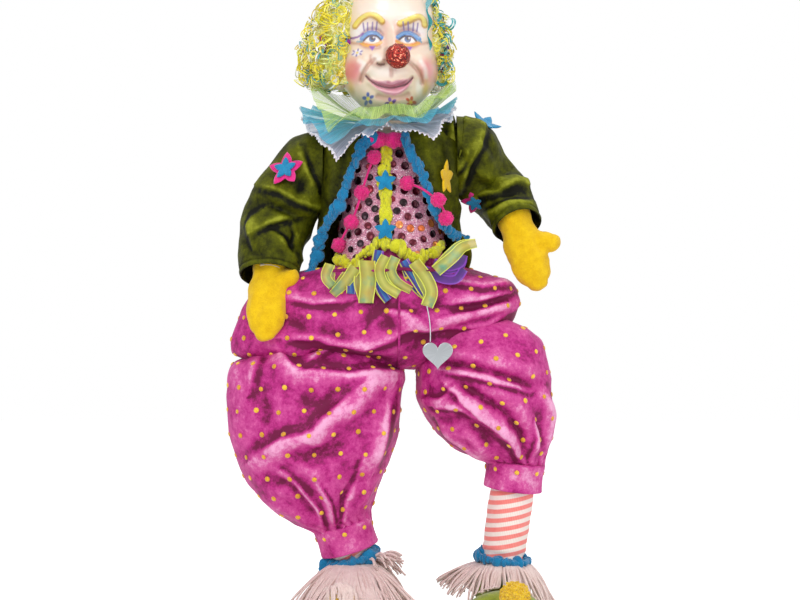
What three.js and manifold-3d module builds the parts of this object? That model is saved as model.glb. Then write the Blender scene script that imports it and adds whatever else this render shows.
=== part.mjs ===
// A clown doll, 60 cm tall: a stuffed cloth body on a bent-wire armature, a cast and painted head,
// a velvet jacket over a sequinned vest, ballooning velvet trousers and pompom shoes.
// Millimetres, +Z up. The doll faces -Y, so its own right hand is at -X.
import * as THREE from 'three';
import { mergeVertices } from 'three/addons/utils/BufferGeometryUtils.js';
import Module from 'manifold-3d';

const wasm = await Module();
wasm.setup();

// Where the doll's own middle lies from the middle of its outer box
const SHIFT_X = -4.1;
const SHIFT_Y = 16.9;

// Clearances and small stock
const GAP = 0.3; // air between two pieces that touch
const WIRE_RADIUS = 1.5;
const WIRE_CLEAR = 0.3;
const SLIVER = 0.07; // facets of less relief than this are merged

// Joint centres of the armature
const NECK_Y = 4;
const NECK_Z = 447;
const SHOULDER_Y = 4;
const SHOULDER = {
  right: new THREE.Vector3(-68, SHOULDER_Y, 418),
  left: new THREE.Vector3(66, SHOULDER_Y, 427),
};
const ELBOW = {
  right: new THREE.Vector3(-101, 0, 372),
  left: new THREE.Vector3(94, 28, 397),
};
const WRIST = {
  right: new THREE.Vector3(-106, -26, 320),
  left: new THREE.Vector3(112, -14, 362),
};
const HIP_Z = 250;
const HIP = {
  right: new THREE.Vector3(-35, 0, HIP_Z),
  left: new THREE.Vector3(48, 0, HIP_Z),
};
const KNEE = {
  right: new THREE.Vector3(-60, -6, 155),
  left: new THREE.Vector3(114, -6, 165),
};
const ANKLE = {
  right: new THREE.Vector3(-32, 2, 60),
  left: new THREE.Vector3(100, 2, 60),
};
const SIDES = ['right', 'left'];
const OUT = { right: -1, left: 1 };

// Stuffed limbs
const SHOULDER_BALL = 18;
const ARM_RADIUS = 15;
const ELBOW_BALL = 13;
const FOREARM_RADIUS = 14;
const THIGH_RADIUS = 19;
const KNEE_BALL = 16;
const STOCKING_RADIUS = 19.5;
const ANKLE_RADIUS = 18;
const KNEE_ROOM = 2; // between the end of one stuffed segment and the ball of the next
const HAND_WIRE = 34; // how far the wire runs on into the mitten

// Torso: height, left edge, right edge, middle depth, half depth
const TORSO_FLOOR = HIP_Z + THIGH_RADIUS + GAP;
const TORSO_ROWS = [
  [NECK_Z, -17, 17, NECK_Y, 16],
  [440, -28, 28, NECK_Y, 19],
  [431, -43, 43, 4, 23],
  [416, -46, 46, 2, 28],
  [385, -42, 42, 0, 31],
  [350, -40, 42, 0, 31],
  [315, -45, 49, 0, 33],
  [290, -50, 56, 0, 35],
  [TORSO_FLOOR, -50, 58, 0, 34],
];
const CLOTH_POWER = 2.5; // how square a trunk section is, 2 being an ellipse

// Vest
const VEST_THICK = 2.4;
const VEST_TOP = 436;
const VEST_FLOOR = 320;
const VEST_FLARE = 7; // how far the hem stands off the stuffed body
const HEM = [
  [-60, 334], [-48, 334], [-35, 324], [-8, 348], [0, 344], [25, 331], [47, 344], [62, 344],
];
const BUTTON_LINE = -4; // where the middle of the vest lies
const TRIM_RADIUS = 3;
const VEST_STAR_RADIUS = 10;
const VEST_STAR_Z = 400;
const VEST_STAR_PITCH = 43;
const FELT_THICK = 2;

// Jacket
const ARMHOLE = { right: -61, left: 61 };
const JACKET_HEM = 313;
const JACKET_TOP = 458;
const jacketHeight = (share) => JACKET_HEM + (JACKET_TOP - JACKET_HEM) * share;
const JACKET_ROWS = [
  // share of the height, then as the torso
  [1, -30, 42, 8, 20],
  [0.945, -50, 60, 6, 28],
  [0.862, -64, 66, 4, 36],
  [0.724, -66, 68, 3, 42],
  [0.545, -64, 66, 2, 44],
  [0.366, -62, 62, 1, 44],
  [0.186, -66, 66, 0, 45],
  [0, -74, 70, 0, 46],
].map(([share, ...row]) => [jacketHeight(share), ...row]);
const FRONT_EDGE = {
  // across, and share of the height
  right: [[-17, 0.917], [-19, 0.869], [-32, 0.697], [-44, 0.476], [-59, 0.29], [-68, 0.09], [-70, 0]],
  left: [[10, 0.917], [12, 0.869], [23, 0.71], [36, 0.503], [45, 0.352], [58, 0.269], [69, 0.255]],
};
Object.entries(FRONT_EDGE).forEach(([side, edge]) => {
  FRONT_EDGE[side] = edge.map(([x, share]) => [x, jacketHeight(share)]);
});
const BLUE_TRIM_RADIUS = 3.4;
const ARMHOLE_ROOM = 7; // round the shoulder ball, where the arm swings
const POM_RADIUS = 6.5;
const POM_CORD_RADIUS = 1.2;
const POMS = {
  // across, height, and whether it lies on the jacket's braid or on the vest
  right: [[-14, 421, false], [-25, 390, false], [-34, 364, false], [-45, 344, false]],
  left: [[15, 398, false], [42, 383, true], [49, 367, true]],
};

// Ruffs: inner hole and, by the angle from the front towards +X, the edge's radius and height
const RUFF_INNER = 18.6;
const RUFF_THICK = 2;
const RUFF_STEPS = 30;
const RUFF_LAYERS = {
  ruff_green: {
    height: 457.6,
    edge: [
      [-180, 64, 478], [-135, 70, 483], [-90, 74, 485], [-62, 76, 466], [-40, 82, 444],
      [-20, 80, 453], [0, 80, 452], [20, 76, 456], [40, 72, 468], [65, 66, 480],
      [90, 62, 482], [135, 62, 480],
    ],
  },
  ruff_turquoise: {
    height: 454.8,
    edge: [
      [-180, 68, 464], [-135, 76, 466], [-90, 81, 467], [-62, 80, 450], [-38, 79, 429],
      [-20, 76, 446], [0, 76, 448], [20, 76, 450], [40, 72, 460], [65, 64, 470],
      [90, 58, 474], [135, 62, 468],
    ],
  },
  ruff_lace: {
    height: 452,
    edge: [
      [-180, 62, 456], [-135, 70, 457], [-90, 76, 458], [-62, 76, 444], [-35, 76, 421],
      [-18, 74, 441], [0, 73, 443], [16, 74, 444], [30, 74, 436], [46, 68, 452],
      [65, 60, 465], [90, 54, 467], [135, 58, 460],
    ],
  },
};

// Head, turned a little to the doll's left
const HEAD_TURN = THREE.MathUtils.degToRad(6);
const HEAD_X = -1.5;
const HEAD_CROWN = 594;
const CHIN_FLOOR = 463.5;
const NECK_RADIUS = 16;
const NOSE_BALL_RADIUS = 10.8;
const NOSE_TIP = new THREE.Vector3(2.5, -63, 510);
const HEAD_ROWS = [
  // height, half width, front, back
  [CHIN_FLOOR, 12, -30, 12],
  [467, 22, -41, 22],
  [476, 32, -46, 34],
  [488, 39.5, -47.5, 42],
  [500, 41.5, -48, 47],
  [512, 41, -46, 50],
  [526, 40, -45, 52],
  [540, 40, -46.5, 52],
  [555, 38.5, -44.5, 50],
  [570, 34.5, -38.5, 44],
  [582, 27, -29, 34],
  [590, 15, -16, 20],
  [HEAD_CROWN - 0.6, 5, -5, 8],
];
const WIG_ROWS = [
  [487, -70, 50, 14, 44],
  [500, -74, 55, 14, 50],
  [522, -75, 56, 14, 54],
  [542, -66, 50, 14, 54],
  [560, -55, 42, 14, 50],
  [576, -46, 40, 14, 46],
  [588, -38, 34, 12, 40],
  [597, -24, 20, 10, 30],
  [600, -10, 8, 10, 14],
];
const WIG_TUFTS_ROUND = 8;
const WIG_TUFTS_DOWN = 6;
const WIG_TUFT_RISE = 4.5;

// Trousers: each row is a left point and a right point of the outline, its depth and half depth
const HIP_PAIRS = [
  [-50, 327, 58, 327, 0, 38],
  [-92, 318, 88, 318, 0, 47],
  [-118, 305, 111, 307, 2, 53],
  [-132, 288, 115, 298, 3, 56],
  [-140, 270, 113, 284, 3, 58],
  [-143, 256, 104, 270, 3, 56],
  [-137, 245, 80, 256, 3, 50],
  [-112, 237, 52, 242, 3, 40],
  [-80, 233, 30, 234, 3, 26],
];
const SEAM_X = 8;
const LEG_PAIRS = {
  right: [
    [-78, 262, -4, 262, 0, 34],
    [-104, 252, 0, 250, 0, 44],
    [-137, 240, 8, 236, 0, 56],
    [-145, 206, 9, 205, 0, 62],
    [-140, 169, 6, 172, 0, 60],
    [-134, 148, -1, 153, 0, 56],
    [-108, 111, -16, 120, -1, 42],
    [-88, 98, -18, 110, -1, 33],
    [-70, 90, -16, 103.5, -1, 27],
  ],
  left: [
    [34, 262, 88, 280, 0, 32],
    [26, 250, 112, 273, 0, 42],
    [24, 238, 133, 260, 0, 50],
    [24, 224, 140, 245, 0, 55],
    [24, 208, 143, 224, 0, 56],
    [31, 193, 144, 206, 0, 54],
    [41, 179, 144, 188, 0, 50],
    [56, 163, 141, 170, -1, 40],
    [82, 152, 138, 157, -2, 28],
  ],
};
const CUFF_RADIUS = 26;
const CUFF_TOP = { right: 0.62, left: 0.13 }; // share of the way from knee to ankle
const CUFF_LENGTH = 24;

// Shoes, trims and tag
const SHOE_BACK = 34;
const SHOE_FRONT = -88;
const SHOE_WIDE = 36; // half width at the ball of the foot
const SHOE_TALL = 43;
const SHOE_COLLAR = 24; // radius of the ankle opening's rim
const SHOE_COLLAR_TOP = 55;
const SHOE_COLLAR_FLOOR = 20;
const ANKLE_FLOOR = 30; // where the stuffed leg ends inside the shoe
const ANKLE_TRIM_RING = 22;
const ANKLE_TRIM_RADIUS = 3.4;
const FRINGE_TOP_RADIUS = 19.6;
const FRINGE_REACH = 44;
const FRINGE_FLOOR = 20;
const FRINGE_THICK = 4;
const TOE_POM_RADIUS = 14;
const TOE_POM_RISE = 36;
const TOE_POM_SIDE = 9; // how far the pompom sits outside the ankle
const RIBBON_HALF_THICK = 1.2; // a loop of ribbon pressed flat
const RIBBON_LAYER = 3; // from the back row of ribbons to the front one
const RIBBON_HEADER_Z = 322;
const RIBBON_HEADER_TALL = 5;
// Height and depth of the back row, from the header down over the hips
const RIBBON_FALL = [[350, -50.5], [328, -50.5], [316, -49.4], [305, -51.6], [290, -56.2], [270, -58]];
const RIBBONS = {
  // for each ribbon its half width, then the places across and up that it passes through
  yellow: {
    layer: 1,
    header: [-55, 47],
    strips: [
      [4.5, [-52, 327], [-54.5, 316], [-50, 308]],
      [5.5, [-30, 324], [-39.5, 311.5], [-49, 301]],
      [7.3, [-20, 330], [-20.5, 312], [-20.7, 294]],
      [4.5, [-3.5, 334], [-8.5, 322], [-4, 309], [7, 301]],
      [4.5, [5, 333], [0.5, 321], [6, 311], [17.5, 304.5]],
      [5.5, [21, 329], [31, 314], [35.5, 302], [32.5, 291]],
      [5.5, [40, 321], [54, 333.5], [63, 342], [74, 345]],
    ],
  },
  blue: {
    layer: 0,
    header: [-36, 36],
    strips: [
      [4.5, [-31, 323], [-33.5, 302]],
      [4.5, [-9.5, 339], [-12, 320], [-8, 305], [-2, 296]],
      [4.5, [12, 330], [19, 317], [27, 305], [34, 297]],
      [4, [30, 322], [44, 315], [57, 314], [64, 322]],
    ],
  },
};
const TAG_TOP = new THREE.Vector3(32, -60.4, 291 - GAP); // on the front of the ribbon that ends there
const TAG_END = new THREE.Vector3(35, TAG_TOP.y - 1, 259.5);
const TAG_CORD_RADIUS = 0.5;
const TAG_SIZE = 14; // half width of the heart
const TAG_THICK = 1;
const TAG_LOBE = { across: 6.5, up: 10.5 }; // from the heart's middle to where its cord joins

// Colours
const COLOUR = {
  muslin: 0xe8dcc8, wire: 0x9aa0a4, face: 0xf3dcc6, glitter: 0xa8281c, wig: 0xe8d81c,
  olive: 0x4b5a0e, pinkVest: 0xc98aa4, trim: 0xe8e81c, blue: 0x0d7fb4, pink: 0xf0168a,
  magenta: 0xb02a7c, mitten: 0xf5c518, green: 0xb5d84e, turquoise: 0x35b5d0, lace: 0xe4e0ea,
  stocking: 0xff8f8f, fringe: 0xdcb5b0, shoe: 0x8a9a20, ribbon: 0xc8d040, violet: 0x4a2a9a,
  silver: 0xb4b8bc, yellow: 0xf2b90c,
};

const doll = new THREE.Group();
doll.position.set(SHIFT_X, SHIFT_Y, 0);

// Solids from closed skins, and back

function toSolid(geometry) {
  const bare = geometry.clone();
  bare.deleteAttribute('normal');
  bare.deleteAttribute('uv');
  const merged = mergeVertices(bare, 1e-4);
  const mesh = new wasm.Mesh({
    numProp: 3,
    vertProperties: Float32Array.from(merged.attributes.position.array),
    triVerts: Uint32Array.from(merged.index.array),
  });
  return new wasm.Manifold(mesh);
}

function toGeometry(solid) {
  const mesh = solid.getMesh();
  const geometry = new THREE.BufferGeometry();
  geometry.setAttribute('position', new THREE.BufferAttribute(mesh.vertProperties, 3));
  geometry.setIndex(new THREE.BufferAttribute(mesh.triVerts, 1));
  geometry.computeVertexNormals();
  return geometry;
}

// The largest connected body of a solid: what is left of cloth after a cut, without its offcuts.
function mainBody(solid) {
  const bodies = solid.decompose();
  return bodies.reduce((a, b) => (b.volume() > a.volume() ? b : a));
}

// A solid without the space of some tools, and without the slivers that their edges leave.
function cut(solid, ...tools) {
  return mainBody(tools.reduce((left, tool) => left.subtract(tool), solid)).simplify(SLIVER);
}

function join(...solids) {
  return solids.reduce((sum, solid) => sum.add(solid));
}

function add(name, colour, solid, roughness = 0.85, metalness = 0) {
  const material = new THREE.MeshStandardMaterial({ color: colour, roughness, metalness });
  const mesh = new THREE.Mesh(toGeometry(solid), material);
  mesh.name = name;
  doll.add(mesh);
}

// A closed skin over a stack of rings. Each end closes on a tip, or on the middle of its ring.
function skin(rings, startTip, endTip) {
  const sides = rings[0].length;
  const middle = (ring) =>
    ring.reduce((sum, p) => sum.add(p), new THREE.Vector3()).divideScalar(sides);
  const points = [...rings.flat(), startTip ?? middle(rings[0]), endTip ?? middle(rings.at(-1))];
  const start = points.length - 2;
  const end = points.length - 1;
  const last = (rings.length - 1) * sides;
  const faces = [];
  for (let j = 0; j < sides; j += 1) {
    const k = (j + 1) % sides;
    faces.push(start, k, j);
    faces.push(end, last + j, last + k);
    for (let i = 0; i < last; i += sides) {
      faces.push(i + j, i + k, i + sides + k);
      faces.push(i + j, i + sides + k, i + sides + j);
    }
  }
  return facesOutwards(points, faces);
}

function facesOutwards(points, faces) {
  let volume = 0;
  for (let f = 0; f < faces.length; f += 3) {
    const [a, b, c] = [points[faces[f]], points[faces[f + 1]], points[faces[f + 2]]];
    volume += a.dot(b.clone().cross(c));
  }
  if (volume < 0) faces.reverse();
  const geometry = new THREE.BufferGeometry().setFromPoints(points);
  geometry.setIndex(faces);
  return toSolid(geometry);
}

// Values between listed rows, on a smooth curve through them.
function smoothRows(rows, steps) {
  const out = [];
  for (let i = 0; i < rows.length - 1; i += 1) {
    for (let s = 0; s < steps; s += 1) {
      const at = (k) => rows[Math.min(Math.max(i + k, 0), rows.length - 1)];
      const t = s / steps;
      out.push(rows[i].map((_, c) => 0.5 * (2 * at(0)[c] + (at(1)[c] - at(-1)[c]) * t
        + (2 * at(-1)[c] - 5 * at(0)[c] + 4 * at(1)[c] - at(2)[c]) * t * t
        + (3 * at(0)[c] - at(-1)[c] - 3 * at(1)[c] + at(2)[c]) * t * t * t)));
    }
  }
  out.push(rows.at(-1));
  return out;
}

// One ring of cloth: half its width along a line from left to right, half its depth along Y.
function oval(left, right, y, depth, { power = 2, sides = 20, grow = 0, fold = () => 0 }, s) {
  const centre = left.clone().add(right).multiplyScalar(0.5);
  centre.y = y;
  const across = right.clone().sub(left);
  across.y = 0;
  const half = across.length() / 2;
  across.normalize();
  const ring = [];
  for (let j = 0; j < sides; j += 1) {
    const angle = (2 * Math.PI * j) / sides;
    const c = Math.cos(angle);
    const d = Math.sin(angle);
    const u = Math.sign(c) * Math.abs(c) ** (2 / power);
    const v = Math.sign(d) * Math.abs(d) ** (2 / power);
    const more = grow + fold(angle, s);
    const p = centre.clone().addScaledVector(across, u * (half + more));
    p.y += v * (depth + more);
    ring.push(p);
  }
  return ring;
}

// A garment or trunk from rows of outline points: left x and z, right x and z, depth, half depth.
function garment(pairs, options = {}) {
  const { steps = 1, grow = 0 } = options;
  const rows = smoothRows(pairs, steps);
  const rings = rows.map(([lx, lz, rx, rz, y, depth], i) => oval(
    new THREE.Vector3(lx, 0, lz), new THREE.Vector3(rx, 0, rz), y, depth, options,
    i / (rows.length - 1)));
  const lift = (ring, dz) => ring.forEach((p) => { p.z += dz; });
  const rise = Math.sign(rows[0][1] - rows.at(-1)[1]) * grow;
  lift(rings[0], rise);
  lift(rings.at(-1), -rise);
  return skin(rings);
}

// Level rows of height, left, right, depth and half depth, as pairs.
const level = (rows) => rows.map(([z, left, right, y, depth]) => [left, z, right, z, y, depth]);

// The depth of a level garment's front face at a place.
function frontOf(rows, x, z, power) {
  const i = rows.findIndex((row, k) => k > 0 && row[0] <= z);
  const below = rows[i < 0 ? rows.length - 1 : i];
  const above = rows[Math.max((i < 0 ? rows.length : i) - 1, 0)];
  const t = above[0] === below[0] ? 0 : (above[0] - z) / (above[0] - below[0]);
  const [left, right, y, depth] = [1, 2, 3, 4].map((c) => above[c] + (below[c] - above[c]) * t);
  const u = Math.min(Math.abs((2 * x - left - right) / (right - left)), 0.995);
  return y - depth * (1 - u ** power) ** (1 / power);
}

// A stuffed limb, sleeve, wire or braid: stations of a centre and two half widths.
function limb(stations, options = {}) {
  const { steps = 1, sides = 12, grow = 0, round = [true, true], fold = () => 0 } = options;
  const rows = smoothRows(stations, steps);
  const centres = rows.map((row) => new THREE.Vector3(row[0], row[1], row[2]));
  const along = (i) => centres[Math.min(i + 1, centres.length - 1)].clone()
    .sub(centres[Math.max(i - 1, 0)]).normalize();
  const ring = (centre, tangent, a, b, s) => {
    const flat = Math.abs(tangent.y) > 0.95
      ? new THREE.Vector3(0, 0, 1).cross(tangent).normalize()
      : tangent.clone().cross(new THREE.Vector3(0, 1, 0)).normalize();
    const deep = flat.clone().cross(tangent);
    return Array.from({ length: sides }, (_, j) => {
      const angle = (2 * Math.PI * j) / sides;
      const more = fold(angle, s);
      return centre.clone()
        .addScaledVector(flat, Math.cos(angle) * (a + more))
        .addScaledVector(deep, Math.sin(angle) * (b + more));
    });
  };
  const size = (i, c) => rows[i][c] + grow;
  const rings = centres.map((centre, i) =>
    ring(centre, along(i), size(i, 3), size(i, 4), i / (rows.length - 1)));
  const tips = [0, rows.length - 1].map((i, end) => {
    const outward = along(i).multiplyScalar(end ? 1 : -1);
    const reach = round[end] ? Math.min(size(i, 3), size(i, 4)) : grow;
    const tip = centres[i].clone().addScaledVector(outward, reach);
    if (!round[end] && grow > 0) rings.at(end ? -1 : 0).forEach((p) => p.addScaledVector(outward, grow));
    if (round[end]) {
      const caps = [Math.PI / 6, Math.PI / 3].map((lean) => ring(
        centres[i].clone().addScaledVector(outward, reach * Math.sin(lean)), along(i),
        size(i, 3) * Math.cos(lean), size(i, 4) * Math.cos(lean), end));
      if (end) rings.push(...caps);
      else rings.unshift(...caps.reverse());
    }
    return tip;
  });
  return skin(rings, tips[0], tips[1]);
}

// A braid or wire of one radius through points.
const braid = (points, radius, options = {}) =>
  limb(points.map((p) => [p.x, p.y, p.z, radius, radius]), options);

// A prism along Y over an outline of x and z.
function prism(outline, fromY, toY) {
  const shape = new THREE.Shape(outline.map(([x, z]) => new THREE.Vector2(x, z)));
  const geometry = new THREE.ExtrudeGeometry(shape, { depth: toY - fromY, bevelEnabled: false });
  geometry.rotateX(Math.PI / 2);
  geometry.translate(0, toY, 0);
  return toSolid(geometry);
}

function box(x0, x1, y0, y1, z0, z1) {
  const geometry = new THREE.BoxGeometry(x1 - x0, y1 - y0, z1 - z0);
  geometry.translate((x0 + x1) / 2, (y0 + y1) / 2, (z0 + z1) / 2);
  return toSolid(geometry);
}

function ball(centre, radius, detail = 1) {
  const geometry = new THREE.IcosahedronGeometry(radius, detail);
  geometry.translate(centre.x, centre.y, centre.z);
  return toSolid(geometry);
}

// A five-pointed felt star, its back at the origin and its face towards -Y.
function star(radius, thick, turn) {
  const shape = new THREE.Shape(Array.from({ length: 10 }, (_, k) => {
    const r = k % 2 ? radius * 0.5 : radius;
    const angle = Math.PI / 2 + turn + (k * Math.PI) / 5;
    return new THREE.Vector2(r * Math.cos(angle), r * Math.sin(angle));
  }));
  const geometry = new THREE.ExtrudeGeometry(shape, { depth: thick, bevelEnabled: false });
  geometry.rotateX(Math.PI / 2);
  return geometry;
}

function placed(geometry, position, normal) {
  const turn = new THREE.Quaternion().setFromUnitVectors(
    new THREE.Vector3(0, -1, 0), normal.clone().normalize());
  geometry.applyQuaternion(turn);
  geometry.translate(position.x, position.y, position.z);
  return toSolid(geometry);
}

const pointOn = (a, b, t) => a.clone().lerp(b, t);

// Armature: a spine with a bar through the shoulders and one through the hips
const HIP_BAR_END = 11; // how far the bar runs past each hip centre
const SHOULDER_BAR_END = 10;
const SPINE_TOP = NECK_Z + 22;

function spineWire(grow = 0) {
  const radius = WIRE_RADIUS + grow;
  const options = { sides: 6, round: [false, false] };
  const at = (x, y, z) => new THREE.Vector3(x, y, z);
  const { right: sr, left: sl } = SHOULDER;
  const middle = (sr.z + sl.z) / 2;
  const side = (shoulder, out) => braid([
    at(0, SHOULDER_Y, middle),
    at(shoulder.x * 0.55, SHOULDER_Y, shoulder.z),
    at(shoulder.x + out * SHOULDER_BAR_END, SHOULDER_Y, shoulder.z),
  ], radius, options);
  return join(
    braid([at(HIP.right.x - HIP_BAR_END, 0, HIP_Z), at(HIP.left.x + HIP_BAR_END, 0, HIP_Z)],
      radius, options),
    braid([at(0, 0, HIP_Z), at(0, SHOULDER_Y, middle)], radius, options),
    braid([at(0, SHOULDER_Y, middle - radius), at(0, NECK_Y, SPINE_TOP + grow)], radius, options),
    side(sr, -1),
    side(sl, 1),
  );
}

// Stuffed trunk
const torso = (grow = 0) =>
  garment(level(TORSO_ROWS), { power: CLOTH_POWER, sides: 14, grow });

// Arms and legs: each stuffed segment is cut short of the joint's ball
function segment(from, to, startRadius, endRadius, shortBy, grow) {
  const length = from.distanceTo(to);
  const stop = pointOn(from, to, 1 - shortBy / length);
  const belly = pointOn(from, stop, 0.5);
  return limb([
    [...from.toArray(), startRadius, startRadius],
    [...belly.toArray(), (startRadius + endRadius) / 2 + 0.6, (startRadius + endRadius) / 2 + 0.6],
    [...stop.toArray(), endRadius, endRadius],
  ], { sides: 10, grow, round: [true, false] });
}

const upperArm = (side, grow = 0) =>
  segment(SHOULDER[side], ELBOW[side], SHOULDER_BALL, ARM_RADIUS, ELBOW_BALL + KNEE_ROOM, grow);
const forearm = (side, grow = 0) =>
  segment(ELBOW[side], WRIST[side], ELBOW_BALL, FOREARM_RADIUS, 0, grow);
const thigh = (side, grow = 0) =>
  segment(HIP[side], KNEE[side], THIGH_RADIUS, KNEE_BALL, KNEE_BALL + KNEE_ROOM, grow);

function shin(side, grow = 0) {
  const knee = KNEE[side];
  const ankle = ANKLE[side];
  const calf = pointOn(knee, ankle, 0.4);
  return limb([
    [...knee.toArray(), KNEE_BALL, KNEE_BALL],
    [...calf.toArray(), STOCKING_RADIUS, STOCKING_RADIUS],
    [...pointOn(knee, ankle, 0.75).toArray(), STOCKING_RADIUS, STOCKING_RADIUS],
    [...ankle.toArray(), ANKLE_RADIUS, ANKLE_RADIUS],
    [ankle.x, ankle.y, ANKLE_FLOOR, ANKLE_RADIUS - 1, ANKLE_RADIUS - 1],
  ], { sides: 12, grow, round: [true, false] });
}

// The wires of a limb: the upper runs from just past the joint's bar to the end of its stuffing, and
// the lower starts where it comes out of the next joint's ball
const BAR_CLEAR = 2.5;
const WIRE_PROUD = 0.5;

function limbWire(from, to, start, end, grow = 0) {
  const length = from.distanceTo(to);
  return braid([pointOn(from, to, start / length), pointOn(from, to, end / length)],
    WIRE_RADIUS + grow, { sides: 6, round: [false, false] });
}

const upperWire = (from, to, jointBall, grow) => limbWire(from, to, WIRE_RADIUS + BAR_CLEAR - grow,
  from.distanceTo(to) - jointBall - KNEE_ROOM + WIRE_PROUD + grow, grow);
const lowerWire = (from, to, jointBall, grow) => limbWire(from, to,
  -jointBall - WIRE_PROUD - grow, from.distanceTo(to) + grow, grow);

// Mittens: a flat stuffed hand with its thumb, in line with the forearm
const HAND = {
  right: { tip: new THREE.Vector3(-109, -50, 262), thumb: new THREE.Vector3(-88, -34, 316) },
  left: { tip: new THREE.Vector3(132, -26, 306), thumb: new THREE.Vector3(143, -22, 346) },
};
const HAND_HALF = 17.5;
const HAND_THICK = 12;
const THUMB_RADIUS = 8.5;

function mitten(side, grow = 0) {
  const wrist = WRIST[side];
  const { tip, thumb } = HAND[side];
  const start = pointOn(wrist, tip, GAP / wrist.distanceTo(tip));
  const station = (t, a, b) => [...pointOn(start, tip, t).toArray(), a, b];
  const palm = limb([
    station(0, 13.5, 10.5),
    station(0.25, HAND_HALF - 0.5, HAND_THICK),
    station(0.6, HAND_HALF, HAND_THICK),
    station(0.86, HAND_HALF - 4, HAND_THICK - 3),
    station(0.97, HAND_HALF - 11, HAND_THICK - 7),
  ], { sides: 10, grow, round: [false, false] });
  const root = pointOn(start, tip, 0.16);
  const digit = braid([root, thumb], THUMB_RADIUS, { sides: 8, grow, round: [false, true] });
  const behind = start.clone().addScaledVector(tip.clone().sub(start).normalize(), -20);
  const sleeveEnd = braid([behind, start], 30, { sides: 12, round: [false, false] });
  return grow > 0 ? join(palm, digit) : cut(join(palm, digit), sleeveEnd);
}

// Sleeves: baggy velvet tubes, set into the armholes by a ball round the shoulder
const SLEEVE = {
  right: [
    [-50, 4, 418, 30, 30], [-68, 4, 417, 31, 31], [-84, 3, 396, 31, 30], [-97, 1, 374, 32, 31],
    [-105, -8, 348, 30, 29], [-106, -20, 328, 28, 26], [-106.5, -26, 317, 26, 24],
  ],
  left: [
    [50, 4, 427, 33, 32], [66, 5, 426, 33, 32], [81, 17, 410, 28, 28], [94, 23, 397, 27, 27],
    [103, 8, 384, 25, 25], [109, -6, 371, 23, 23], [113, -15, 361, 22, 22],
  ],
};
const SLEEVE_WRINKLE = 1.3;

function sleeve(side, grow = 0) {
  const out = OUT[side];
  const whole = limb(SLEEVE[side], {
    sides: 12,
    grow,
    round: [false, false],
    fold: (angle, s) => SLEEVE_WRINKLE * Math.sin(3 * angle + 14 * s) * Math.sin(Math.PI * s),
  });
  const edge = ARMHOLE[side] + out * (GAP - grow);
  const inside = out > 0 ? box(-200, edge, -200, 200, 200, 600) : box(edge, 200, -200, 200, 200, 600);
  return whole.subtract(inside);
}

// Ruffs: gathered circles of cloth round the neck, whose edges lie where RUFF_LAYERS says
function edgeAt(layer, angle) {
  const turn = THREE.MathUtils.euclideanModulo(THREE.MathUtils.radToDeg(angle) + 180, 360) - 180;
  const keys = [...layer.edge, [180, layer.edge[0][1], layer.edge[0][2]]];
  const i = keys.findIndex((key) => key[0] > turn);
  const after = i < 0 ? keys.length - 1 : i;
  const [a, b] = [keys[after - 1], keys[after]];
  const t = THREE.MathUtils.smoothstep(turn, a[0], b[0]);
  return { radius: a[1] + (b[1] - a[1]) * t, height: a[2] + (b[2] - a[2]) * t };
}

const RUFF_STATIONS = [0, 0.5, 1];
const RUFF_RIPPLES = 7;
const RUFF_RIPPLE = 1.6;
const RUFF_RISE_POWER = 1.6;

function ruffPoint(layer, angle, s, lift) {
  const edge = edgeAt(layer, angle);
  const radius = RUFF_INNER + (edge.radius - RUFF_INNER) * s;
  const ripple = RUFF_RIPPLE * s * Math.sin(RUFF_RIPPLES * angle);
  const height = layer.height + (edge.height - layer.height) * s ** RUFF_RISE_POWER;
  return new THREE.Vector3(radius * Math.sin(angle), NECK_Y - radius * Math.cos(angle),
    height + ripple + lift);
}

// A closed skin over sections that go all the way round the neck.
function collar(section) {
  const sections = Array.from({ length: RUFF_STEPS }, (_, i) =>
    section((2 * Math.PI * i) / RUFF_STEPS));
  const size = sections[0].length;
  const faces = [];
  for (let i = 0; i < RUFF_STEPS; i += 1) {
    const next = ((i + 1) % RUFF_STEPS) * size;
    for (let j = 0; j < size; j += 1) {
      const k = (j + 1) % size;
      faces.push(i * size + j, i * size + k, next + k);
      faces.push(i * size + j, next + k, next + j);
    }
  }
  return facesOutwards(sections.flat(), faces);
}

const ruff = (layer) => collar((angle) => [
  ...RUFF_STATIONS.map((s) => ruffPoint(layer, angle, s, -RUFF_THICK / 2)),
  ...[...RUFF_STATIONS].reverse().map((s) => ruffPoint(layer, angle, s, RUFF_THICK / 2)),
]);

// Everything above the underside of the lowest ruff, which the clothes beneath keep out of
const ABOVE_RUFFS = 540;
const aboveRuffs = collar((angle) => [
  ...RUFF_STATIONS.map((s) => ruffPoint(RUFF_LAYERS.ruff_lace, angle, s, -RUFF_THICK / 2 - GAP)),
  ...[...RUFF_STATIONS].reverse().map((s) => {
    const p = ruffPoint(RUFF_LAYERS.ruff_lace, angle, s, 0);
    return new THREE.Vector3(p.x, p.y, ABOVE_RUFFS + s);
  }),
]);

// Vest: a skin over the trunk whose hem stands off it
const vestRows = TORSO_ROWS.filter(([z]) => z < VEST_TOP && z > VEST_FLOOR);
const flareAt = (z) => THREE.MathUtils.lerp(VEST_FLARE, 0, THREE.MathUtils.clamp(
  (z - VEST_FLOOR) / (385 - VEST_FLOOR), 0, 1));
const VEST_ROWS = [
  [VEST_TOP, -32, 32, 4, 22],
  ...vestRows,
  [VEST_FLOOR, -44, 48, 0, 33],
].map(([z, left, right, y, depth]) => {
  const more = VEST_THICK + flareAt(z);
  return [z, left - more, right + more, y, depth + more];
});

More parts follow.
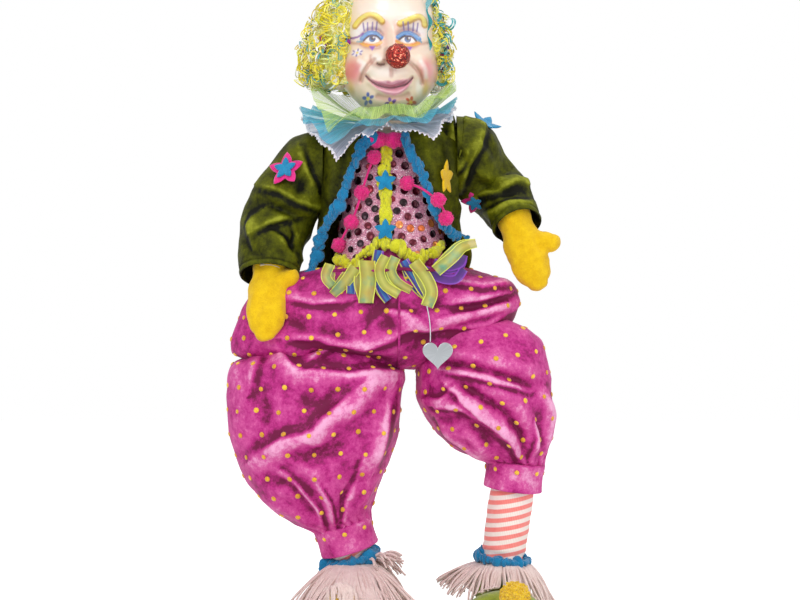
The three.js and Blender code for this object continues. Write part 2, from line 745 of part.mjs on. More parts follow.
function vest(grow = 0) {
  const whole = garment(level(VEST_ROWS), { power: CLOTH_POWER, sides: 14, grow });
  const belowHem = prism([...HEM, [62, VEST_FLOOR - 20], [-60, VEST_FLOOR - 20]], -80, 80);
  return grow > 0 ? whole : whole.subtract(belowHem);
}

const vestFront = (x, z) => frontOf(VEST_ROWS, x, z, CLOTH_POWER);

// Jacket: a velvet shell with an open front
const JACKET_POWER = 2.6;
const jacketFront = (x, z) => frontOf(JACKET_ROWS, x, z, JACKET_POWER);

function jacket() {
  const whole = garment(level(JACKET_ROWS), { power: JACKET_POWER, sides: 16 });
  const open = prism([
    ...FRONT_EDGE.right, [FRONT_EDGE.right.at(-1)[0], JACKET_HEM - 20],
    [120, JACKET_HEM - 20], [120, FRONT_EDGE.left.at(-1)[1]],
    ...[...FRONT_EDGE.left].reverse(),
  ], -100, 0);
  return cut(whole, open, torso(GAP), vest(GAP), aboveRuffs,
    box(-120, ARMHOLE.right, -120, 120, 200, 600), box(ARMHOLE.left, 120, -120, 120, 200, 600),
    ball(SHOULDER.right, SHOULDER_BALL + ARMHOLE_ROOM),
    ball(SHOULDER.left, SHOULDER_BALL + ARMHOLE_ROOM), neck(RUFF_INNER - NECK_RADIUS + 1),
    spineWire(WIRE_CLEAR));
}

// Braid along an edge, proud of the cloth that it is sewn to
function edging(points, front, radius) {
  const path = points.map(([x, z]) => new THREE.Vector3(x, front(x, z) - radius * 0.6, z));
  return braid(path, radius, { sides: 6, steps: 1 });
}

const jacketTrim = (side, grow = 0) => edging(
  FRONT_EDGE[side].slice(1), (x, z) => jacketFront(x, z) - GAP, BLUE_TRIM_RADIUS + grow);

// Shoes
const SHOE_ROWS = [
  // share of the length from the back, half width, height
  [0, 12, 20], [0.06, 20, 34], [0.25, 25, 40], [0.45, 26, 40], [0.62, 32, 41],
  [0.78, SHOE_WIDE, SHOE_TALL], [0.92, 31, 36], [0.98, 20, 26], [1, 10, 17],
];
const SHOE_POWER = 2.4;
const SHOE_SIDES = 12;
const SOLE_CUT = 4; // how much of the rounded underside the flat sole takes away

function shoe(side, grow = 0) {
  const x = ANKLE[side].x;
  const rings = SHOE_ROWS.map(([t, half, tall]) => {
    const y = THREE.MathUtils.lerp(SHOE_BACK + grow, SHOE_FRONT - grow, t);
    const middle = tall * 0.36;
    return Array.from({ length: SHOE_SIDES }, (_, j) => {
      const angle = (2 * Math.PI * j) / SHOE_SIDES;
      const c = Math.cos(angle);
      const d = Math.sin(angle);
      const u = Math.sign(c) * Math.abs(c) ** (2 / SHOE_POWER);
      const v = Math.abs(d) ** (2 / SHOE_POWER);
      const z = d >= 0 ? middle + v * (tall - middle + grow) : middle - v * (middle + SOLE_CUT + grow);
      return new THREE.Vector3(x + u * (half + grow), y, z);
    });
  });
  const upper = skin(rings).subtract(box(x - 60, x + 60, -150, 100, -20, 0));
  const rim = limb([
    [x, ANKLE[side].y, SHOE_COLLAR_FLOOR, SHOE_COLLAR, SHOE_COLLAR],
    [x, ANKLE[side].y, SHOE_COLLAR_TOP, SHOE_COLLAR - 2, SHOE_COLLAR - 2],
  ], { sides: 12, grow, round: [false, false] });
  return join(upper, rim);
}

// The direction in which a leg comes down to its shoe
const shinAxis = (side) => KNEE[side].clone().sub(ANKLE[side]).normalize();

function fringe(side) {
  const ankle = ANKLE[side];
  const rings = [];
  const steps = 16;
  const heights = [0, 0.45, 1];
  const section = (outside) => heights.map((t) => Array.from({ length: steps }, (_, j) => {
    const angle = (2 * Math.PI * j) / steps;
    const spread = THREE.MathUtils.lerp(FRINGE_TOP_RADIUS, FRINGE_REACH, t ** 0.8);
    const lock = 2 * t * Math.cos(4 * angle);
    const r = spread + lock + (outside ? FRINGE_THICK : 0);
    const z = THREE.MathUtils.lerp(ankle.z - 1, FRINGE_FLOOR, t ** 1.2);
    return new THREE.Vector3(ankle.x + r * Math.cos(angle), ankle.y + r * Math.sin(angle), z);
  }));
  rings.push(...section(true), ...section(false).reverse());
  const points = rings.flat();
  const faces = [];
  const count = rings.length;
  for (let i = 0; i < count; i += 1) {
    const next = ((i + 1) % count) * steps;
    for (let j = 0; j < steps; j += 1) {
      const k = (j + 1) % steps;
      faces.push(i * steps + j, i * steps + k, next + k);
      faces.push(i * steps + j, next + k, next + j);
    }
  }
  return facesOutwards(points, faces);
}

function ankleTrim(side) {
  const geometry = new THREE.TorusGeometry(ANKLE_TRIM_RING, ANKLE_TRIM_RADIUS, 6, 18);
  const turn = new THREE.Quaternion().setFromUnitVectors(new THREE.Vector3(0, 0, 1), shinAxis(side));
  geometry.applyQuaternion(turn);
  const seat = ANKLE[side].clone().addScaledVector(shinAxis(side), ANKLE_TRIM_RADIUS + 2);
  geometry.translate(seat.x, seat.y, seat.z);
  return toSolid(geometry);
}

const toePomCentre = (side) => new THREE.Vector3(
  ANKLE[side].x + OUT[side] * TOE_POM_SIDE, SHOE_FRONT - 4, TOE_POM_RISE);

function cuff(side, grow = 0) {
  const top = pointOn(KNEE[side], ANKLE[side], CUFF_TOP[side]);
  const end = top.clone().addScaledVector(shinAxis(side), -CUFF_LENGTH);
  return braid([top, pointOn(top, end, 0.5), end], CUFF_RADIUS,
    { sides: 14, grow, round: [false, false] });
}

// Trousers
const FOLD_DEPTH = 2.2;
const legFold = (angle, s) =>
  FOLD_DEPTH * Math.sin(Math.PI * s) * Math.sin(5 * angle + 5 * s);
const trouserLeg = (side, grow = 0) =>
  garment(LEG_PAIRS[side], { power: 2.1, sides: 16, grow, fold: legFold });

function trouserHip(side) {
  const whole = garment(HIP_PAIRS, {
    power: 2.2,
    sides: 16,
    fold: (angle, s) => 2 * Math.sin(Math.PI * s) * Math.sin(5 * angle + 4 * s),
  });
  const seam = SEAM_X + (OUT[side] * GAP) / 2;
  const other = OUT[side] > 0
    ? box(-220, seam, -120, 120, 200, 360)
    : box(seam, 220, -120, 120, 200, 360);
  return cut(whole, other, torso(GAP), trouserLeg('right', GAP), trouserLeg('left', GAP),
    thigh('right', GAP), thigh('left', GAP), spineWire(WIRE_CLEAR), mitten('right', GAP),
    mitten('left', GAP), vest(GAP), sleeve('right', GAP), jacketHemRoom(),
    jacketTrim('right', GAP), ribbons(RIBBONS.blue, GAP), ribbons(RIBBONS.yellow, GAP));
}

// The space that the jacket's hem takes over the hips
const jacketHemRoom = () => garment(
  level(JACKET_ROWS.slice(-2)), { power: JACKET_POWER, sides: 16, grow: GAP });

// A row of ribbons: flat strips that fan out from a header over the hips
function ribbons({ layer, header, strips }, grow = 0) {
  const depth = (z) => {
    const i = RIBBON_FALL.findIndex(([height]) => height <= z);
    const [above, below] = [RIBBON_FALL[i - 1], RIBBON_FALL[i]];
    return THREE.MathUtils.mapLinear(z, above[0], below[0], above[1], below[1]) - layer * RIBBON_LAYER;
  };
  const seat = depth(RIBBON_HEADER_Z);
  const bar = box(header[0] - grow, header[1] + grow,
    seat - RIBBON_HALF_THICK - grow, seat + RIBBON_HALF_THICK + grow,
    RIBBON_HEADER_Z - RIBBON_HEADER_TALL / 2 - grow, RIBBON_HEADER_Z + RIBBON_HEADER_TALL / 2 + grow);
  return join(bar, ...strips.map(([half, ...places]) => limb(
    places.map(([x, z]) => [x, depth(z), z, half, RIBBON_HALF_THICK]),
    { sides: 4, steps: 2, grow, round: [false, false] })));
}

// Head: level rings, with the nose, cheeks, brows, sockets, lips and chin raised or sunk in front
const FEATURES = [
  // across, height, spread across, spread up, how far out
  [0, 509, 5.5, 8, 15], [0, 522, 5, 9, 5], [-8, 506, 4, 4, 4], [8, 506, 4, 4, 4],
  [-28, 501, 10, 9, 5.5], [28, 501, 10, 9, 5.5], [-18, 542, 11, 3.5, 3], [18, 542, 11, 3.5, 3],
  [-15, 526, 8, 5, -4], [15, 526, 8, 5, -4], [0, 480, 13, 4.5, 4], [0, 469, 11, 5, 4],
  [-22, 488, 5, 10, -2], [22, 488, 5, 10, -2],
];
const EAR_RADIUS = 5;

function head(grow = 0) {
  const sides = 20;
  const rings = HEAD_ROWS.map(([z, half, front, back]) => Array.from({ length: sides }, (_, j) => {
    const angle = (2 * Math.PI * j) / sides;
    const c = Math.cos(angle);
    const d = Math.sin(angle);
    const x = c * (half + grow);
    let y = d < 0 ? d * -(front - grow) : d * (back + grow);
    if (d < 0) {
      FEATURES.forEach(([fx, fz, sx, sz, out]) => {
        y += d * out * Math.exp(-(((x - fx) / sx) ** 2) - ((z - fz) / sz) ** 2);
      });
    }
    return new THREE.Vector3(x, y, z);
  }));
  rings[0].forEach((p) => { p.z -= grow; });
  rings.at(-1).forEach((p) => { p.z += grow; });
  const skull = skin(rings);
  const ears = [-1, 1].map((side) => limb([
    [side * 43, 6, 504, EAR_RADIUS + 3, 9], [side * 44, 5, 494, EAR_RADIUS + 3, 8],
    [side * 42, 4, 485, EAR_RADIUS, 4],
  ], { sides: 6, grow }));
  return turned(join(skull, ...ears));
}

// From the head's own frame to the doll's: turned about the neck, then set over.
function turned(solid) {
  const degrees = THREE.MathUtils.radToDeg(HEAD_TURN);
  return solid.translate([0, -NECK_Y, 0]).rotate([0, 0, degrees]).translate([HEAD_X, NECK_Y, 0]);
}

const neck = (grow = 0) => limb([
  [0, NECK_Y, NECK_Z + GAP, NECK_RADIUS, NECK_RADIUS],
  [0, NECK_Y, NECK_Z + 40, NECK_RADIUS, NECK_RADIUS],
], { sides: 14, grow, round: [false, false] });

// The curls stand in tufts: rounded lumps and hollows in turn, across and down the wig
const wigTuft = (angle, s) => WIG_TUFT_RISE * Math.sin(WIG_TUFTS_ROUND * angle)
  * Math.sin(Math.PI * WIG_TUFTS_DOWN * s);

function wig() {
  const whole = garment(level([...WIG_ROWS].reverse()), {
    sides: 4 * WIG_TUFTS_ROUND,
    steps: 2,
    fold: wigTuft,
  });
  const face = box(-120, 120, -120, -20, 440, 620);
  return cut(turned(whole.subtract(face)), head(GAP));
}

// Build the pieces, from the inside out

const spine = spineWire();
add('armature_spine', COLOUR.wire, spine, 0.4, 0.8);

const wireHoles = { upperArm: {}, forearm: {}, thigh: {}, shin: {} };
SIDES.forEach((side) => {
  const wires = {
    arm_wire: upperWire(SHOULDER[side], ELBOW[side], ELBOW_BALL, 0),
    forearm_wire: lowerWire(ELBOW[side], WRIST[side], ELBOW_BALL, 0),
    thigh_wire: upperWire(HIP[side], KNEE[side], KNEE_BALL, 0),
    shin_wire: lowerWire(KNEE[side], ANKLE[side], KNEE_BALL, 0),
  };
  const intoHand = pointOn(WRIST[side], HAND[side].tip, HAND_WIRE / WRIST[side].distanceTo(HAND[side].tip));
  const handWire = (grow) => braid([WRIST[side], intoHand], WIRE_RADIUS + grow,
    { sides: 6, round: [false, false] });
  wires.forearm_wire = join(wires.forearm_wire, handWire(0));
  Object.entries(wires).forEach(([name, solid]) =>
    add(`${name}_${side}`, COLOUR.wire, mainBody(solid), 0.4, 0.8));
  wireHoles.upperArm[side] = upperWire(SHOULDER[side], ELBOW[side], ELBOW_BALL, WIRE_CLEAR);
  wireHoles.forearm[side] = join(
    lowerWire(ELBOW[side], WRIST[side], ELBOW_BALL, WIRE_CLEAR), handWire(WIRE_CLEAR));
  wireHoles.thigh[side] = upperWire(HIP[side], KNEE[side], KNEE_BALL, WIRE_CLEAR);
  wireHoles.shin[side] = lowerWire(KNEE[side], ANKLE[side], KNEE_BALL, WIRE_CLEAR);
});

add('torso_stuffing', COLOUR.muslin, cut(torso(), spineWire(WIRE_CLEAR)));

SIDES.forEach((side) => {
  const spineHole = spineWire(WIRE_CLEAR);
  add(`upper_arm_${side}`, COLOUR.muslin, cut(upperArm(side), spineHole, wireHoles.upperArm[side]));
  add(`forearm_${side}`, COLOUR.muslin, cut(forearm(side), wireHoles.forearm[side],
    wireHoles.upperArm[side]));
  add(`mitten_${side}`, COLOUR.mitten, cut(mitten(side), forearm(side, GAP), wireHoles.forearm[side]));
  add(`sleeve_${side}`, COLOUR.olive, cut(sleeve(side), upperArm(side, GAP), forearm(side, GAP),
    mitten(side, GAP), spineHole, wireHoles.upperArm[side], wireHoles.forearm[side], aboveRuffs));
  add(`thigh_${side}`, COLOUR.muslin, cut(thigh(side), spineHole, wireHoles.thigh[side]));
  add(`shin_${side}`, COLOUR.stocking, cut(shin(side), wireHoles.shin[side], wireHoles.thigh[side]));
  add(`trouser_cuff_${side}`, COLOUR.magenta, cut(cuff(side), shin(side, GAP)));
  add(`trouser_leg_${side}`, COLOUR.magenta, cut(trouserLeg(side), torso(GAP), thigh(side, GAP),
    shin(side, GAP), cuff(side, GAP), spineHole, wireHoles.thigh[side], wireHoles.shin[side]));
  add(`trouser_hip_${side}`, COLOUR.magenta, trouserHip(side));
  add(`shoe_${side}`, COLOUR.shoe, cut(shoe(side), shin(side, GAP)));
  const trim = cut(ankleTrim(side), shin(side, GAP));
  add(`ankle_trim_${side}`, COLOUR.blue, trim);
  add(`fringe_${side}`, COLOUR.fringe, cut(fringe(side), shin(side, GAP), shoe(side, GAP),
    ankleTrim(side), cuff(side, GAP)));
  add(`toe_pom_${side}`, COLOUR.mitten, cut(ball(toePomCentre(side), TOE_POM_RADIUS, 2),
    shoe(side, GAP)));
});

add('vest', COLOUR.pinkVest, cut(vest(), torso(GAP), aboveRuffs, spineWire(WIRE_CLEAR)), 0.6);
add('jacket_body', COLOUR.olive, jacket());

const hemFront = HEM.slice(1, -1);
const trimFront = (x, z) => vestFront(x, z) - GAP;
const centreBraid = edging(
  [[BUTTON_LINE, VEST_TOP - 4], [BUTTON_LINE, 400], [BUTTON_LINE, 372], [BUTTON_LINE, 347]],
  trimFront, TRIM_RADIUS);
add('vest_trim', COLOUR.trim, cut(join(centreBraid, edging(hemFront, trimFront, TRIM_RADIUS)),
  vest(GAP), aboveRuffs));

Object.entries({ upper: VEST_STAR_Z, lower: VEST_STAR_Z - VEST_STAR_PITCH }).forEach(([place, z]) => {
  const seat = new THREE.Vector3(
    BUTTON_LINE, trimFront(BUTTON_LINE, z) - TRIM_RADIUS * 1.6 - GAP, z);
  const solid = placed(star(VEST_STAR_RADIUS, FELT_THICK, 0), seat, new THREE.Vector3(0, -1, 0));
  add(`vest_star_${place}`, COLOUR.blue, cut(solid, centreBraid));
});

const jacketSolid = jacket();
SIDES.forEach((side) => {
  const trim = jacketTrim(side);
  add(`jacket_trim_${side}`, COLOUR.blue, cut(trim, jacketSolid, vest(GAP), aboveRuffs,
    sleeve(side, GAP)));
  const under = (x, z, onBraid) =>
    (onBraid ? jacketFront(x, z) - 1.6 * BLUE_TRIM_RADIUS - GAP : vestFront(x, z));
  const spots = POMS[side].map(([x, z, onBraid]) =>
    new THREE.Vector3(x, under(x, z, onBraid) - POM_RADIUS - GAP, z));
  const string = join(braid(spots, POM_CORD_RADIUS, { sides: 5 }),
    ...spots.map((spot) => ball(spot, POM_RADIUS)));
  add(`pompom_string_${side}`, COLOUR.pink, cut(string, vest(GAP), jacketSolid, trim, centreBraid,
    edging(hemFront, trimFront, TRIM_RADIUS)));
});

// A pink felt bow under the lace
const BOW = [[-20, 437, 6], [-12, 437, 8], [-4, 437, 5], [4, 437, 7.5], [12, 436, 5.5]];
const bowPath = BOW.map(([x, z, r]) => [x, vestFront(BUTTON_LINE, 432) - 8, z, r, 5]);
add('collar_bow', COLOUR.pink, cut(limb(bowPath, { sides: 8 }), vest(GAP), aboveRuffs,
  centreBraid, jacketSolid, edging(FRONT_EDGE.right.slice(1), jacketFront, BLUE_TRIM_RADIUS + 1),
  edging(FRONT_EDGE.left.slice(1), jacketFront, BLUE_TRIM_RADIUS + 1)));

// Felt stars sewn to the jacket and sleeves
const jacketStarSeat = new THREE.Vector3(50, jacketFront(50, 404) - 3, 404);
add('jacket_star', COLOUR.yellow, cut(
  placed(star(14, FELT_THICK, 0), jacketStarSeat, new THREE.Vector3(0.86, -0.5, 0)), jacketSolid));

function sleeveStar(centre, axisPoint, radius, turn) {
  const normal = centre.clone().sub(axisPoint).normalize();
  return placed(star(radius, FELT_THICK, turn), centre, normal);
}

const PATCH = new THREE.Vector3(-94, -24, 413);
const patchAxis = new THREE.Vector3(-84, 3, 396);
const patchTop = PATCH.clone().addScaledVector(PATCH.clone().sub(patchAxis).normalize(), 1.8);
add('sleeve_star_right', COLOUR.pink, cut(join(
  sleeveStar(PATCH, patchAxis, 15.5, 0.3),
  sleeveStar(patchTop, patchAxis, 10, 0.3)), sleeve('right')));
add('shoulder_star_left', COLOUR.blue, cut(
  sleeveStar(new THREE.Vector3(82, 14, 452), new THREE.Vector3(78, 12, 418), 14, 0.2),
  sleeve('left')));
add('sleeve_star_left', COLOUR.pink, cut(
  sleeveStar(new THREE.Vector3(76, 4, 384), new THREE.Vector3(84, 14, 408), 12, 0.5),
  sleeve('left')));

Object.entries(RUFF_LAYERS).forEach(([name, layer]) =>
  add(name, COLOUR[name.replace('ruff_', '')], cut(ruff(layer), neck(GAP))));

const headSolid = cut(join(head(), neck()), spineWire(WIRE_CLEAR));
add('head', COLOUR.face, headSolid, 0.3);
const noseBall = ball(NOSE_TIP, NOSE_BALL_RADIUS, 2);
add('nose_ball', COLOUR.glitter, cut(turned(noseBall), head(GAP)), 0.4);
add('wig', COLOUR.wig, wig(), 0.5);

add('waist_ribbon_yellow', COLOUR.ribbon, ribbons(RIBBONS.yellow), 0.4);
add('waist_ribbon_blue', COLOUR.violet, ribbons(RIBBONS.blue), 0.4);

// Tag: a silver heart on its cord
const tagCord = (grow) => braid([TAG_TOP, pointOn(TAG_TOP, TAG_END, 0.5), TAG_END],
  TAG_CORD_RADIUS + grow, { sides: 6, steps: 2, round: [false, false] });
add('tag_cord', COLOUR.silver, tagCord(0), 0.3, 0.6);
const heart = new THREE.Shape();
heart.moveTo(0, -TAG_SIZE * 1.1);
heart.bezierCurveTo(TAG_SIZE * 0.4, -TAG_SIZE * 0.7, TAG_SIZE, -TAG_SIZE * 0.3, TAG_SIZE,
  TAG_SIZE * 0.25);
heart.bezierCurveTo(TAG_SIZE, TAG_SIZE * 0.85, TAG_SIZE * 0.2, TAG_SIZE * 0.95, 0, TAG_SIZE * 0.4);
heart.bezierCurveTo(-TAG_SIZE * 0.2, TAG_SIZE * 0.95, -TAG_SIZE, TAG_SIZE * 0.85, -TAG_SIZE,
  TAG_SIZE * 0.25);
heart.bezierCurveTo(-TAG_SIZE, -TAG_SIZE * 0.3, -TAG_SIZE * 0.4, -TAG_SIZE * 0.7, 0,
  -TAG_SIZE * 1.1);
const heartGeometry = new THREE.ExtrudeGeometry(heart,
  { depth: TAG_THICK, bevelEnabled: false, curveSegments: 8 });
heartGeometry.rotateX(Math.PI / 2);
heartGeometry.translate(TAG_END.x + TAG_LOBE.across, TAG_END.y + TAG_THICK / 2, TAG_END.z - TAG_LOBE.up);
add('heart_tag', COLOUR.silver, cut(toSolid(heartGeometry), tagCord(GAP)), 0.3, 0.7);

export default doll;
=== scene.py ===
# %% [markdown]
# # A dressed clown doll
#
# The real thing is a shelf doll, 60 cm tall. A wire armature inside stuffed muslin holds its pose, and
# over it come a cast and painted head, net ruffs, a velvet jacket, a sequinned vest, balloon trousers,
# felt mittens and soft shoes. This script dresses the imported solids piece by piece. Each piece is a
# surface worked out with numpy in the doll's own millimetres, and goes into Blender in metres.

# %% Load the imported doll
import math

import bpy
import numpy as np
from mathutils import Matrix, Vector


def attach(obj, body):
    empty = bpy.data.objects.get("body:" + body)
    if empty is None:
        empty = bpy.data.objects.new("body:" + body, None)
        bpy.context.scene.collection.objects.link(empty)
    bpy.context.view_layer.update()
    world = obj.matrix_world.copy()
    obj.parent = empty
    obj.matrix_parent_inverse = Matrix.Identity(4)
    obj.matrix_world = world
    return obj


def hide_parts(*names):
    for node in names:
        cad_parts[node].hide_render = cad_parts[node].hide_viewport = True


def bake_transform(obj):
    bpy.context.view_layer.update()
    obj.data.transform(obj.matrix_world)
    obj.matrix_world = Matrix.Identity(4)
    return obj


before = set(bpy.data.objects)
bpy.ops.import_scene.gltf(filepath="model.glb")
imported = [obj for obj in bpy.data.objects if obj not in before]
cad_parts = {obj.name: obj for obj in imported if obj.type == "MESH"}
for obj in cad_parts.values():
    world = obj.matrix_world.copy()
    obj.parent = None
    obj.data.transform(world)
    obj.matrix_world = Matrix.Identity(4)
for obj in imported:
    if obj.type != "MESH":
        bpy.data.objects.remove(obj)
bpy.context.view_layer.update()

# %% [markdown]
# ## Millimetres of the doll, metres of the scene
#
# Every size below is in millimetres from the doll's own middle, at the height of the floor, with the
# doll facing -Y. The solids were shifted so that their outer box is centred, so the same shift is
# applied here, once, on the way into a mesh.

# %% Units and arrays
DOLL_SHIFT = np.array([-4.1, 16.9, 0.0])


def metres(points_mm):
    """The doll's millimetres to the scene's metres: shift, then divide by 1000."""
    return (np.asarray(points_mm, float) + DOLL_SHIFT) / 1000


def linear(hex_colour, alpha=1.0):
    """An sRGB hex value to linear RGBA: the low end divided by 12.92, the rest raised to 2.4."""
    c = np.array([int(hex_colour[i:i + 2], 16) / 255 for i in (0, 2, 4)])
    c = np.where(c <= 0.04045, c / 12.92, ((c + 0.055) / 1.055) ** 2.4)
    return (*c.tolist(), alpha)


def mix(a, b, t):
    """a where t is 0 and b where t is 1, in a straight line between."""
    return a + (b - a) * t


def smoothstep(low, high, x):
    """0 below low, 1 above high, and 3t^2 - 2t^3 between."""
    t = np.clip((np.asarray(x, float) - low) / (high - low), 0, 1)
    return t * t * (3 - 2 * t)


def bump(x, middle, width):
    """A bell: 1 at the middle, falling as exp(-(distance / width)^2)."""
    return np.exp(-((np.asarray(x, float) - middle) / width) ** 2)


def waves(points, size, seed, count=24):
    """Smooth noise from -1 to 1: the mean of sines in random directions, each about size mm long."""
    rng = np.random.default_rng(seed)
    directions = rng.normal(size=(count, points.shape[-1]))
    directions /= np.linalg.norm(directions, axis=1)[:, None]
    steps = directions * (2 * math.pi / (size * rng.uniform(0.7, 1.5, count)))[:, None]
    phase = rng.uniform(0, 2 * math.pi, count)
    return np.sin(points @ steps.T + phase).sum(-1) / math.sqrt(count / 2) / 1.6


# %% [markdown]
# ## From a grid of points to a mesh
#
# Cloth, skin and wire are all a grid here: rows along the piece and columns round or across it. One
# function joins neighbours with quads, closes the grid where it goes all the way round, and keeps a UV
# map in metres of cloth, so that stripes and weave follow the surface.

# %% Curves and grids
def curve_through(rows, t):
    """A Catmull-Rom curve through the rows. t runs from 0 to the number of rows less one."""
    rows = np.asarray(rows, float)
    i = np.clip(np.floor(t).astype(int), 0, len(rows) - 2)
    f = (t - i)[:, None]
    a, b, c, d = (rows[np.clip(i + k, 0, len(rows) - 1)] for k in (-1, 0, 1, 2))
    return 0.5 * (2 * b + (c - a) * f + (2 * a - 5 * b + 4 * c - d) * f**2
                  + (3 * b - a - 3 * c + d) * f**3)


def along(rows, count):
    """The same curve at a count of even steps."""
    return curve_through(rows, np.linspace(0, len(rows) - 1, count))


def even(path, count):
    """A path's points, moved along it until they lie at equal distances."""
    path = np.asarray(path, float)
    run = np.concatenate([[0], np.cumsum(np.linalg.norm(np.diff(path, axis=0), axis=1))])
    at = np.linspace(0, run[-1], count)
    return np.stack([np.interp(at, run, path[:, k]) for k in range(path.shape[1])], 1)


def oval_rings(pairs, power, angles, count):
    """Rings through rows of (left x, left z, right x, right z, y, half depth). Each ring runs from
    right to left and back as cos and sin of the angle, each raised to 2 / power, so that a power
    of 2 is an ellipse and more is squarer. Front is at three quarters of a turn."""
    r = along(pairs, count)
    c, d = np.cos(angles), np.sin(angles)
    u = np.sign(c) * np.abs(c) ** (2 / power)
    v = np.sign(d) * np.abs(d) ** (2 / power)
    x = (r[:, [0]] + r[:, [2]]) / 2 + (r[:, [2]] - r[:, [0]]) / 2 * u
    z = (r[:, [1]] + r[:, [3]]) / 2 + (r[:, [3]] - r[:, [1]]) / 2 * u
    y = r[:, [4]] + r[:, [5]] * v
    return np.stack([x, y, z], -1)


def frames(path, side=(0, 1, 0)):
    """At each point of a path: its direction, and two directions square to it."""
    path = np.asarray(path, float)
    tangent = np.gradient(path, axis=0)
    tangent /= np.linalg.norm(tangent, axis=1)[:, None]
    flat = np.cross(tangent, side)
    flat /= np.linalg.norm(flat, axis=1)[:, None]
    return tangent, flat, np.cross(flat, tangent)


def tube(path, wide, deep=None, sides=24, side=(0, 1, 0)):
    """Ovals square to a path: wide across it and deep along the given side."""
    _, flat, depth = frames(path, side)
    angle = np.linspace(0, 2 * math.pi, sides, endpoint=False)
    wide = np.broadcast_to(np.asarray(wide, float), len(path))[:, None, None]
    deep = wide if deep is None else np.broadcast_to(np.asarray(deep, float), len(path))[:, None, None]
    return (np.asarray(path)[:, None] + flat[:, None] * np.cos(angle)[None, :, None] * wide
            + depth[:, None] * np.sin(angle)[None, :, None] * deep)


def grid_normals(grid, wrap=True):
    """Unit normals of a grid: the cross product of its two directions of growth."""
    padded = np.concatenate([grid[:, -1:], grid, grid[:, :1]], 1) if wrap else grid
    across = np.gradient(padded, axis=1)
    across = across[:, 1:-1] if wrap else across
    n = np.cross(across, np.gradient(grid, axis=0))
    return n / np.maximum(np.linalg.norm(n, axis=-1, keepdims=True), 1e-9)


def outward(grid, wrap=True):
    """The grid's normals, turned so that most of them point away from its middle line."""
    n = grid_normals(grid, wrap)
    middle = grid.mean(1, keepdims=True) if wrap else grid.mean((0, 1))
    return n if ((grid - middle) * n).sum() > 0 else -n


# %% Meshes
def mesh_piece(name, points_mm, faces, uv=None, smooth=True):
    """A new object at the origin. faces is one array of quads or triangles, or a list of arrays."""
    faces = faces if isinstance(faces, list) else [faces]
    mesh = bpy.data.meshes.new(name)
    points = metres(points_mm).reshape(-1, 3)
    corners = np.concatenate([f.ravel() for f in faces])
    sizes = np.concatenate([np.full(len(f), f.shape[1]) for f in faces])
    mesh.vertices.add(len(points))
    mesh.vertices.foreach_set("co", points.astype(np.float32).ravel())
    mesh.loops.add(len(corners))
    mesh.loops.foreach_set("vertex_index", corners.astype(np.int32))
    mesh.polygons.add(len(sizes))
    mesh.polygons.foreach_set("loop_start", (np.cumsum(sizes) - sizes).astype(np.int32))
    mesh.polygons.foreach_set("use_smooth", np.full(len(sizes), smooth))
    if uv is not None:
        layer = mesh.uv_layers.new(name="cloth")
        layer.data.foreach_set("uv", np.asarray(uv, np.float32)[corners].ravel())
    mesh.validate()
    mesh.update()
    piece = bpy.data.objects.new(name, mesh)
    bpy.context.scene.collection.objects.link(piece)
    return piece


def grid_faces(rows, columns, wrap):
    """Quads between neighbours of a grid, closed from the last column to the first if it wraps."""
    i, j = np.meshgrid(np.arange(rows - 1), np.arange(columns if wrap else columns - 1), indexing="ij")
    k = (j + 1) % columns
    return np.stack([i * columns + j, i * columns + k, (i + 1) * columns + k,
                     (i + 1) * columns + j], -1).reshape(-1, 4)


def grid_piece(name, grid, wrap=True, capped=False, uv=None):
    """A mesh over a grid. capped closes both ends of a tube on a middle point. The UV map is the
    distance along each direction, in metres, and faces point away from the grid's middle."""
    rows, columns = grid.shape[:2]
    points = grid.reshape(-1, 3)
    faces = [grid_faces(rows, columns, wrap)]
    if uv is None:
        round_it = np.linalg.norm(np.diff(grid, axis=1), axis=-1).sum(1).max()
        down = np.concatenate([[0], np.cumsum(np.linalg.norm(np.diff(grid.mean(1), axis=0), axis=-1))])
        u, v = np.meshgrid(np.linspace(0, round_it, columns), down)
        uv = np.stack([u, v], -1) / 1000
    uv = uv.reshape(-1, 2)
    if capped:
        ring = np.arange(columns)
        ends = [rows * columns, rows * columns + 1]
        points = np.concatenate([points, [grid[0].mean(0), grid[-1].mean(0)]])
        uv = np.concatenate([uv, uv[:1], uv[-1:]])
        last = (rows - 1) * columns
        faces += [np.stack([np.full(columns, ends[0]), (ring + 1) % columns, ring], 1),
                  np.stack([np.full(columns, ends[1]), last + ring, last + (ring + 1) % columns], 1)]
    if (grid_normals(grid, wrap) * outward(grid, wrap)).sum() < 0:
        faces = [f[:, ::-1] for f in faces]
    return mesh_piece(name, points, faces, uv)


def scatter(name, unit, faces, centres, turns=None, sizes=1.0, smooth=True):
    """Many copies of one small shape in a single mesh: each is sized, turned and moved."""
    unit, centres = np.asarray(unit, float), np.asarray(centres, float)
    sizes = np.broadcast_to(np.asarray(sizes, float), len(centres))
    shapes = np.broadcast_to(unit, (len(centres), *unit.shape)) * sizes[:, None, None]
    if turns is not None:
        shapes = np.einsum("nij,nkj->nki", turns, shapes)
    points = shapes + centres[:, None]
    step = np.arange(len(centres))[:, None, None] * len(unit)
    return mesh_piece(name, points.reshape(-1, 3),
                      [(f[None] + step).reshape(-1, f.shape[1]) for f in faces], smooth=smooth)


def facing(normals, up=(0, 0, 1)):
    """Turning matrices whose third column is each normal."""
    z = np.asarray(normals, float)
    x = np.cross(np.broadcast_to(up, z.shape), z)
    x /= np.maximum(np.linalg.norm(x, axis=1)[:, None], 1e-9)
    return np.stack([x, np.cross(z, x), z], -1)


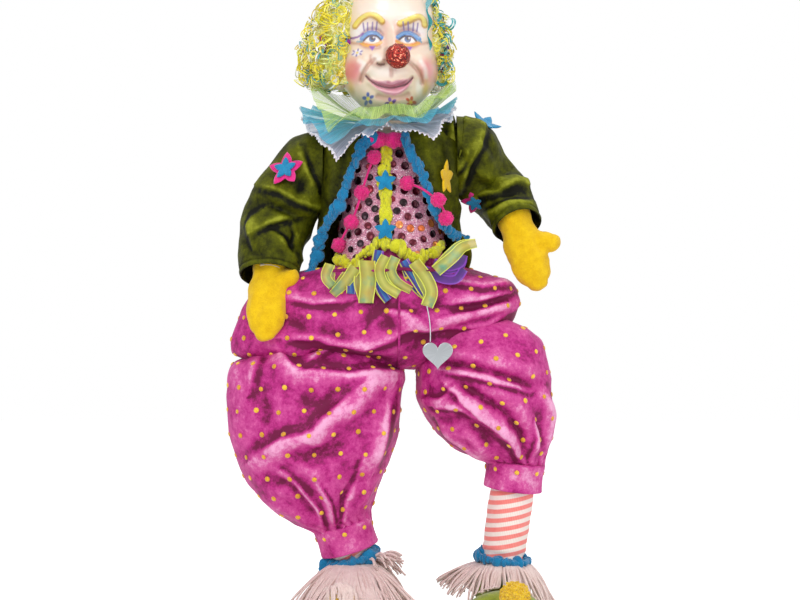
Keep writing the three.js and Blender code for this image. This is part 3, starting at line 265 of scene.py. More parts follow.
def ball_shape(rings=6, sides=9, squash=1.0):
    """A unit ball from rings between its poles."""
    t = np.linspace(0, math.pi, rings + 1)[1:-1]
    a = np.linspace(0, 2 * math.pi, sides, endpoint=False)
    body = np.stack([np.sin(t)[:, None] * np.cos(a), np.sin(t)[:, None] * np.sin(a),
                     np.cos(t)[:, None] * np.ones(sides) * squash], -1).reshape(-1, 3)
    points = np.concatenate([body, [[0, 0, squash], [0, 0, -squash]]])
    top, bottom = len(body), len(body) + 1
    j = np.arange(sides)
    k = (j + 1) % sides
    last = len(body) - sides
    caps = np.concatenate([np.stack([np.full(sides, top), j, k], 1),
                           np.stack([np.full(sides, bottom), last + k, last + j], 1)])
    return points, [grid_faces(rings - 1, sides, True)[:, ::-1], caps]


def modifier(piece, kind, **settings):
    """Adds a modifier with its settings. Levels are the same in the view and in the render."""
    added = piece.modifiers.new(kind.title(), kind)
    for key, value in settings.items():
        setattr(added, key, value)
    return added


def worn(piece, body, material, slot, *nodes):
    """A finished piece: what it rides on, its finish, and the solids it stands for. A piece that
    bends between two bodies gets no body here."""
    piece.data.materials.clear()
    piece.data.materials.append(material)
    if body:
        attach(piece, body)
    if nodes:
        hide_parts(*nodes)
    print(f"{piece.name}: {len(piece.data.polygons)} faces on {body or 'two bodies'}")
    return piece

# %% [markdown]
# ## Finishes
#
# The doll is nearly all cloth, and each cloth is told apart by how it takes the light. Panne velvet
# flashes pale on each ridge and goes nearly black in each fold, which is painted into its colour here
# as highlight and shade, felt is dull and furry, satin ribbon shines, and net lets the layer below
# show. One function adds a node with its settings and links.

# %% One node at a time
def add(tree, kind, settings=None, inputs=None):
    """Adds one node. An input is given by name or number, as a value, a node or one of its outputs."""
    made = tree.nodes.new("ShaderNode" + kind)
    for key, value in (settings or {}).items():
        setattr(made, key, value)
    for key, value in (inputs or {}).items():
        if isinstance(value, bpy.types.Node):
            value = value.outputs[0]
        if isinstance(value, bpy.types.NodeSocket):
            tree.links.new(value, made.inputs[key])
        else:
            made.inputs[key].default_value = value
    return made


def start(name, **sockets):
    """A new material with its shader, whose plain values are set on its own sockets."""
    material = bpy.data.materials.new(name)
    material.use_nodes = True
    tree = material.node_tree
    shader = tree.nodes["Principled BSDF"]
    for key, value in sockets.items():
        shader.inputs[key.replace("_", " ")].default_value = value
    place = add(tree, "TexCoord")
    return material, tree, shader, place.outputs["Object"]


def per_mm(size):
    """A texture scale whose pattern repeats each size mm, on coordinates in metres."""
    return 1000 / size


def blend_colours(tree, factor, a, b):
    """Mixes two colours, each a value or a link."""
    return add(tree, "Mix", {"data_type": "RGBA"}, {0: factor, 6: a, 7: b}).outputs[2]


def maths(tree, operation, *values, clamp=False):
    """One sum on numbers or links."""
    return add(tree, "Math", {"operation": operation, "use_clamp": clamp}, dict(enumerate(values))).outputs[0]


def raise_surface(tree, shader, height, depth_mm, strength=1.0):
    """Lifts the shading by a height from 0 to 1 that stands for depth_mm."""
    lift = add(tree, "Bump", None, {"Height": height, "Distance": depth_mm / 1000, "Strength": strength})
    tree.links.new(lift.outputs[0], shader.inputs["Normal"])


# %% [markdown]
# ### Velvet
#
# Each vertex of a velvet piece carries a number for its folds, 0 deep in a fold and 1 on a ridge, and
# the colour paints light and shade from it: painted shade in the folds, painted highlight on the ridges.
# The pile leans this way and that in patches about 24 mm across, so noise of that size shifts the
# colour too, and a 0.9 mm grain stands for the pile itself, which is finer than that on the real cloth.

# %% Velvets
LEAN_PATCH, CRUSH_PATCH, PILE = 24, 6, 0.9


def velvet(name, deep, body, bright, highlight, dark_at=0.1, light_at=0.97, sheen=0.25, shine=0.25, mottle=0.6):
    """Colour by fold and lean: painted shade in the folds, body to bright on the slopes, and a painted
    highlight on the ridges, where the pile flashes. Crushed pile breaks each of them up in patches of about 6
    mm."""
    material, tree, shader, place = start(name, Roughness=0.62, Specular_IOR_Level=shine,
                                          Sheen_Weight=sheen, Sheen_Roughness=0.3,
                                          Sheen_Tint=linear(highlight))
    fold_shade = add(tree, "Attribute", {"attribute_name": "fold_shade"}).outputs["Fac"]
    lean = add(tree, "TexNoise", None,
               {"Vector": place, "Scale": per_mm(LEAN_PATCH), "Detail": 7.0, "Roughness": 0.72})
    brushed = maths(tree, "MULTIPLY_ADD", lean.outputs[0], 1.15, -0.575)
    crushed = add(tree, "TexNoise", None,
                  {"Vector": place, "Scale": per_mm(CRUSH_PATCH), "Detail": 6.0, "Roughness": 0.8})
    patches = maths(tree, "MULTIPLY_ADD", crushed.outputs[0], mottle, -mottle / 2)
    calm = maths(tree, "MULTIPLY_ADD", fold_shade, 0.82, 0.08)
    tone = maths(tree, "ADD", maths(tree, "ADD", calm, brushed), patches, clamp=True)
    ramp = add(tree, "ValToRGB", None, {0: tone})
    ends = ramp.color_ramp.elements
    ends[0].position, ends[0].color = dark_at, linear(deep)
    ends[1].position, ends[1].color = light_at, linear(highlight)
    ends.new(mix(dark_at, light_at, 0.3)).color = linear(body)
    ends.new(mix(dark_at, light_at, 0.62)).color = linear(bright)
    tree.links.new(ramp.outputs[0], shader.inputs["Base Color"])
    pile = add(tree, "TexNoise", None, {"Vector": place, "Scale": per_mm(PILE), "Detail": 2.0})
    raise_surface(tree, shader, pile.outputs[0], 0.3, 0.5)
    return material


# Each velvet's colours run from painted shade, the first, to painted highlight, the last.
magenta_velvet = velvet("magenta_panne_velvet", "700c40", "bc2882", "d8559f", "f8b0d8")
olive_velvet = velvet("olive_panne_velvet", "080900", "3c3f02", "5e6206", "969a2c", dark_at=0.14,
                      light_at=1.0, sheen=0.05, shine=0.12, mottle=0.4)


# %% [markdown]
# ### Felt, yarn and jersey
#
# Felt is matted wool: dull, with short fibres that catch the light at the edges. It gets a cloudy
# colour, a fine rough surface and a little sheen. Bobbled braid and pompoms are the same dyed wool in
# looser form.

# %% Felts and yarns
def wool(name, shade, light, fibre=0.8, cloud=6.0, depth=0.4, rough=0.9, sheen=0.45):
    """Two shades of one dye in clouds, with fibres of the given size in mm."""
    material, tree, shader, place = start(name, Roughness=rough, Specular_IOR_Level=0.2,
                                          Sheen_Weight=sheen, Sheen_Roughness=0.5)
    clouds = add(tree, "TexNoise", None, {"Vector": place, "Scale": per_mm(cloud), "Detail": 4.0})
    fibres = add(tree, "TexNoise", None,
                 {"Vector": place, "Scale": per_mm(fibre), "Detail": 3.0, "Distortion": 1.2})
    both = maths(tree, "MULTIPLY_ADD", fibres.outputs[0], 0.6,
                 maths(tree, "MULTIPLY", clouds.outputs[0], 0.5))
    spread = add(tree, "MapRange", None, {0: both, 1: 0.35, 2: 0.75})
    tree.links.new(blend_colours(tree, spread.outputs[0], linear(shade), linear(light)),
                   shader.inputs["Base Color"])
    raise_surface(tree, shader, fibres.outputs[0], depth, 0.7)
    return material


yellow_felt = wool("yellow_wool_felt", "dca800", "fcd418", sheen=0.2)
blue_felt = wool("blue_wool_felt", "0a6a9c", "1e9ccc")
pink_felt = wool("hot_pink_wool_felt", "d00a72", "ff3a9c")
blue_bobbles = wool("blue_bobbled_braid", "086494", "1c92c8", fibre=1.2, depth=0.8)
lime_bobbles = wool("lime_bobbled_braid", "c8c80c", "f4f23c", fibre=1.2, depth=0.8)
pink_yarn = wool("hot_pink_pompom_yarn", "c80868", "ff2f94", fibre=1.4, depth=1.0)
yellow_yarn = wool("yellow_pompom_yarn", "d8a406", "ffdf3c", fibre=1.4, depth=1.0)
green_felt = wool("olive_green_shoe_felt", "6e7e12", "a4b42c")
muslin = wool("unbleached_muslin", "d2c4ac", "efe4d0", fibre=0.9, cloud=20, depth=0.15, sheen=0.1)
fringe_yarn = wool("dusty_pink_fringe_yarn", "dcbcb6", "fbe8e2", fibre=1.0, cloud=9, depth=0.4)


# %% [markdown]
# The stockings are ribbed jersey in stripes of coral and white, one pair of stripes each 7.9 mm down
# the leg. The map on the piece runs down the cloth in metres, so the stripes bend with it.

# %% Striped jersey
def striped_jersey():
    """Stripes from a sine of the distance down the leg, sharpened, with 1.6 mm ribs along it."""
    material, tree, shader, place = start("coral_striped_jersey", Roughness=0.8, Sheen_Weight=0.25,
                                          Specular_IOR_Level=0.25)
    cloth = add(tree, "UVMap", {"uv_map": "cloth"})
    axes = add(tree, "SeparateXYZ", None, {0: cloth})
    sideways = add(tree, "SeparateXYZ", None, {0: place}).outputs[0]
    run = maths(tree, "MULTIPLY_ADD", sideways, 0.3, axes.outputs[1])
    down = maths(tree, "SINE", maths(tree, "MULTIPLY", run, 2 * math.pi * per_mm(7.9)))
    ribs = maths(tree, "SINE", maths(tree, "MULTIPLY", axes.outputs[0], 2 * math.pi * per_mm(1.6)))
    edge = add(tree, "MapRange", None, {0: down, 1: -0.25, 2: 0.25})
    fuzz = add(tree, "TexNoise", None, {"Vector": place, "Scale": per_mm(5), "Detail": 3.0})
    coral = blend_colours(tree, fuzz.outputs[0], linear("ff7f7a"), linear("ff9d95"))
    tree.links.new(blend_colours(tree, edge.outputs[0], coral, linear("fff0e8")), shader.inputs["Base Color"])
    raise_surface(tree, shader, maths(tree, "MULTIPLY_ADD", ribs, 0.5, 0.5), 0.25, 0.6)
    return material


coral_jersey = striped_jersey()


# %% [markdown]
# ### Glitter, sequins and resin
#
# Glitter is thousands of foil flakes, each a small mirror turned its own way. Voronoi cells stand for
# the flakes: each cell gets a dark, body or pale colour, painted reflections of mirrors turned away from
# or towards the light, and its edge lifts the shading so that it flashes.

# %% Glitter and gloss
def flakes(tree, place, size):
    """Cells of a size in mm, as (a random grey for each cell, the distance to its middle)."""
    cells = add(tree, "TexVoronoi", None, {"Vector": place, "Scale": per_mm(size), "Randomness": 1.0})
    grey = add(tree, "SeparateColor", None, {0: cells.outputs["Color"]})
    return grey.outputs[0], cells.outputs["Distance"]


def glitter(name, dark, body, glint, size, metal=0.5):
    """Dark, body and glint colours dealt out to the flakes, most of them the body colour. The dark and pale
    flakes are painted reflections.
    """
    material, tree, shader, place = start(name, Roughness=0.32, Metallic=metal, Specular_IOR_Level=0.6)
    shade, distance = flakes(tree, place, size)
    ramp = add(tree, "ValToRGB", {}, {0: shade})
    ramp.color_ramp.interpolation = "CONSTANT"
    ends = ramp.color_ramp.elements
    ends[0].color = linear(dark)
    ends[1].position, ends[1].color = 0.9, linear(glint)
    ends.new(0.3).color = linear(body)
    tree.links.new(ramp.outputs[0], shader.inputs["Base Color"])
    raise_surface(tree, shader, maths(tree, "ADD", shade, distance), size * 0.5, 0.8)
    return material


# The last colour of each glitter is a painted glint.
red_glitter = glitter("coarse_red_glitter", "5a0c08", "a82418", "ff9a7a", 1.1)
pink_glitter_cloth = glitter("pink_glitter_cloth", "b4688a", "dc98ae", "ffeaf4", 0.8, 0.2)


def dealt(name, colours, rough, metal=0.0, coat=0.0, sheen=0.0):
    """Colours dealt to the small pieces of a mesh by its tone, a number from 0 to 1 for each."""
    material, tree, shader, place = start(name, Roughness=rough, Metallic=metal, Coat_Weight=coat,
                                          Sheen_Weight=sheen)
    tone = add(tree, "Attribute", {"attribute_name": "tone"}).outputs["Fac"]
    ramp = add(tree, "ValToRGB", None, {0: tone})
    ramp.color_ramp.interpolation = "CONSTANT"
    ends = ramp.color_ramp.elements
    ends[0].color = linear(colours[0])
    ends[1].position, ends[1].color = 1 - 1 / len(colours), linear(colours[-1])
    for k, colour in enumerate(colours[1:-1], 1):
        ends.new(k / len(colours)).color = linear(colour)
    fine = add(tree, "TexNoise", None, {"Vector": place, "Scale": per_mm(2.5), "Detail": 2.0})
    shaded = add(tree, "HueSaturation", None, {
        "Value": maths(tree, "MULTIPLY_ADD", fine.outputs[0], 0.5, 0.75), "Color": ramp.outputs[0]})
    tree.links.new(shaded.outputs[0], shader.inputs["Base Color"])
    raise_surface(tree, shader, fine.outputs[0], 0.1, 0.4)
    return material


sequin_foil = dealt("maroon_and_copper_sequins", ["2a0a16", "1c060e", "3c0c1c", "240a18", "5c0f22", "30081a",
                                                "7c1428", "c0602c", "e08a4c"], 0.2, 0.55)
gold_thread = dealt("gold_embroidery_thread", ["e0a81c", "f0c030", "d89a14"], 0.5, 0.15, sheen=0.4)


# %% [markdown]
# ### Net, lace and ribbon
#
# Net is mostly holes. Its threads are far finer than a pixel, so the map is drawn at 1.3 mm, as coarse
# as it needs to be to show, and the rest of the cloth is thinly there. Organza ribbon is the same idea,
# woven closer and shinier.

# %% See-through cloths
def net(name, colour, light, least=0.3, most=0.85, rough=0.55, sheen=0.3):
    """Fine creases run from the neck to the edge, and the net is closer where it creases: noise drawn
    out along the cloth, with a 1.3 mm mesh of two sines over it, gives how much of it is there. Where
    the number named edge is 1 it is a white frill."""
    material, tree, shader, place = start(name, Roughness=rough, Sheen_Weight=sheen)
    cloth = add(tree, "UVMap", {"uv_map": "cloth"})
    creased = add(tree, "Mapping", None, {"Vector": cloth, "Scale": (per_mm(2.4), per_mm(45), 1)})
    crease = add(tree, "TexNoise", None, {"Vector": creased, "Scale": 1.0, "Detail": 4.0}).outputs[0]
    axes = add(tree, "SeparateXYZ", None, {0: cloth})
    threads = [maths(tree, "SINE", maths(tree, "MULTIPLY", axes.outputs[k], 2 * math.pi * per_mm(1.3)))
               for k in (0, 1)]
    thread = maths(tree, "MULTIPLY", maths(tree, "MAXIMUM", *threads), 0.16)
    there = add(tree, "MapRange", None,
                {0: maths(tree, "ADD", crease, thread), 1: 0.32, 2: 0.82, 3: least, 4: most})
    edge = add(tree, "Attribute", {"attribute_name": "edge"}).outputs["Fac"]
    solid = maths(tree, "MAXIMUM", there.outputs[0], maths(tree, "MULTIPLY", edge, 0.92))
    tree.links.new(solid, shader.inputs["Alpha"])
    dyed = blend_colours(tree, crease, linear(colour), linear(light))
    tree.links.new(blend_colours(tree, edge, dyed, linear("fbf4fa")), shader.inputs["Base Color"])
    return material


green_net = net("yellow_green_net", "8cbc30", "d0e880", 0.2, 0.78)
turquoise_net = net("turquoise_net", "1098c8", "54cce8", 0.4, 0.92)
white_sheer = net("white_silver_sheer", "b8b4cc", "f0ecf8", 0.5, 0.92)


def woven_ribbon(name, bands, tint_a, tint_b, clear, rough=0.34):
    """Bands of colour by the number named across, from one edge to the other, with two tints in
    clouds along the ribbon. The middle is as clear as given and the wired edges are solid."""
    material, tree, shader, place = start(name, Roughness=rough, Sheen_Weight=0.4, Specular_IOR_Level=0.5)
    across = add(tree, "Attribute", {"attribute_name": "across"}).outputs["Fac"]
    ramp = add(tree, "ValToRGB", None, {0: across})
    ends = ramp.color_ramp.elements
    ends[0].position, ends[0].color = bands[0][0], linear(bands[0][1])
    ends[1].position, ends[1].color = bands[-1][0], linear(bands[-1][1])
    for at, colour in bands[1:-1]:
        ends.new(at).color = linear(colour)
    clouds = [add(tree, "TexNoise", None, {"Vector": place, "Scale": per_mm(size), "Detail": 2.0})
              for size in (11, 16)]
    share = [add(tree, "MapRange", None, {0: cloud.outputs[0], 1: 0.5, 2: 0.75, 3: 0.0, 4: 0.75})
             for cloud in clouds]
    edge = add(tree, "MapRange", None, {0: maths(tree, "ABSOLUTE", maths(tree, "SUBTRACT", across, 0.5)),
                                        1: 0.42, 2: 0.46, 3: 0.0, 4: 1.0}).outputs[0]
    colour = blend_colours(tree, share[0].outputs[0], ramp.outputs[0], linear(tint_a))
    colour = blend_colours(tree, share[1].outputs[0], colour, linear(tint_b))
    tree.links.new(blend_colours(tree, edge, colour, ramp.outputs[0]), shader.inputs["Base Color"])
    tree.links.new(maths(tree, "MULTIPLY_ADD", edge, 1 - clear, clear), shader.inputs["Alpha"])
    return material


lime_organza = woven_ribbon("lime_organza_ribbon", [
    (0, "e2e65c"), (0.06, "d4d840"), (0.11, "a4a83c"), (0.5, "dcdc6c"), (0.89, "a4a83c"),
    (0.94, "d4d840"), (1, "e2e65c")], "48b098", "d0a838", 0.66)
striped_ribbon = woven_ribbon("violet_blue_white_ribbon", [
    (0, "7a28b0"), (0.14, "7a28b0"), (0.19, "c8b8e0"), (0.24, "1c4c9c"), (0.5, "3068b8"), (0.62, "2c88b0"),
    (0.7, "48148c"), (0.88, "2a2c84"), (0.93, "dcd84c"), (1, "dcd84c")], "1c8ca4", "3c2490", 0.92)
purple_ribbon = woven_ribbon("purple_satin_ribbon", [
    (0, "8434b8"), (0.1, "8434b8"), (0.2, "3c0f64"), (0.8, "521a84"), (0.92, "8434b8"),
    (1, "8434b8")], "2a2478", "6c1c90", 0.97)


def satin(name, dark, light, rough=0.28, metal=0.1):
    """Close satin: two shades along fine 0.9 mm threads, and a soft broad shine."""
    material, tree, shader, place = start(name, Roughness=rough, Metallic=metal, Sheen_Weight=0.2,
                                          Specular_IOR_Level=0.6)
    cloth = add(tree, "UVMap", {"uv_map": "cloth"})
    stretched = add(tree, "Mapping", None, {"Vector": cloth, "Scale": (per_mm(0.9), per_mm(14), 1)})
    threads = add(tree, "TexNoise", None, {"Vector": stretched, "Scale": 1.0, "Detail": 2.0})
    tree.links.new(blend_colours(tree, threads.outputs[0], linear(dark), linear(light)),
                   shader.inputs["Base Color"])
    raise_surface(tree, shader, threads.outputs[0], 0.08, 0.5)
    return material


galvanised_wire = satin("galvanised_steel_wire", "7c8286", "b4babe", 0.4, 0.9)
silver_thread = satin("silver_metallic_thread", "9aa0a8", "e4e8ec", 0.3, 0.7)
silver_foil = satin("brushed_silver_foil_card", "8c9094", "bcc0c4", 0.3, 0.75)

# %% [markdown]
# ## Where cloth folds
#
# A fold in cloth is a long soft ridge with a hollow beside it, and it starts where the cloth is held: at
# a gather, a seam or the crook of a joint. Each garment below has a short list of its folds, as lines
# across and up on the doll's front, each with a width and a height in millimetres, negative for a
# crease. The surface is moved along its own normal by the sum of them. The back, which has no
# photograph, gets folds of the same kind from noise. What was moved up or down is kept as a number for
# each vertex, from which the velvet paints shade into the hollows and highlight onto the ridges.

# %% Folds
def distance_to(line, x, z):
    """The distance of each point to the nearest of a line's segments, all in the front's plane."""
    line = np.asarray(line, float)
    best = np.full(np.shape(x), 1e9)
    for (ax, az), (bx, bz) in zip(line[:-1], line[1:]):
        t = np.clip(((x - ax) * (bx - ax) + (z - az) * (bz - az))
                    / max((bx - ax) ** 2 + (bz - az) ** 2, 1e-9), 0, 1)
        best = np.minimum(best, np.hypot(x - ax - t * (bx - ax), z - az - t * (bz - az)))
    return best


def ends_of(line, x, z, fade=14.0):
    """1 along a fold and falling towards 0.35 at its two ends, where a fold runs out."""
    first, last = (np.hypot(x - line[k][0], z - line[k][1]) for k in (0, -1))
    return 0.35 + 0.65 * smoothstep(0, fade, np.minimum(first, last))


def folds(grid, normals, lines, seed, rumple=1.0, size=26.0):
    """Heights in mm: each front fold is height * exp(-(distance / width)^2), and rumples are waves
    raised to sharp creases and round ridges, weaker where the front has its own folds."""
    x, z = grid[..., 0], grid[..., 2]
    front = smoothstep(0.35, -0.25, normals[..., 1])
    height = np.zeros(x.shape)
    for line, width, rise in lines:
        height += rise * np.exp(-(distance_to(line, x, z) / width) ** 2) * ends_of(line, x, z)
    noise = waves(grid * np.array([1.0, 1.0, 0.75]), size * 1.5, seed)
    fine = waves(grid, size * 0.7, seed + 1)
    rough = (0.5 - 1.5 * np.abs(noise)) * 2.6 + 0.5 * fine
    return height * front + rough * rumple * mix(1.0, 0.25, front)


# Millimetres a pixel, the pixel column over the doll's middle and the pixel row at the floor.
PIXEL = 0.88
PICTURE_MIDDLE, PICTURE_FLOOR = 390, 636
EYE = np.array([8.8, 295.7])
EYE_AWAY = 2030.0
FACE_SCALE = 0.9925


def on_front(pixels):
    """Pixels of the picture to millimetres across and up on the doll's middle plane."""
    pixels = np.asarray(pixels, float)
    return np.stack([(pixels[..., 0] - PICTURE_MIDDLE) * PIXEL, (PICTURE_FLOOR - pixels[..., 1]) * PIXEL], -1)


def laps(grid, normals, lines):
    """Where cloth laps over itself: a soft rise on the lit side of a line and a steep drop beyond it.
    Gives heights in mm, and painted light for the velvet: a painted highlight on the edge, and painted shade
    under it."""
    x, z = grid[..., 0], grid[..., 2]
    front = smoothstep(0.35, -0.25, normals[..., 1])
    height, tone = np.zeros(x.shape), np.zeros(x.shape)
    for pixels, width, rise, lit in lines:
        line = on_front(pixels)
        distance, side = np.full(x.shape, 1e9), np.zeros(x.shape)
        for (ax, az), (bx, bz) in zip(line[:-1], line[1:]):
            here = distance_to([(ax, az), (bx, bz)], x, z)
            cross = (bx - ax) * (z - az) - (bz - az) * (x - ax)
            side = np.where(here < distance, np.sign(cross), side)
            distance = np.minimum(distance, here)
        s = distance * side * lit
        fade = ends_of(line, x, z, 18)
        body = np.exp(-(s / np.where(s > 0, width, 0.3 * width)) ** 2)
        height += rise * body * fade
        # Painted highlight along the lapped edge and painted shade below it.
        tone += fade * (0.30 * bump(s, 1.2, 1.7) + 0.14 * bump(s, 0.5 * width, 0.6 * width)
                        - 0.62 * bump(s, -0.42 * width - 0.6, 0.36 * width))
    return height * front, tone * front


def fold_shade_tone(height, gain=0.045, middle=0.42):
    """From hollow to ridge as 0 to 1: the height above its own neighbourhood, through a soft limit. The
    velvet paints shade where it is low and highlight where it is high.
    """
    near = height
    for _ in range(40):
        near = (np.roll(near, 1, 1) + np.roll(near, -1, 1)
                + near[np.r_[0, 0:len(near) - 1]] + near[np.r_[1:len(near), -1]]) / 4
    return middle + 0.5 * np.tanh((height - near) * 0.26 + (height - height.mean()) * gain)


def store(piece, name, values):
    """Keeps one number for each vertex, padded with a middle value for the closing points."""
    layer = piece.data.attributes.new(name, "FLOAT", "POINT")
    out = np.full(len(piece.data.vertices), 0.4, np.float32)
    flat = np.asarray(values, np.float32).ravel()
    out[:len(flat)] = flat
    layer.data.foreach_set("value", out)


def sample(grid, rows, columns):
    """Points of a wrapped grid at fractional rows and columns, in straight lines between."""
    i = np.clip(np.floor(rows).astype(int), 0, len(grid) - 2)
    j = np.floor(columns).astype(int) % grid.shape[1]
    k = (j + 1) % grid.shape[1]
    f, g = (rows - i)[:, None], (columns - np.floor(columns))[:, None]
    return mix(mix(grid[i, j], grid[i, k], g), mix(grid[i + 1, j], grid[i + 1, k], g), f)


DOT_PITCH = 23.0
DOT_RADIUS = 2.3


def gold_dots(name, grid, normals, first=6.0, last=6.0, pitch=DOT_PITCH, seed=3):
    """Embroidered dots: rows a pitch * 0.87 apart down the cloth, each moved half a pitch from the
    one above, with as many dots as fit round. Each dot is a low dome of thread."""
    rng = np.random.default_rng(seed)
    down = np.concatenate([[0], np.cumsum(np.linalg.norm(np.diff(grid, axis=0), axis=-1).mean(1))])
    rows, columns = [], []
    for n, run in enumerate(np.arange(first, down[-1] - last, pitch * 0.87)):
        row = np.interp(run, down, np.arange(len(grid)))
        ring = grid[int(round(row))]
        step = np.linalg.norm(np.roll(ring, -1, 0) - ring, axis=1)
        count = max(int(round(step.sum() / pitch)), 3)
        at = (np.arange(count) + (n % 2) * 0.5) * step.sum() / count
        columns.append(np.interp(at % step.sum(), np.concatenate([[0], np.cumsum(step)]),
                                 np.arange(len(ring) + 1)))
        rows.append(np.full(count, row))
    rows, columns = np.concatenate(rows), np.concatenate(columns)
    rows = np.clip(rows + rng.uniform(-1, 1, len(rows)), 0, len(grid) - 1.01)
    centres, out = sample(grid, rows, columns), sample(normals, rows, columns)
    out /= np.linalg.norm(out, axis=1)[:, None]
    shape, faces = ball_shape(6, 10, 0.42)
    shape = shape * (1 + 0.08 * np.sin(5 * np.arctan2(shape[:, 1], shape[:, 0])))[:, None]
    piece = scatter(name, shape, faces, centres + out * 0.15, facing(out),
                    DOT_RADIUS * rng.uniform(0.88, 1.12, len(centres)))
    store(piece, "tone", np.repeat(rng.uniform(0, 1, len(centres)), len(shape)))
    return piece


# %% [markdown]
# ## Trousers
#
# Each balloon leg is one tube of panne velvet from under the seat to the cuff. Its outline comes from
# rows of points, each giving the left and right edge and the half depth. The last rows draw in like a
# purse, because the whole width of the leg is gathered into the cuff, so pleats grow towards them.

# %% Joints and trouser shapes
SHOULDER = {"right": (-68, 4, 418), "left": (66, 4, 427)}
ELBOW = {"right": (-101, 0, 372), "left": (94, 28, 397)}
WRIST = {"right": (-106, -26, 320), "left": (112, -14, 362)}
HIP = {"right": (-35, 0, 250), "left": (48, 0, 250)}
KNEE = {"right": (-60, -6, 155), "left": (114, -6, 165)}
ANKLE = {"right": (-32, 2, 60), "left": (100, 2, 60)}
SIDES = ("right", "left")
OUT = {"right": -1, "left": 1}
LEG_ROWS = {
    "right": [
        (-78, 262, -4, 262, 0, 34), (-104, 252, 0, 250, 0, 44), (-137, 240, 8, 236, 0, 56),
        (-143, 224, 9, 221, 0, 60), (-145, 206, 9, 205, 0, 61), (-144, 188, 8, 189, 0, 61),
        (-140, 169, 6, 172, 0, 59), (-134, 148, -1, 153, 0, 55), (-125, 128, -9, 134, -1, 49),
        (-108, 111, -14, 120, -1, 41), (-88, 98, -17, 110, -1, 33), (-68, 89, -17, 103.5, -1, 25.5),
        (-63, 82, -18, 96, -1, 23)],
    "left": [
        (34, 262, 88, 280, 0, 32), (26, 250, 112, 273, 0, 42), (24, 238, 133, 260, 0, 50),
        (24, 222, 140, 243, 0, 55), (24, 208, 143, 224, 0, 55), (31, 193, 144, 206, 0, 53),
        (41, 179, 143, 188, 0, 48), (58, 163, 141, 170, -1, 39), (84, 152, 138, 157, -2, 27),
        (88, 144, 137, 149, -2, 23)],
}
LEG_POWER = 2.1
LEG_LAPS = {
    "right": [
        ([(274, 345), (286, 360), (300, 371), (322, 371), (350, 374), (372, 371), (404, 374)], 11, 5.0, -1),
        ([(302, 369), (322, 352), (344, 343)], 5, 2.5, 1),
        ([(257, 456), (285, 437), (313, 430), (333, 410), (354, 389)], 12, 3.0, -1),
        ([(372, 469), (381, 437), (389, 389)], 9, 3.0, 1),
        ([(262, 352), (256, 372), (250, 392)], 7, 3.0, -1),
        ([(325, 532), (318, 508), (300, 484), (284, 470)], 6, 4.0, 1),
        ([(343, 525), (346, 500), (358, 480), (362, 460)], 5, 3.5, -1),
        ([(335, 528), (330, 500), (316, 476)], 4, 2.5, 1)],
    "left": [
        ([(446, 371), (476, 376), (506, 384), (530, 391)], 6, 4.0, 1),
        ([(437, 406), (459, 406), (487, 424), (513, 445), (523, 462)], 7, 4.0, 1),
        ([(446, 385), (480, 415), (508, 436), (519, 462)], 6, 3.0, 1),
        ([(426, 399), (439, 399), (450, 388)], 5, 3.0, -1),
        ([(545, 454), (552, 415), (545, 389)], 6, 2.5, 1),
        ([(436, 420), (450, 436), (470, 452), (490, 462)], 5, 3.5, 1),
        ([(529, 460), (534, 438), (532, 420)], 4, 2.5, -1)],
}
LEG_FOLDS = {
    "right": [
        ([(-110, 159), (-90, 172), (-66, 177), (-57, 190), (-31, 203), (-17, 221), (4, 229)], 9, 5.5),
        ([(-17, 148), (-9, 168), (2, 199), (4, 223)], 7, 4.0),
        ([(-143, 216), (-134, 232), (-121, 234)], 8, 4.0),
        ([(-132, 199), (-136, 179), (-128, 160)], 9, 3.0),
        ([(-118, 226), (-108, 203), (-112, 180)], 7, -3.5),
        ([(-84, 214), (-60, 206), (-40, 216)], 8, -3.0),
        ([(-75, 160), (-50, 166), (-30, 178)], 8, -3.5),
        ([(-57, 95), (-72, 117), (-84, 133), (-106, 141)], 4.5, -5.0),
        ([(-64, 92), (-86, 108), (-110, 120)], 5, 3.0),
        ([(-38, 106), (-40, 124), (-27, 137), (-24, 152)], 4, -5.0),
        ([(-48, 98), (-54, 125), (-66, 146), (-90, 158)], 6, 3.5),
        ([(-30, 108), (-20, 128), (-12, 146)], 5, 3.0),
        ([(-78, 142), (-52, 148), (-46, 130)], 7, 2.0)],
    "left": [
        ([(30, 262), (66, 266), (100, 274), (128, 262)], 8, 4.0),
        ([(33, 243), (70, 238), (98, 230), (129, 218)], 4.5, -5.5),
        ([(40, 250), (72, 247), (104, 240), (134, 230)], 7, 4.0),
        ([(118, 154), (114, 179), (99, 199), (68, 218), (52, 226)], 4, -5.0),
        ([(128, 156), (126, 180), (112, 204), (84, 226)], 7, 4.5),
        ([(48, 199), (72, 208), (98, 190), (108, 168)], 7, 4.0),
        ([(34, 214), (54, 212), (66, 202)], 5, -3.5),
        ([(40, 190), (62, 192), (80, 178), (94, 160)], 4.5, -4.5),
        ([(52, 180), (70, 176), (88, 158)], 5, 3.5),
        ([(136, 162), (142, 190), (136, 215)], 5, 3.0),
        ([(132, 160), (132, 180), (128, 198)], 3.5, -4.0)],
}


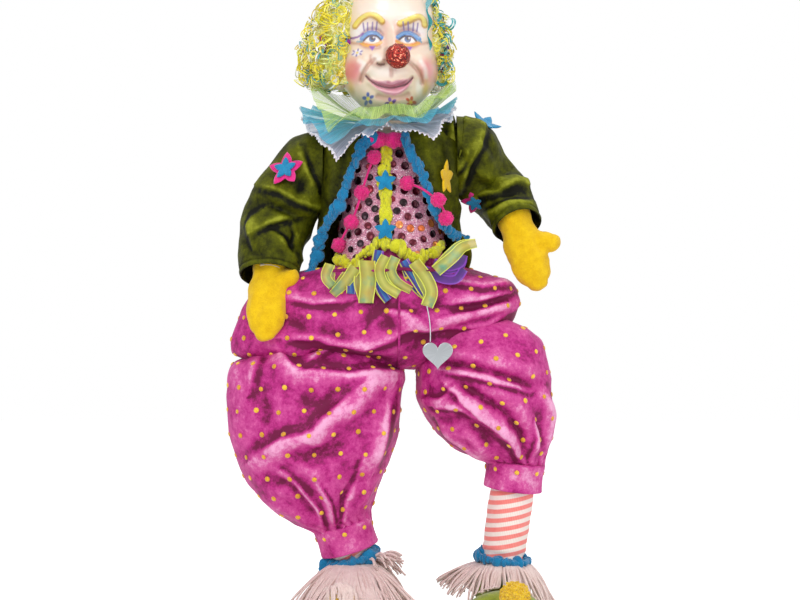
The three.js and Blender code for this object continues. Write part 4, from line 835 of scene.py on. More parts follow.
def gathered_tube(rows, power, lines, lapped, seed, pleats, columns=240, count=170, hold=0.8, pleat=2.6,
                  rumple=1.0):
    """Rings through the rows, moved out by the folds and by pleats: the size of a sine round the
    ring, sharp at its foot, which grows from the share hold down to the last row."""
    angle = np.linspace(0, 2 * math.pi, columns, endpoint=False)
    grid = oval_rings(rows, power, angle, count)
    normals = outward(grid)
    height = folds(grid, normals, lines, seed, rumple)
    lift, lap_shade = laps(grid, normals, lapped)
    down = np.linspace(0, 1, count)[:, None]
    wander = waves(np.stack([np.cos(angle) * 30, np.sin(angle) * 30], -1), 40, seed + 5)
    wave = np.abs(np.sin(pleats / 2 * angle + 2.2 * wander)) ** 0.7 - 0.6
    height = height * mix(1.0, 0.5, smoothstep(hold, 1, down)) + wave * pleat * smoothstep(hold, 0.97, down)
    height = (height + lift) * smoothstep(0, 0.06, down)
    moved = grid + normals * height[..., None]
    # The third value is painted light for the velvet: shade in the folds, highlight on ridges and laps.
    return moved, outward(moved), np.clip(fold_shade_tone(height) + lap_shade, 0, 1)


# %% Sew the trouser legs
leg_grids = {}
for side in SIDES:
    grid, normals, tone = gathered_tube(LEG_ROWS[side], LEG_POWER, LEG_FOLDS[side], LEG_LAPS[side],
                                        11 if side == "right" else 23, 22)
    leg_grids[side] = grid
    leg = worn(grid_piece(f"balloon_leg_{side}", grid, capped=True), None, magenta_velvet,
               "magenta_velvet", f"trouser_leg_{side}")
    store(leg, "fold_shade", tone)
    dots = worn(gold_dots(f"balloon_leg_dots_{side}", grid, normals, 26, 14), None, gold_thread,
                "magenta_velvet")
    knee = metres(KNEE[side])
    for piece in (leg, dots):
        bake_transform(piece)

# %% [markdown]
# The seat is a deep roll of the same velvet, slouched over both hips. It is made as two halves that
# meet on a flat face in the middle. Both hips turn about the line through that face, so when one leg
# swings, the faces slide on each other and no gap opens.

# %% Sew the seat
SEAT_ROWS = [
    (-50, 327, 58, 327, 0, 37), (-92, 318, 88, 318, 0, 47), (-118, 305, 111, 307, 2, 53),
    (-132, 288, 115, 298, 3, 56), (-140, 270, 113, 284, 3, 58), (-143, 256, 104, 270, 3, 56),
    (-137, 245, 80, 256, 3, 50), (-112, 237, 52, 242, 3, 40), (-80, 233, 30, 234, 3, 26)]
SEAT_SEAM = 8.0
SEAT_SHADE = 0.12
# The welt over the seam is read off the columns that face the front.
WELT_POINTS, WELT_SIDES = 80, 10
WELT_COLUMNS = slice(150, 210)
SEAT_LAPS = [
    ([(286, 338), (318, 337), (341, 343), (367, 345), (391, 337), (411, 328), (428, 330), (458, 328),
      (487, 324), (517, 309)], 10, 4.0, 1),
    ([(285, 297), (315, 304), (350, 301)], 7, 3.0, 1),
    ([(374, 322), (386, 310), (404, 312), (424, 325)], 8, 3.0, -1),
    ([(450, 281), (480, 288), (518, 284)], 7, 3.0, 1), ([(446, 305), (480, 300), (512, 292)], 6, 2.5, 1),
    ([(440, 318), (470, 312), (505, 303)], 5, 2.5, -1)]
SEAT_FOLDS = [
    ([(-84, 293), (-60, 281), (-38, 279), (-20, 291)], 7, 3.0),
    ([(-92, 276), (-70, 268), (-48, 266), (-30, 262)], 5, -4.0),
    ([(-112, 262), (-84, 250), (-64, 238)], 7, 3.5),
    ([(-66, 262), (-40, 252), (-10, 256), (16, 262)], 7, 3.5),
    ([(-78, 244), (-46, 252), (-18, 244), (10, 240)], 4.5, -4.0),
    ([(-2, 310), (-8, 290), (4, 268), (30, 262)], 6, -3.0),
    ([(6, 286), (20, 278), (44, 282), (66, 292)], 8, 4.0),
    ([(20, 256), (44, 268), (70, 276), (110, 286)], 4.5, -4.5),
    ([(42, 292), (62, 288), (84, 290), (112, 302)], 4.5, -4.5),
    ([(56, 300), (80, 302), (106, 308)], 7, 3.5),
    ([(46, 276), (74, 283), (108, 294)], 6, 3.0),
    ([(-128, 292), (-110, 300), (-90, 302)], 7, 3.0)]


def seat_half(side, seam=SEAT_SEAM, columns=240, count=90):
    """The whole roll's rings. Points past the seam are laid on the seam's plane, no further front or
    back than where the ring meets it."""
    angle = np.linspace(0, 2 * math.pi, columns, endpoint=False)
    grid = oval_rings(SEAT_ROWS, 2.2, angle, count)
    normals = outward(grid)
    height = folds(grid, normals, SEAT_FOLDS, 41, 0.9)
    lift, lap_shade = laps(grid, normals, SEAT_LAPS)
    height = height + lift
    down = np.linspace(0, 1, count)[:, None]
    moved = grid + normals * (height * smoothstep(0, 0.1, down))[..., None]
    turned = outward(moved)
    past = (moved[..., 0] - seam) * OUT[side] < 0
    inside = moved.copy()
    inside[..., 0] = np.where(past, seam + 0.05 * OUT[side], moved[..., 0])
    for ring, hidden in zip(inside, past):
        rim = ~hidden & (np.roll(hidden, 1) | np.roll(hidden, -1))
        if rim.any():
            ring[hidden, 1] = np.clip(ring[hidden, 1], ring[rim, 1].min(), ring[rim, 1].max())
    # The last value is painted light for the velvet: shade in the folds, highlight on ridges and laps.
    return inside, moved, turned, np.clip(fold_shade_tone(height) + lap_shade, 0, 1)


for side in SIDES:
    grid, loose, normals, tone = seat_half(side)
    seat = worn(grid_piece(f"seat_{side}", grid, capped=True), None, magenta_velvet, "magenta_velvet",
                f"trouser_hip_{side}")
    store(seat, "fold_shade", tone - SEAT_SHADE)
    seat.data.set_sharp_from_angle(angle=math.radians(55))
    dots = gold_dots(f"seat_dots_{side}", loose, normals, 14, 6, seed=8)
    middles = np.array([v.co[0] for v in dots.data.vertices]).reshape(-1, len(ball_shape(6, 10)[0])).mean(1)
    keep = (middles - metres([SEAT_SEAM, 0, 0])[0]) * OUT[side] > 0.0025
    shape, faces = ball_shape(6, 10, 0.42)
    block = np.array([v.co for v in dots.data.vertices]).reshape(len(keep), -1, 3)[keep]
    bpy.data.objects.remove(dots)
    step = np.arange(len(block))[:, None, None] * block.shape[1]
    dots = mesh_piece(f"seat_dots_{side}", block.reshape(-1, 3) * 1000 - DOLL_SHIFT,
                      [(f[None] + step).reshape(-1, f.shape[1]) for f in faces])
    store(dots, "tone", np.repeat(np.random.default_rng(5).uniform(0, 1, len(block)), block.shape[1]))
    dots = worn(dots, None, gold_thread, "magenta_velvet")
    pieces = [seat, dots]
    if side == "left":
        ring = loose[:, WELT_COLUMNS]
        nearest = np.abs(ring[..., 0] - SEAT_SEAM).argmin(1)
        welt = ring[np.arange(len(ring)), nearest]
        welt[:, 0] = SEAT_SEAM
        line = even(welt[4:], WELT_POINTS) - [0, 0.4, 0]
        cord = grid_piece("seat_seam", tube(line, 1.1, 1.1, WELT_SIDES), capped=True)
        store(worn(cord, None, magenta_velvet, "magenta_velvet"), "fold_shade",
              np.full(WELT_POINTS * WELT_SIDES, 0.35))
        pieces.append(cord)
    for piece in pieces:
        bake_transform(piece)

# %% [markdown]
# ## Stuffed body
#
# Under the clothes the doll is muslin stuffed with wadding, and its shins are striped stockings over the
# same. Each segment runs from one joint to the next. It starts as a ball, round which the next segment
# can turn, and it stops short of the next ball. A gathered band of the trousers' velvet covers the
# trunk's foot, so that no muslin shows when the doll sits.

# %% Stuffed segments
def unit(vector):
    """The vector at length 1."""
    vector = np.asarray(vector, float)
    return vector / np.linalg.norm(vector)


def between(a, b, share):
    """The point at a share of the way from a to b."""
    return np.asarray(a, float) + (np.asarray(b, float) - np.asarray(a, float)) * share


def stuffed(rows, rounded=(True, True), sides=44, count=60, seed=1, lumps=0.35):
    """A grid round rows of (x, y, z, half width, half depth), whose ends are half balls where rounded
    and flat where not. Wadding shows as lumps of a few tenths of a millimetre."""
    line = along(rows, count)
    lean = np.linspace(0, 0.47 * math.pi, 9)[1:]
    parts = [line]
    for end, (tip, near) in enumerate(((line[0], line[1]), (line[-1], line[-2]))):
        if not rounded[end]:
            continue
        away = unit(tip[:3] - near[:3])
        reach = min(tip[3], tip[4])
        cap = np.array([[*(tip[:3] + away * reach * math.sin(a)), tip[3] * math.cos(a),
                         tip[4] * math.cos(a)] for a in lean])
        parts = [cap[::-1], *parts] if end == 0 else [*parts, cap]
    line = np.concatenate(parts)
    grid = tube(line[:, :3], line[:, 3], line[:, 4], sides)
    return grid + outward(grid) * (waves(grid, 13, seed) * lumps)[..., None]


for side in SIDES:
    for name, start_at, end_at, ball, end_radius, short in (
            ("upper_arm", SHOULDER, ELBOW, 18, 15, 15), ("forearm", ELBOW, WRIST, 13, 14, 0),
            ("thigh", HIP, KNEE, 19, 16, 18)):
        a, b = np.array(start_at[side], float), np.array(end_at[side], float)
        stop = between(a, b, 1 - short / np.linalg.norm(b - a))
        half = (ball + end_radius) / 2 + 0.6
        rows = [(*a, ball, ball), (*between(a, stop, 0.5), half, half), (*stop, end_radius, end_radius)]
        limb = grid_piece(f"{name}_stuffing_{side}", stuffed(rows, (True, False)), capped=True)
        worn(limb, f"{name}_{side}", muslin, "muslin", f"{name}_{side}")

TORSO_ROWS = [
    (447, -17, 17, 4, 16), (440, -28, 28, 4, 19), (431, -43, 43, 4, 23), (416, -46, 46, 2, 28),
    (385, -42, 42, 0, 31), (350, -40, 42, 0, 31), (315, -45, 49, 0, 33), (290, -50, 56, 0, 35),
    (269.3, -50, 58, 0, 34)]
torso_pairs = [(left, z, right, z, y, deep) for z, left, right, y, deep in TORSO_ROWS]
round_it = np.linspace(0, 2 * math.pi, 96, endpoint=False)
torso = oval_rings(torso_pairs, 2.5, round_it, 60)
torso += outward(torso) * (waves(torso, 20, 4) * 0.4)[..., None]
torso = grid_piece("stuffed_trunk", torso, capped=True)
worn(torso, "torso", muslin, "muslin", "torso_stuffing")
band = np.array([(p[0] - 1.6, p[1], p[2] + 1.6, p[3], p[4], p[5] + 1.6) for p in along(torso_pairs, 90)])
band = band[band[:, 1] < 350]
band[-1, [1, 3]] -= 2.4
WAIST_RINGS = 60
band = oval_rings(band, 2.5, round_it, WAIST_RINGS)
gathers = np.abs(np.sin(round_it * 26 + 2 * np.sin(round_it * 5)))[None, :] * np.ones((WAIST_RINGS, 1))
band += outward(band) * (gathers * 1.4)[..., None]
band = worn(grid_piece("trouser_waist", band, capped=True), "torso", magenta_velvet, "magenta_velvet")
# Painted shade: the band takes the dark end of the velvet, darkest between its gathers.
store(band, "fold_shade", np.clip(0.15 + 0.4 * gathers, 0, 1))


# %% [markdown]
# The stockings show between cuff and ankle. The tube's map counts millimetres down the leg, which the
# jersey's stripes read. Near the ankle the jersey rucks up in soft rings under the braid.

# %% Stockings
def stocking(side):
    """The shin from the knee's ball to inside the shoe, with a few rucks over the ankle."""
    knee, ankle = np.array(KNEE[side], float), np.array(ANKLE[side], float)
    rows = [(*knee, 16, 16), (*between(knee, ankle, 0.4), 19.5, 19.5),
            (*between(knee, ankle, 0.75), 19.5, 19.5), (*ankle, 18, 18), (ankle[0], ankle[1], 30, 17, 17)]
    grid = stuffed(rows, (True, False), 72, 150, 7 + OUT[side], 0.3)
    up = (grid - ankle) @ unit(knee - ankle)
    angle = np.linspace(0, 2 * math.pi, grid.shape[1], endpoint=False)[None, :]
    ruck = np.sin(up / 2.1 + 0.9 * np.sin(angle * 2 + 1) + 0.5 * np.sin(angle * 3))
    grid += outward(grid) * (ruck * 0.9 * bump(up, 10, 8))[..., None]
    return grid


for side in SIDES:
    sock = grid_piece(f"stocking_{side}", stocking(side), capped=True)
    worn(sock, f"shin_{side}", coral_jersey, "striped_jersey", f"shin_{side}")


# %% [markdown]
# The cuffs are flat bands of the trouser velvet, a gathering seam above and a turned edge below, closed
# in a seam at the outer side.

# %% Trouser cuffs
CUFF_TOP = {"right": 0.62, "left": 0.13}


def lathe(centre, axis, profile, sides=96, push=None):
    """Rings about an axis from a profile of (distance along the axis, radius), after a push in mm
    that depends on the profile's step, 0 to 1, and on the angle."""
    axis = unit(axis)
    a = unit(np.cross(axis, (0.0, 1.0, 0.0)))
    b = np.cross(a, axis)
    profile = np.asarray(profile, float)
    angle = np.linspace(0, 2 * math.pi, sides, endpoint=False)
    step = np.linspace(0, 1, len(profile))[:, None]
    radius = profile[:, [1]] + (0 if push is None else push(step, angle[None, :]))
    return (np.asarray(centre, float) + profile[:, [0], None] * axis
            + radius[..., None] * (np.cos(angle)[:, None] * a + np.sin(angle)[:, None] * b))


def cuff(side):
    """The band's grid, from its inner top edge over the outside to its inner lower edge."""
    knee, ankle = np.array(KNEE[side], float), np.array(ANKLE[side], float)
    top = between(knee, ankle, CUFF_TOP[side])
    profile = along([(1, 21), (1.5, 25), (0, 26.4), (-3, 26.4), (-8, 25.6), (-14, 25.5), (-20, 25.8),
                     (-23, 26), (-24, 25.2), (-23.6, 23.6), (-21, 21.5), (-15, 20.4)], 60)
    seam = math.pi * (0.86 if side == "left" else 0.95)

    def push(step, angle):
        turn = np.angle(np.exp(1j * (angle - seam)))
        return (-1.3 * np.exp(-(turn / 0.03) ** 2) + 0.9 * np.exp(-((turn - 0.07) / 0.05) ** 2)
                + 0.5 * np.sin(angle * 7 + 5 * step) * np.sin(math.pi * step))
    return lathe(top, knee - ankle, profile, 160, push)


for side in SIDES:
    grid = cuff(side)
    band = worn(grid_piece(f"cuff_band_{side}", grid), f"shin_{side}", magenta_velvet, "magenta_velvet",
                f"trouser_cuff_{side}")
    # Painted shade: a darker ring at the top edge, under the gathering seam, over patches of random tone.
    tone = 0.56 + 0.22 * waves(grid, 22, 90) + 0.0 * grid[..., 0]
    store(band, "fold_shade", np.clip(tone - 0.3 * bump(np.linspace(0, 1, len(grid)), 0.12, 0.06)[:, None], 0, 1))
    worn(gold_dots(f"cuff_dots_{side}", grid[14:42], outward(grid)[14:42], 5, 2, 21, seed=31),
         f"shin_{side}", gold_thread, "magenta_velvet")


# %% [markdown]
# ## Braid, pompoms and fringe
#
# The braid is a cord with felted balls on it, in one row or two, no two the same size. A pompom is
# a ball of cut yarn ends, each end a short round stub, so its outline is nubbly rather than smooth.

# %% Bobbles and pompoms
def ball_row(name, path, ball, rows, apart, pitch, seed, out=(0, -1, 0), big=0):
    """Felted balls at a pitch along a path, in rows set apart across it, each row half a pitch on from
    the last. Every big-th ball is a third larger."""
    rng = np.random.default_rng(seed)
    run = np.linalg.norm(np.diff(path, axis=0), axis=1).sum()
    count = max(int(run / pitch), 3)
    path = even(path, 2 * count + 1)
    tangent = np.gradient(path, axis=0)
    across = np.cross(tangent, np.broadcast_to(out, tangent.shape))
    across /= np.linalg.norm(across, axis=1)[:, None]
    centres, sizes = [], []
    for row in range(rows):
        at = np.arange(row % 2, 2 * count + 1, 2)
        centres.append(path[at] + across[at] * (row - (rows - 1) / 2) * apart)
        large = (np.arange(len(at)) % big == 0) if big else np.zeros(len(at), bool)
        sizes.append(ball * rng.uniform(0.9, 1.08, len(at)) * np.where(large, 1.35, 1.0))
    centres = np.concatenate(centres)
    centres += rng.normal(0, 0.1 * ball, centres.shape)
    shape, faces = ball_shape(10, 14)
    shape = shape * (1 + 0.06 * waves(shape, 0.8, seed)[:, None]
                     + 0.04 * waves(shape, 0.3, seed + 1)[:, None])
    turned = facing(rng.normal(size=centres.shape) + 1e-3)
    return scatter(name, shape, faces, centres, turned, np.concatenate(sizes))


def strands(name, paths, radius, sides=5, taper=0.7):
    """One mesh of thin round tubes, a path each: paths is strands x points x 3."""
    paths = np.asarray(paths, float)
    count, steps = paths.shape[:2]
    tangent = np.gradient(paths, axis=1)
    tangent /= np.maximum(np.linalg.norm(tangent, axis=-1, keepdims=True), 1e-9)
    across = np.cross(tangent, (0.31, 0.17, 0.93))
    across /= np.maximum(np.linalg.norm(across, axis=-1, keepdims=True), 1e-9)
    deep = np.cross(tangent, across)
    angle = np.linspace(0, 2 * math.pi, sides, endpoint=False)
    radius = np.broadcast_to(np.asarray(radius, float), count)[:, None] * np.linspace(1, taper, steps)
    points = paths[:, :, None] + radius[..., None, None] * (
        np.cos(angle)[:, None] * across[:, :, None] + np.sin(angle)[:, None] * deep[:, :, None])
    quads = grid_faces(steps, sides, True)
    step = np.arange(count)[:, None, None] * steps * sides
    ends = np.arange(sides)
    tips = np.stack([ends[::-1], (steps - 1) * sides + ends])
    return mesh_piece(name, points.reshape(-1, 3),
                      [(quads[None] + step).reshape(-1, 4), (tips[None] + step).reshape(-1, sides)])


def spread_on_ball(count):
    """Directions spread evenly over a ball: a spiral with the golden angle between its points."""
    k = np.arange(count) + 0.5
    polar = np.arccos(1 - 2 * k / count)
    turn = math.pi * (1 + math.sqrt(5)) * k
    return np.stack([np.sin(polar) * np.cos(turn), np.sin(polar) * np.sin(turn), np.cos(polar)], -1)


def pompoms(name, centres, radius, ends=150, stub=0.16, seed=2):
    """For each centre, a lumpy core and a count of yarn ends whose tips reach the radius."""
    rng = np.random.default_rng(seed)
    shape, faces = ball_shape(5, 7, 1.5)
    points, turns, sizes = [], [], []
    for centre in np.asarray(centres, float):
        way = spread_on_ball(ends) + rng.normal(0, 0.08, (ends, 3))
        way /= np.linalg.norm(way, axis=1)[:, None]
        size = radius * stub * rng.uniform(0.75, 1.2, ends)
        reach = radius * rng.uniform(0.9, 1.02, ends) - 1.5 * size
        points.append(centre + way * reach[:, None])
        turns.append(facing(way + rng.normal(0, 0.25, way.shape)))
        sizes.append(size)
    cores, core_faces = ball_shape(16, 24)
    cores = cores * (1 + 0.06 * waves(cores, 0.5, seed)[:, None]) * radius * 0.88
    all_points = [(np.einsum("nij,kj->nki", np.concatenate(turns), shape)
                   * np.concatenate(sizes)[:, None, None] + np.concatenate(points)[:, None]).reshape(-1, 3)]
    total = len(all_points[0])
    step = np.arange(total // len(shape))[:, None, None] * len(shape)
    all_faces = [(f[None] + step).reshape(-1, f.shape[1]) for f in faces]
    for k, centre in enumerate(np.asarray(centres, float)):
        all_faces += [f + total + k * len(cores) for f in core_faces]
        all_points.append(cores + centre)
    quads = [f for f in all_faces if f.shape[1] == 4]
    corners = [f for f in all_faces if f.shape[1] == 3]
    return mesh_piece(name, np.concatenate(all_points), [np.concatenate(quads), np.concatenate(corners)])


# %% Ankle braid and toe pompoms
TOE_RADIUS = 14.0
TOE_POMPOM = {"right": (-41, -91, 37), "left": (107, -89.5, 42)}
for side in SIDES:
    knee, ankle = np.array(KNEE[side], float), np.array(ANKLE[side], float)
    axis = unit(knee - ankle)
    ring = lathe(ankle + axis * 5.4, axis, [(0, 22)], 120)[0]
    ring = np.concatenate([ring, ring[:2]])
    worn(strands(f"ankle_cord_{side}", [ring], 2.8, 14, 1.0), f"shin_{side}", blue_bobbles, "blue_braid")
    braid = ball_row(f"ankle_braid_{side}", ring, 2.1, 2, 2.6, 3.6, 60 + OUT[side], axis, 6)
    worn(braid, f"shin_{side}", blue_bobbles, "blue_braid", f"ankle_trim_{side}")
    worn(pompoms(f"toe_pompom_{side}", [TOE_POMPOM[side]], TOE_RADIUS, 620, 0.075, 5), f"shin_{side}",
         yellow_yarn, "yellow_pompom", f"toe_pom_{side}")


# %% [markdown]
# Shoes are soft felt slippers with a stuffed toe. The picture cuts them off below the ankle, so
# their length and sole are those of a slipper of this kind. A felt sole is sewn round with a welt.

# %% Shoes
SHOE_ROWS = [
    (0, 9, 18), (0.02, 15, 27), (0.06, 20, 34), (0.25, 25, 40), (0.45, 26, 40), (0.62, 32, 41),
    (0.78, 36, 43), (0.92, 31, 36), (0.98, 20, 26), (1, 10, 17)]
SHOE_BACK, SHOE_FRONT = 34.0, -88.0


def joined(name, grids, voxel, rounds):
    """One closed skin over several closed grids: remeshed at a voxel size in mm, then smoothed."""
    parts = [grid_piece(f"{name}_{k}", grid, capped=True) for k, grid in enumerate(grids)]
    points, faces, total = [], [], 0
    for part in parts:
        points.append(np.array([v.co for v in part.data.vertices]) * 1000 - DOLL_SHIFT)
        faces += [np.array([p.vertices[:] for p in part.data.polygons if len(p.vertices) == n]) + total
                  for n in (3, 4)]
        total += len(points[-1])
        bpy.data.objects.remove(part)
    whole = mesh_piece(name, np.concatenate(points),
                       [np.concatenate([f for f in faces if f.shape[1] == n]) for n in (4, 3)])
    modifier(whole, "REMESH", mode="VOXEL", voxel_size=voxel / 1000, use_smooth_shade=True)
    modifier(whole, "SMOOTH", factor=0.5, iterations=rounds)
    return applied(whole)


def applied(piece):
    """The piece with its modifiers worked into its mesh and taken off."""
    bpy.context.view_layer.update()
    seen = piece.evaluated_get(bpy.context.evaluated_depsgraph_get())
    mesh = bpy.data.meshes.new_from_object(seen)
    mesh.name = piece.name
    piece.modifiers.clear()
    piece.data = mesh
    return piece


def vertices(piece):
    """A piece's points in the doll's millimetres."""
    out = np.empty(len(piece.data.vertices) * 3, np.float32)
    piece.data.vertices.foreach_get("co", out)
    return out.reshape(-1, 3).astype(float) * 1000 - DOLL_SHIFT


def move_vertices(piece, points_mm):
    """Puts new points, in the doll's millimetres, into the piece's mesh."""
    piece.data.vertices.foreach_set("co", metres(points_mm).astype(np.float32).ravel())
    piece.data.update()


def shoe_section(y):
    """Half width and height of the shoe at a depth, from the rows."""
    share = (np.asarray(y, float) - SHOE_BACK) / (SHOE_FRONT - SHOE_BACK)
    rows = np.array(SHOE_ROWS)
    return np.interp(share, rows[:, 0], rows[:, 1]), np.interp(share, rows[:, 0], rows[:, 2])


def shoe_grid(side):
    """Rings across the shoe, flattened underneath where it stands."""
    rows = along(SHOE_ROWS, 90)
    share = np.maximum.accumulate(rows[:, 0])
    y = mix(SHOE_BACK, SHOE_FRONT, share)[:, None]
    angle = np.linspace(0, 2 * math.pi, 96, endpoint=False)[None, :]
    c, d = np.cos(angle), np.sin(angle)
    x = ANKLE[side][0] + np.sign(c) * np.abs(c) ** (2 / 2.4) * rows[:, [1]]
    tall = rows[:, [2]]
    middle = tall * 0.36
    v = np.abs(d) ** (2 / 2.4)
    z = np.where(d >= 0, middle + v * (tall - middle), middle - v * (middle + 4))
    grid = np.stack([x, np.broadcast_to(y, x.shape), z], -1)
    grid += outward(grid) * (waves(grid, 24, 17) * 0.9)[..., None]
    grid[..., 2] = np.maximum(grid[..., 2], 0.6)
    return grid


for side in SIDES:
    ankle = np.array(ANKLE[side], float)
    rim = lathe((ankle[0], ankle[1], 0), (0, 0, 1), [(20, 22), (22, 24), (40, 23.4), (52, 22.4), (54.6, 21.2),
                                                     (55, 20)], 72)
    slipper = joined(f"slipper_{side}", [shoe_grid(side), rim], 1.6, 6)
    points = vertices(slipper)
    half, tall = shoe_section(points[:, 1])
    low = smoothstep(9, 4, points[:, 2])
    edge = 1.2 * bump(points[:, 2], 3.2, 1.6) - 1.0 * bump(points[:, 2], 6.4, 0.9)
    out = points - np.array([ankle[0], 0, 0])
    out[:, 1:] = 0
    points += out / np.maximum(half, 8)[:, None] * edge[:, None]
    points[:, 2] = np.maximum(points[:, 2], 0.0)
    move_vertices(slipper, points)
    worn(slipper, f"shin_{side}", green_felt, "green_felt", f"shoe_{side}")


# %% [markdown]
# The fringe is loose twisted yarn, caught under the ankle braid and combed out over the shoe. Each
# strand is a thin tube on its own curve. It leaves the braid, falls outwards, and stays outside the felt.

# %% Fringes
FRINGE_STRANDS = 190
SHOE_STRANDS, TOE_STRANDS, LOOSE_STRANDS = 290, 90, 46
STRAND_STEPS = 15
FRINGE_INNER = 20.6
FLARE = {"right": (0.0, 0.0), "left": (math.pi, 12.0)}


def over_the_shoe(side, x, y, layer):
    """The height of the shoe and its pompom under each point, and a little more for the strands' layer."""
    ankle = ANKLE[side]
    half, tall = shoe_section(y)
    over = np.clip(1 - np.abs((x - ankle[0]) / (half + 2)) ** 2.4, 0, 1) ** (1 / 2.4)
    inside = (y < SHOE_BACK) & (y > SHOE_FRONT)
    top = np.where(inside, tall * 0.36 + over * tall * 0.64 + 1.6 + 2.2 * layer, 0)
    rim = np.hypot(x - ankle[0], y - ankle[1])
    top = np.maximum(top, np.where(rim < 25, 55 - np.maximum(rim - 21, 0) * 3.0, 0))
    top = np.where(over > 0, top, 0)
    toe = TOE_POMPOM[side]
    apart = np.hypot(x - toe[0], y - toe[1])
    ball = toe[2] + np.sqrt(np.clip(TOE_RADIUS**2 - apart**2, 0, None)) + 1.5 + 2 * layer
    return np.maximum(top, np.where(apart < TOE_RADIUS, ball, 0))


def fringe(side, angle, reach, floor, steps=15):
    """Paths of strands at angles round the ankle: each leaves the braid's ring and falls in bunches
    over the shoe, to its reach from the ankle and its height above the floor."""
    count = len(angle)
    rng = np.random.default_rng(70 + OUT[side] + count)
    ankle = np.array(ANKLE[side], float)
    bunch = 0.13 * np.sin(9 * angle + rng.uniform(0, 6)) + rng.normal(0, 0.06, count)
    t = np.linspace(0, 1, steps)[None, :]
    turn = angle[:, None] + bunch[:, None] * t**1.3
    layer = rng.uniform(0, 1, (count, 1))
    towards, flare = FLARE[side]
    flare = flare * np.clip(np.cos(turn - towards), 0, 1) ** 2
    r = mix(FRINGE_INNER, reach[:, None] - 4 * (1 - layer) + flare, t ** mix(0.65, 0.95, layer))
    z = mix(ankle[2] + 1, floor[:, None] + 2.5 * layer + 1.6 * flare, t ** mix(1.1, 1.5, layer))
    wave = rng.uniform(0, 6.3, (count, 1))
    x = ankle[0] + r * np.cos(turn) + 0.9 * np.sin(9 * t + wave) * t
    y = ankle[1] + r * np.sin(turn) + 0.9 * np.cos(8 * t + wave) * t
    z = np.maximum(z, over_the_shoe(side, x, y, layer))
    return np.stack([x, y, np.maximum(z, 6)], -1)


for side in SIDES:
    rng = np.random.default_rng(80 + OUT[side])
    angle = np.linspace(0, 2 * math.pi, FRINGE_STRANDS, endpoint=False)
    angle = angle + rng.uniform(-0.02, 0.02, FRINGE_STRANDS)
    reach = rng.uniform(39, 49.5, FRINGE_STRANDS) * (1 + 0.05 * np.sin(5 * angle))
    paths = [fringe(side, angle, reach, rng.uniform(18, 26, FRINGE_STRANDS))]
    if side == "right":
        # The picture shows this foot's shoe and pompom covered by longer strands in front.
        angle = rng.normal(-math.pi / 2 - 0.08, 0.36, SHOE_STRANDS)
        reach = rng.uniform(84, 113, SHOE_STRANDS) * np.abs(np.sin(angle)) ** 0.6
        paths.append(fringe(side, angle, reach, rng.uniform(8, 20, SHOE_STRANDS)))
        angle = rng.uniform(-1.86, -1.5, TOE_STRANDS)
        reach = rng.uniform(104, 114, TOE_STRANDS)
        paths.append(fringe(side, angle, reach, rng.uniform(8, 20, TOE_STRANDS)))
        ankle = np.array(ANKLE[side], float)
        t = np.linspace(0, 1, STRAND_STEPS)[None, :]
        each = (LOOSE_STRANDS, 1)
        turn = rng.normal(-0.15, 0.4, each) * (1 + 0.2 * t)
        r = mix(FRINGE_INNER, rng.uniform(36, 47, each), t)
        z = ankle[2] + 5 + rng.uniform(1, 9, each) * np.sin(2.2 * t) - rng.uniform(2, 16, each) * t**1.6
        paths.append(np.stack([ankle[0] + r * np.cos(turn), ankle[1] + r * np.sin(turn), z], -1))
    paths = np.concatenate(paths)
    yarn = strands(f"ankle_fringe_{side}", paths, np.random.default_rng(4).uniform(1.0, 1.5, len(paths)))
    worn(yarn, f"shin_{side}", fringe_yarn, "fringe_yarn", f"fringe_{side}")

# %% [markdown]
# ## Ruffs
#
# Three circles of cloth are gathered to the neck one over another: white sheer with a lace edge below,
# turquoise net, then yellow-green net on top. Each one's edge hangs at its own distance and height all
# round, as a list says by the angle from the front, and a gathered circle flutes more the further out
# it goes. Net is creased sharply, so the flutes are pointed.

# %% Ruff shapes
RUFF_INNER = 18.6
NECK_AXIS = (0.0, 4.0)
RUFFS = {
    "lace": (452.0, [
        (-180, 62, 456), (-135, 70, 457), (-90, 76, 458), (-62, 76, 444), (-35, 76, 421), (-18, 74, 441),
        (0, 73, 443), (16, 74, 444), (30, 74, 436), (46, 68, 452), (65, 60, 465), (90, 54, 467),
        (135, 58, 460), (180, 62, 456)]),
    "turquoise": (454.8, [
        (-180, 68, 464), (-135, 76, 466), (-90, 81, 467), (-62, 80, 450), (-38, 79, 429), (-20, 76, 446),
        (0, 76, 448), (20, 76, 450), (40, 72, 460), (65, 64, 470), (90, 58, 474), (135, 62, 468),
        (180, 68, 464)]),
    "green": (457.6, [
        (-180, 64, 478), (-135, 68, 486), (-90, 71, 492), (-62, 76, 473), (-40, 82, 444), (-20, 80, 453),
        (0, 80, 452), (20, 76, 456), (40, 71, 472), (65, 62, 487), (90, 57, 489), (135, 60, 484),
        (180, 64, 478)]),
}


def ruff_edge(name, turn):
    """Radius and height of a ruff's edge at angles in degrees from the front, eased between keys."""
    keys = np.array(RUFFS[name][1], float)
    i = np.clip(np.searchsorted(keys[:, 0], turn, side="right") - 1, 0, len(keys) - 2)
    t = smoothstep(0, 1, (turn - keys[i, 0]) / (keys[i + 1, 0] - keys[i, 0]))
    return mix(keys[i, 1], keys[i + 1, 1], t), mix(keys[i, 2], keys[i + 1, 2], t)


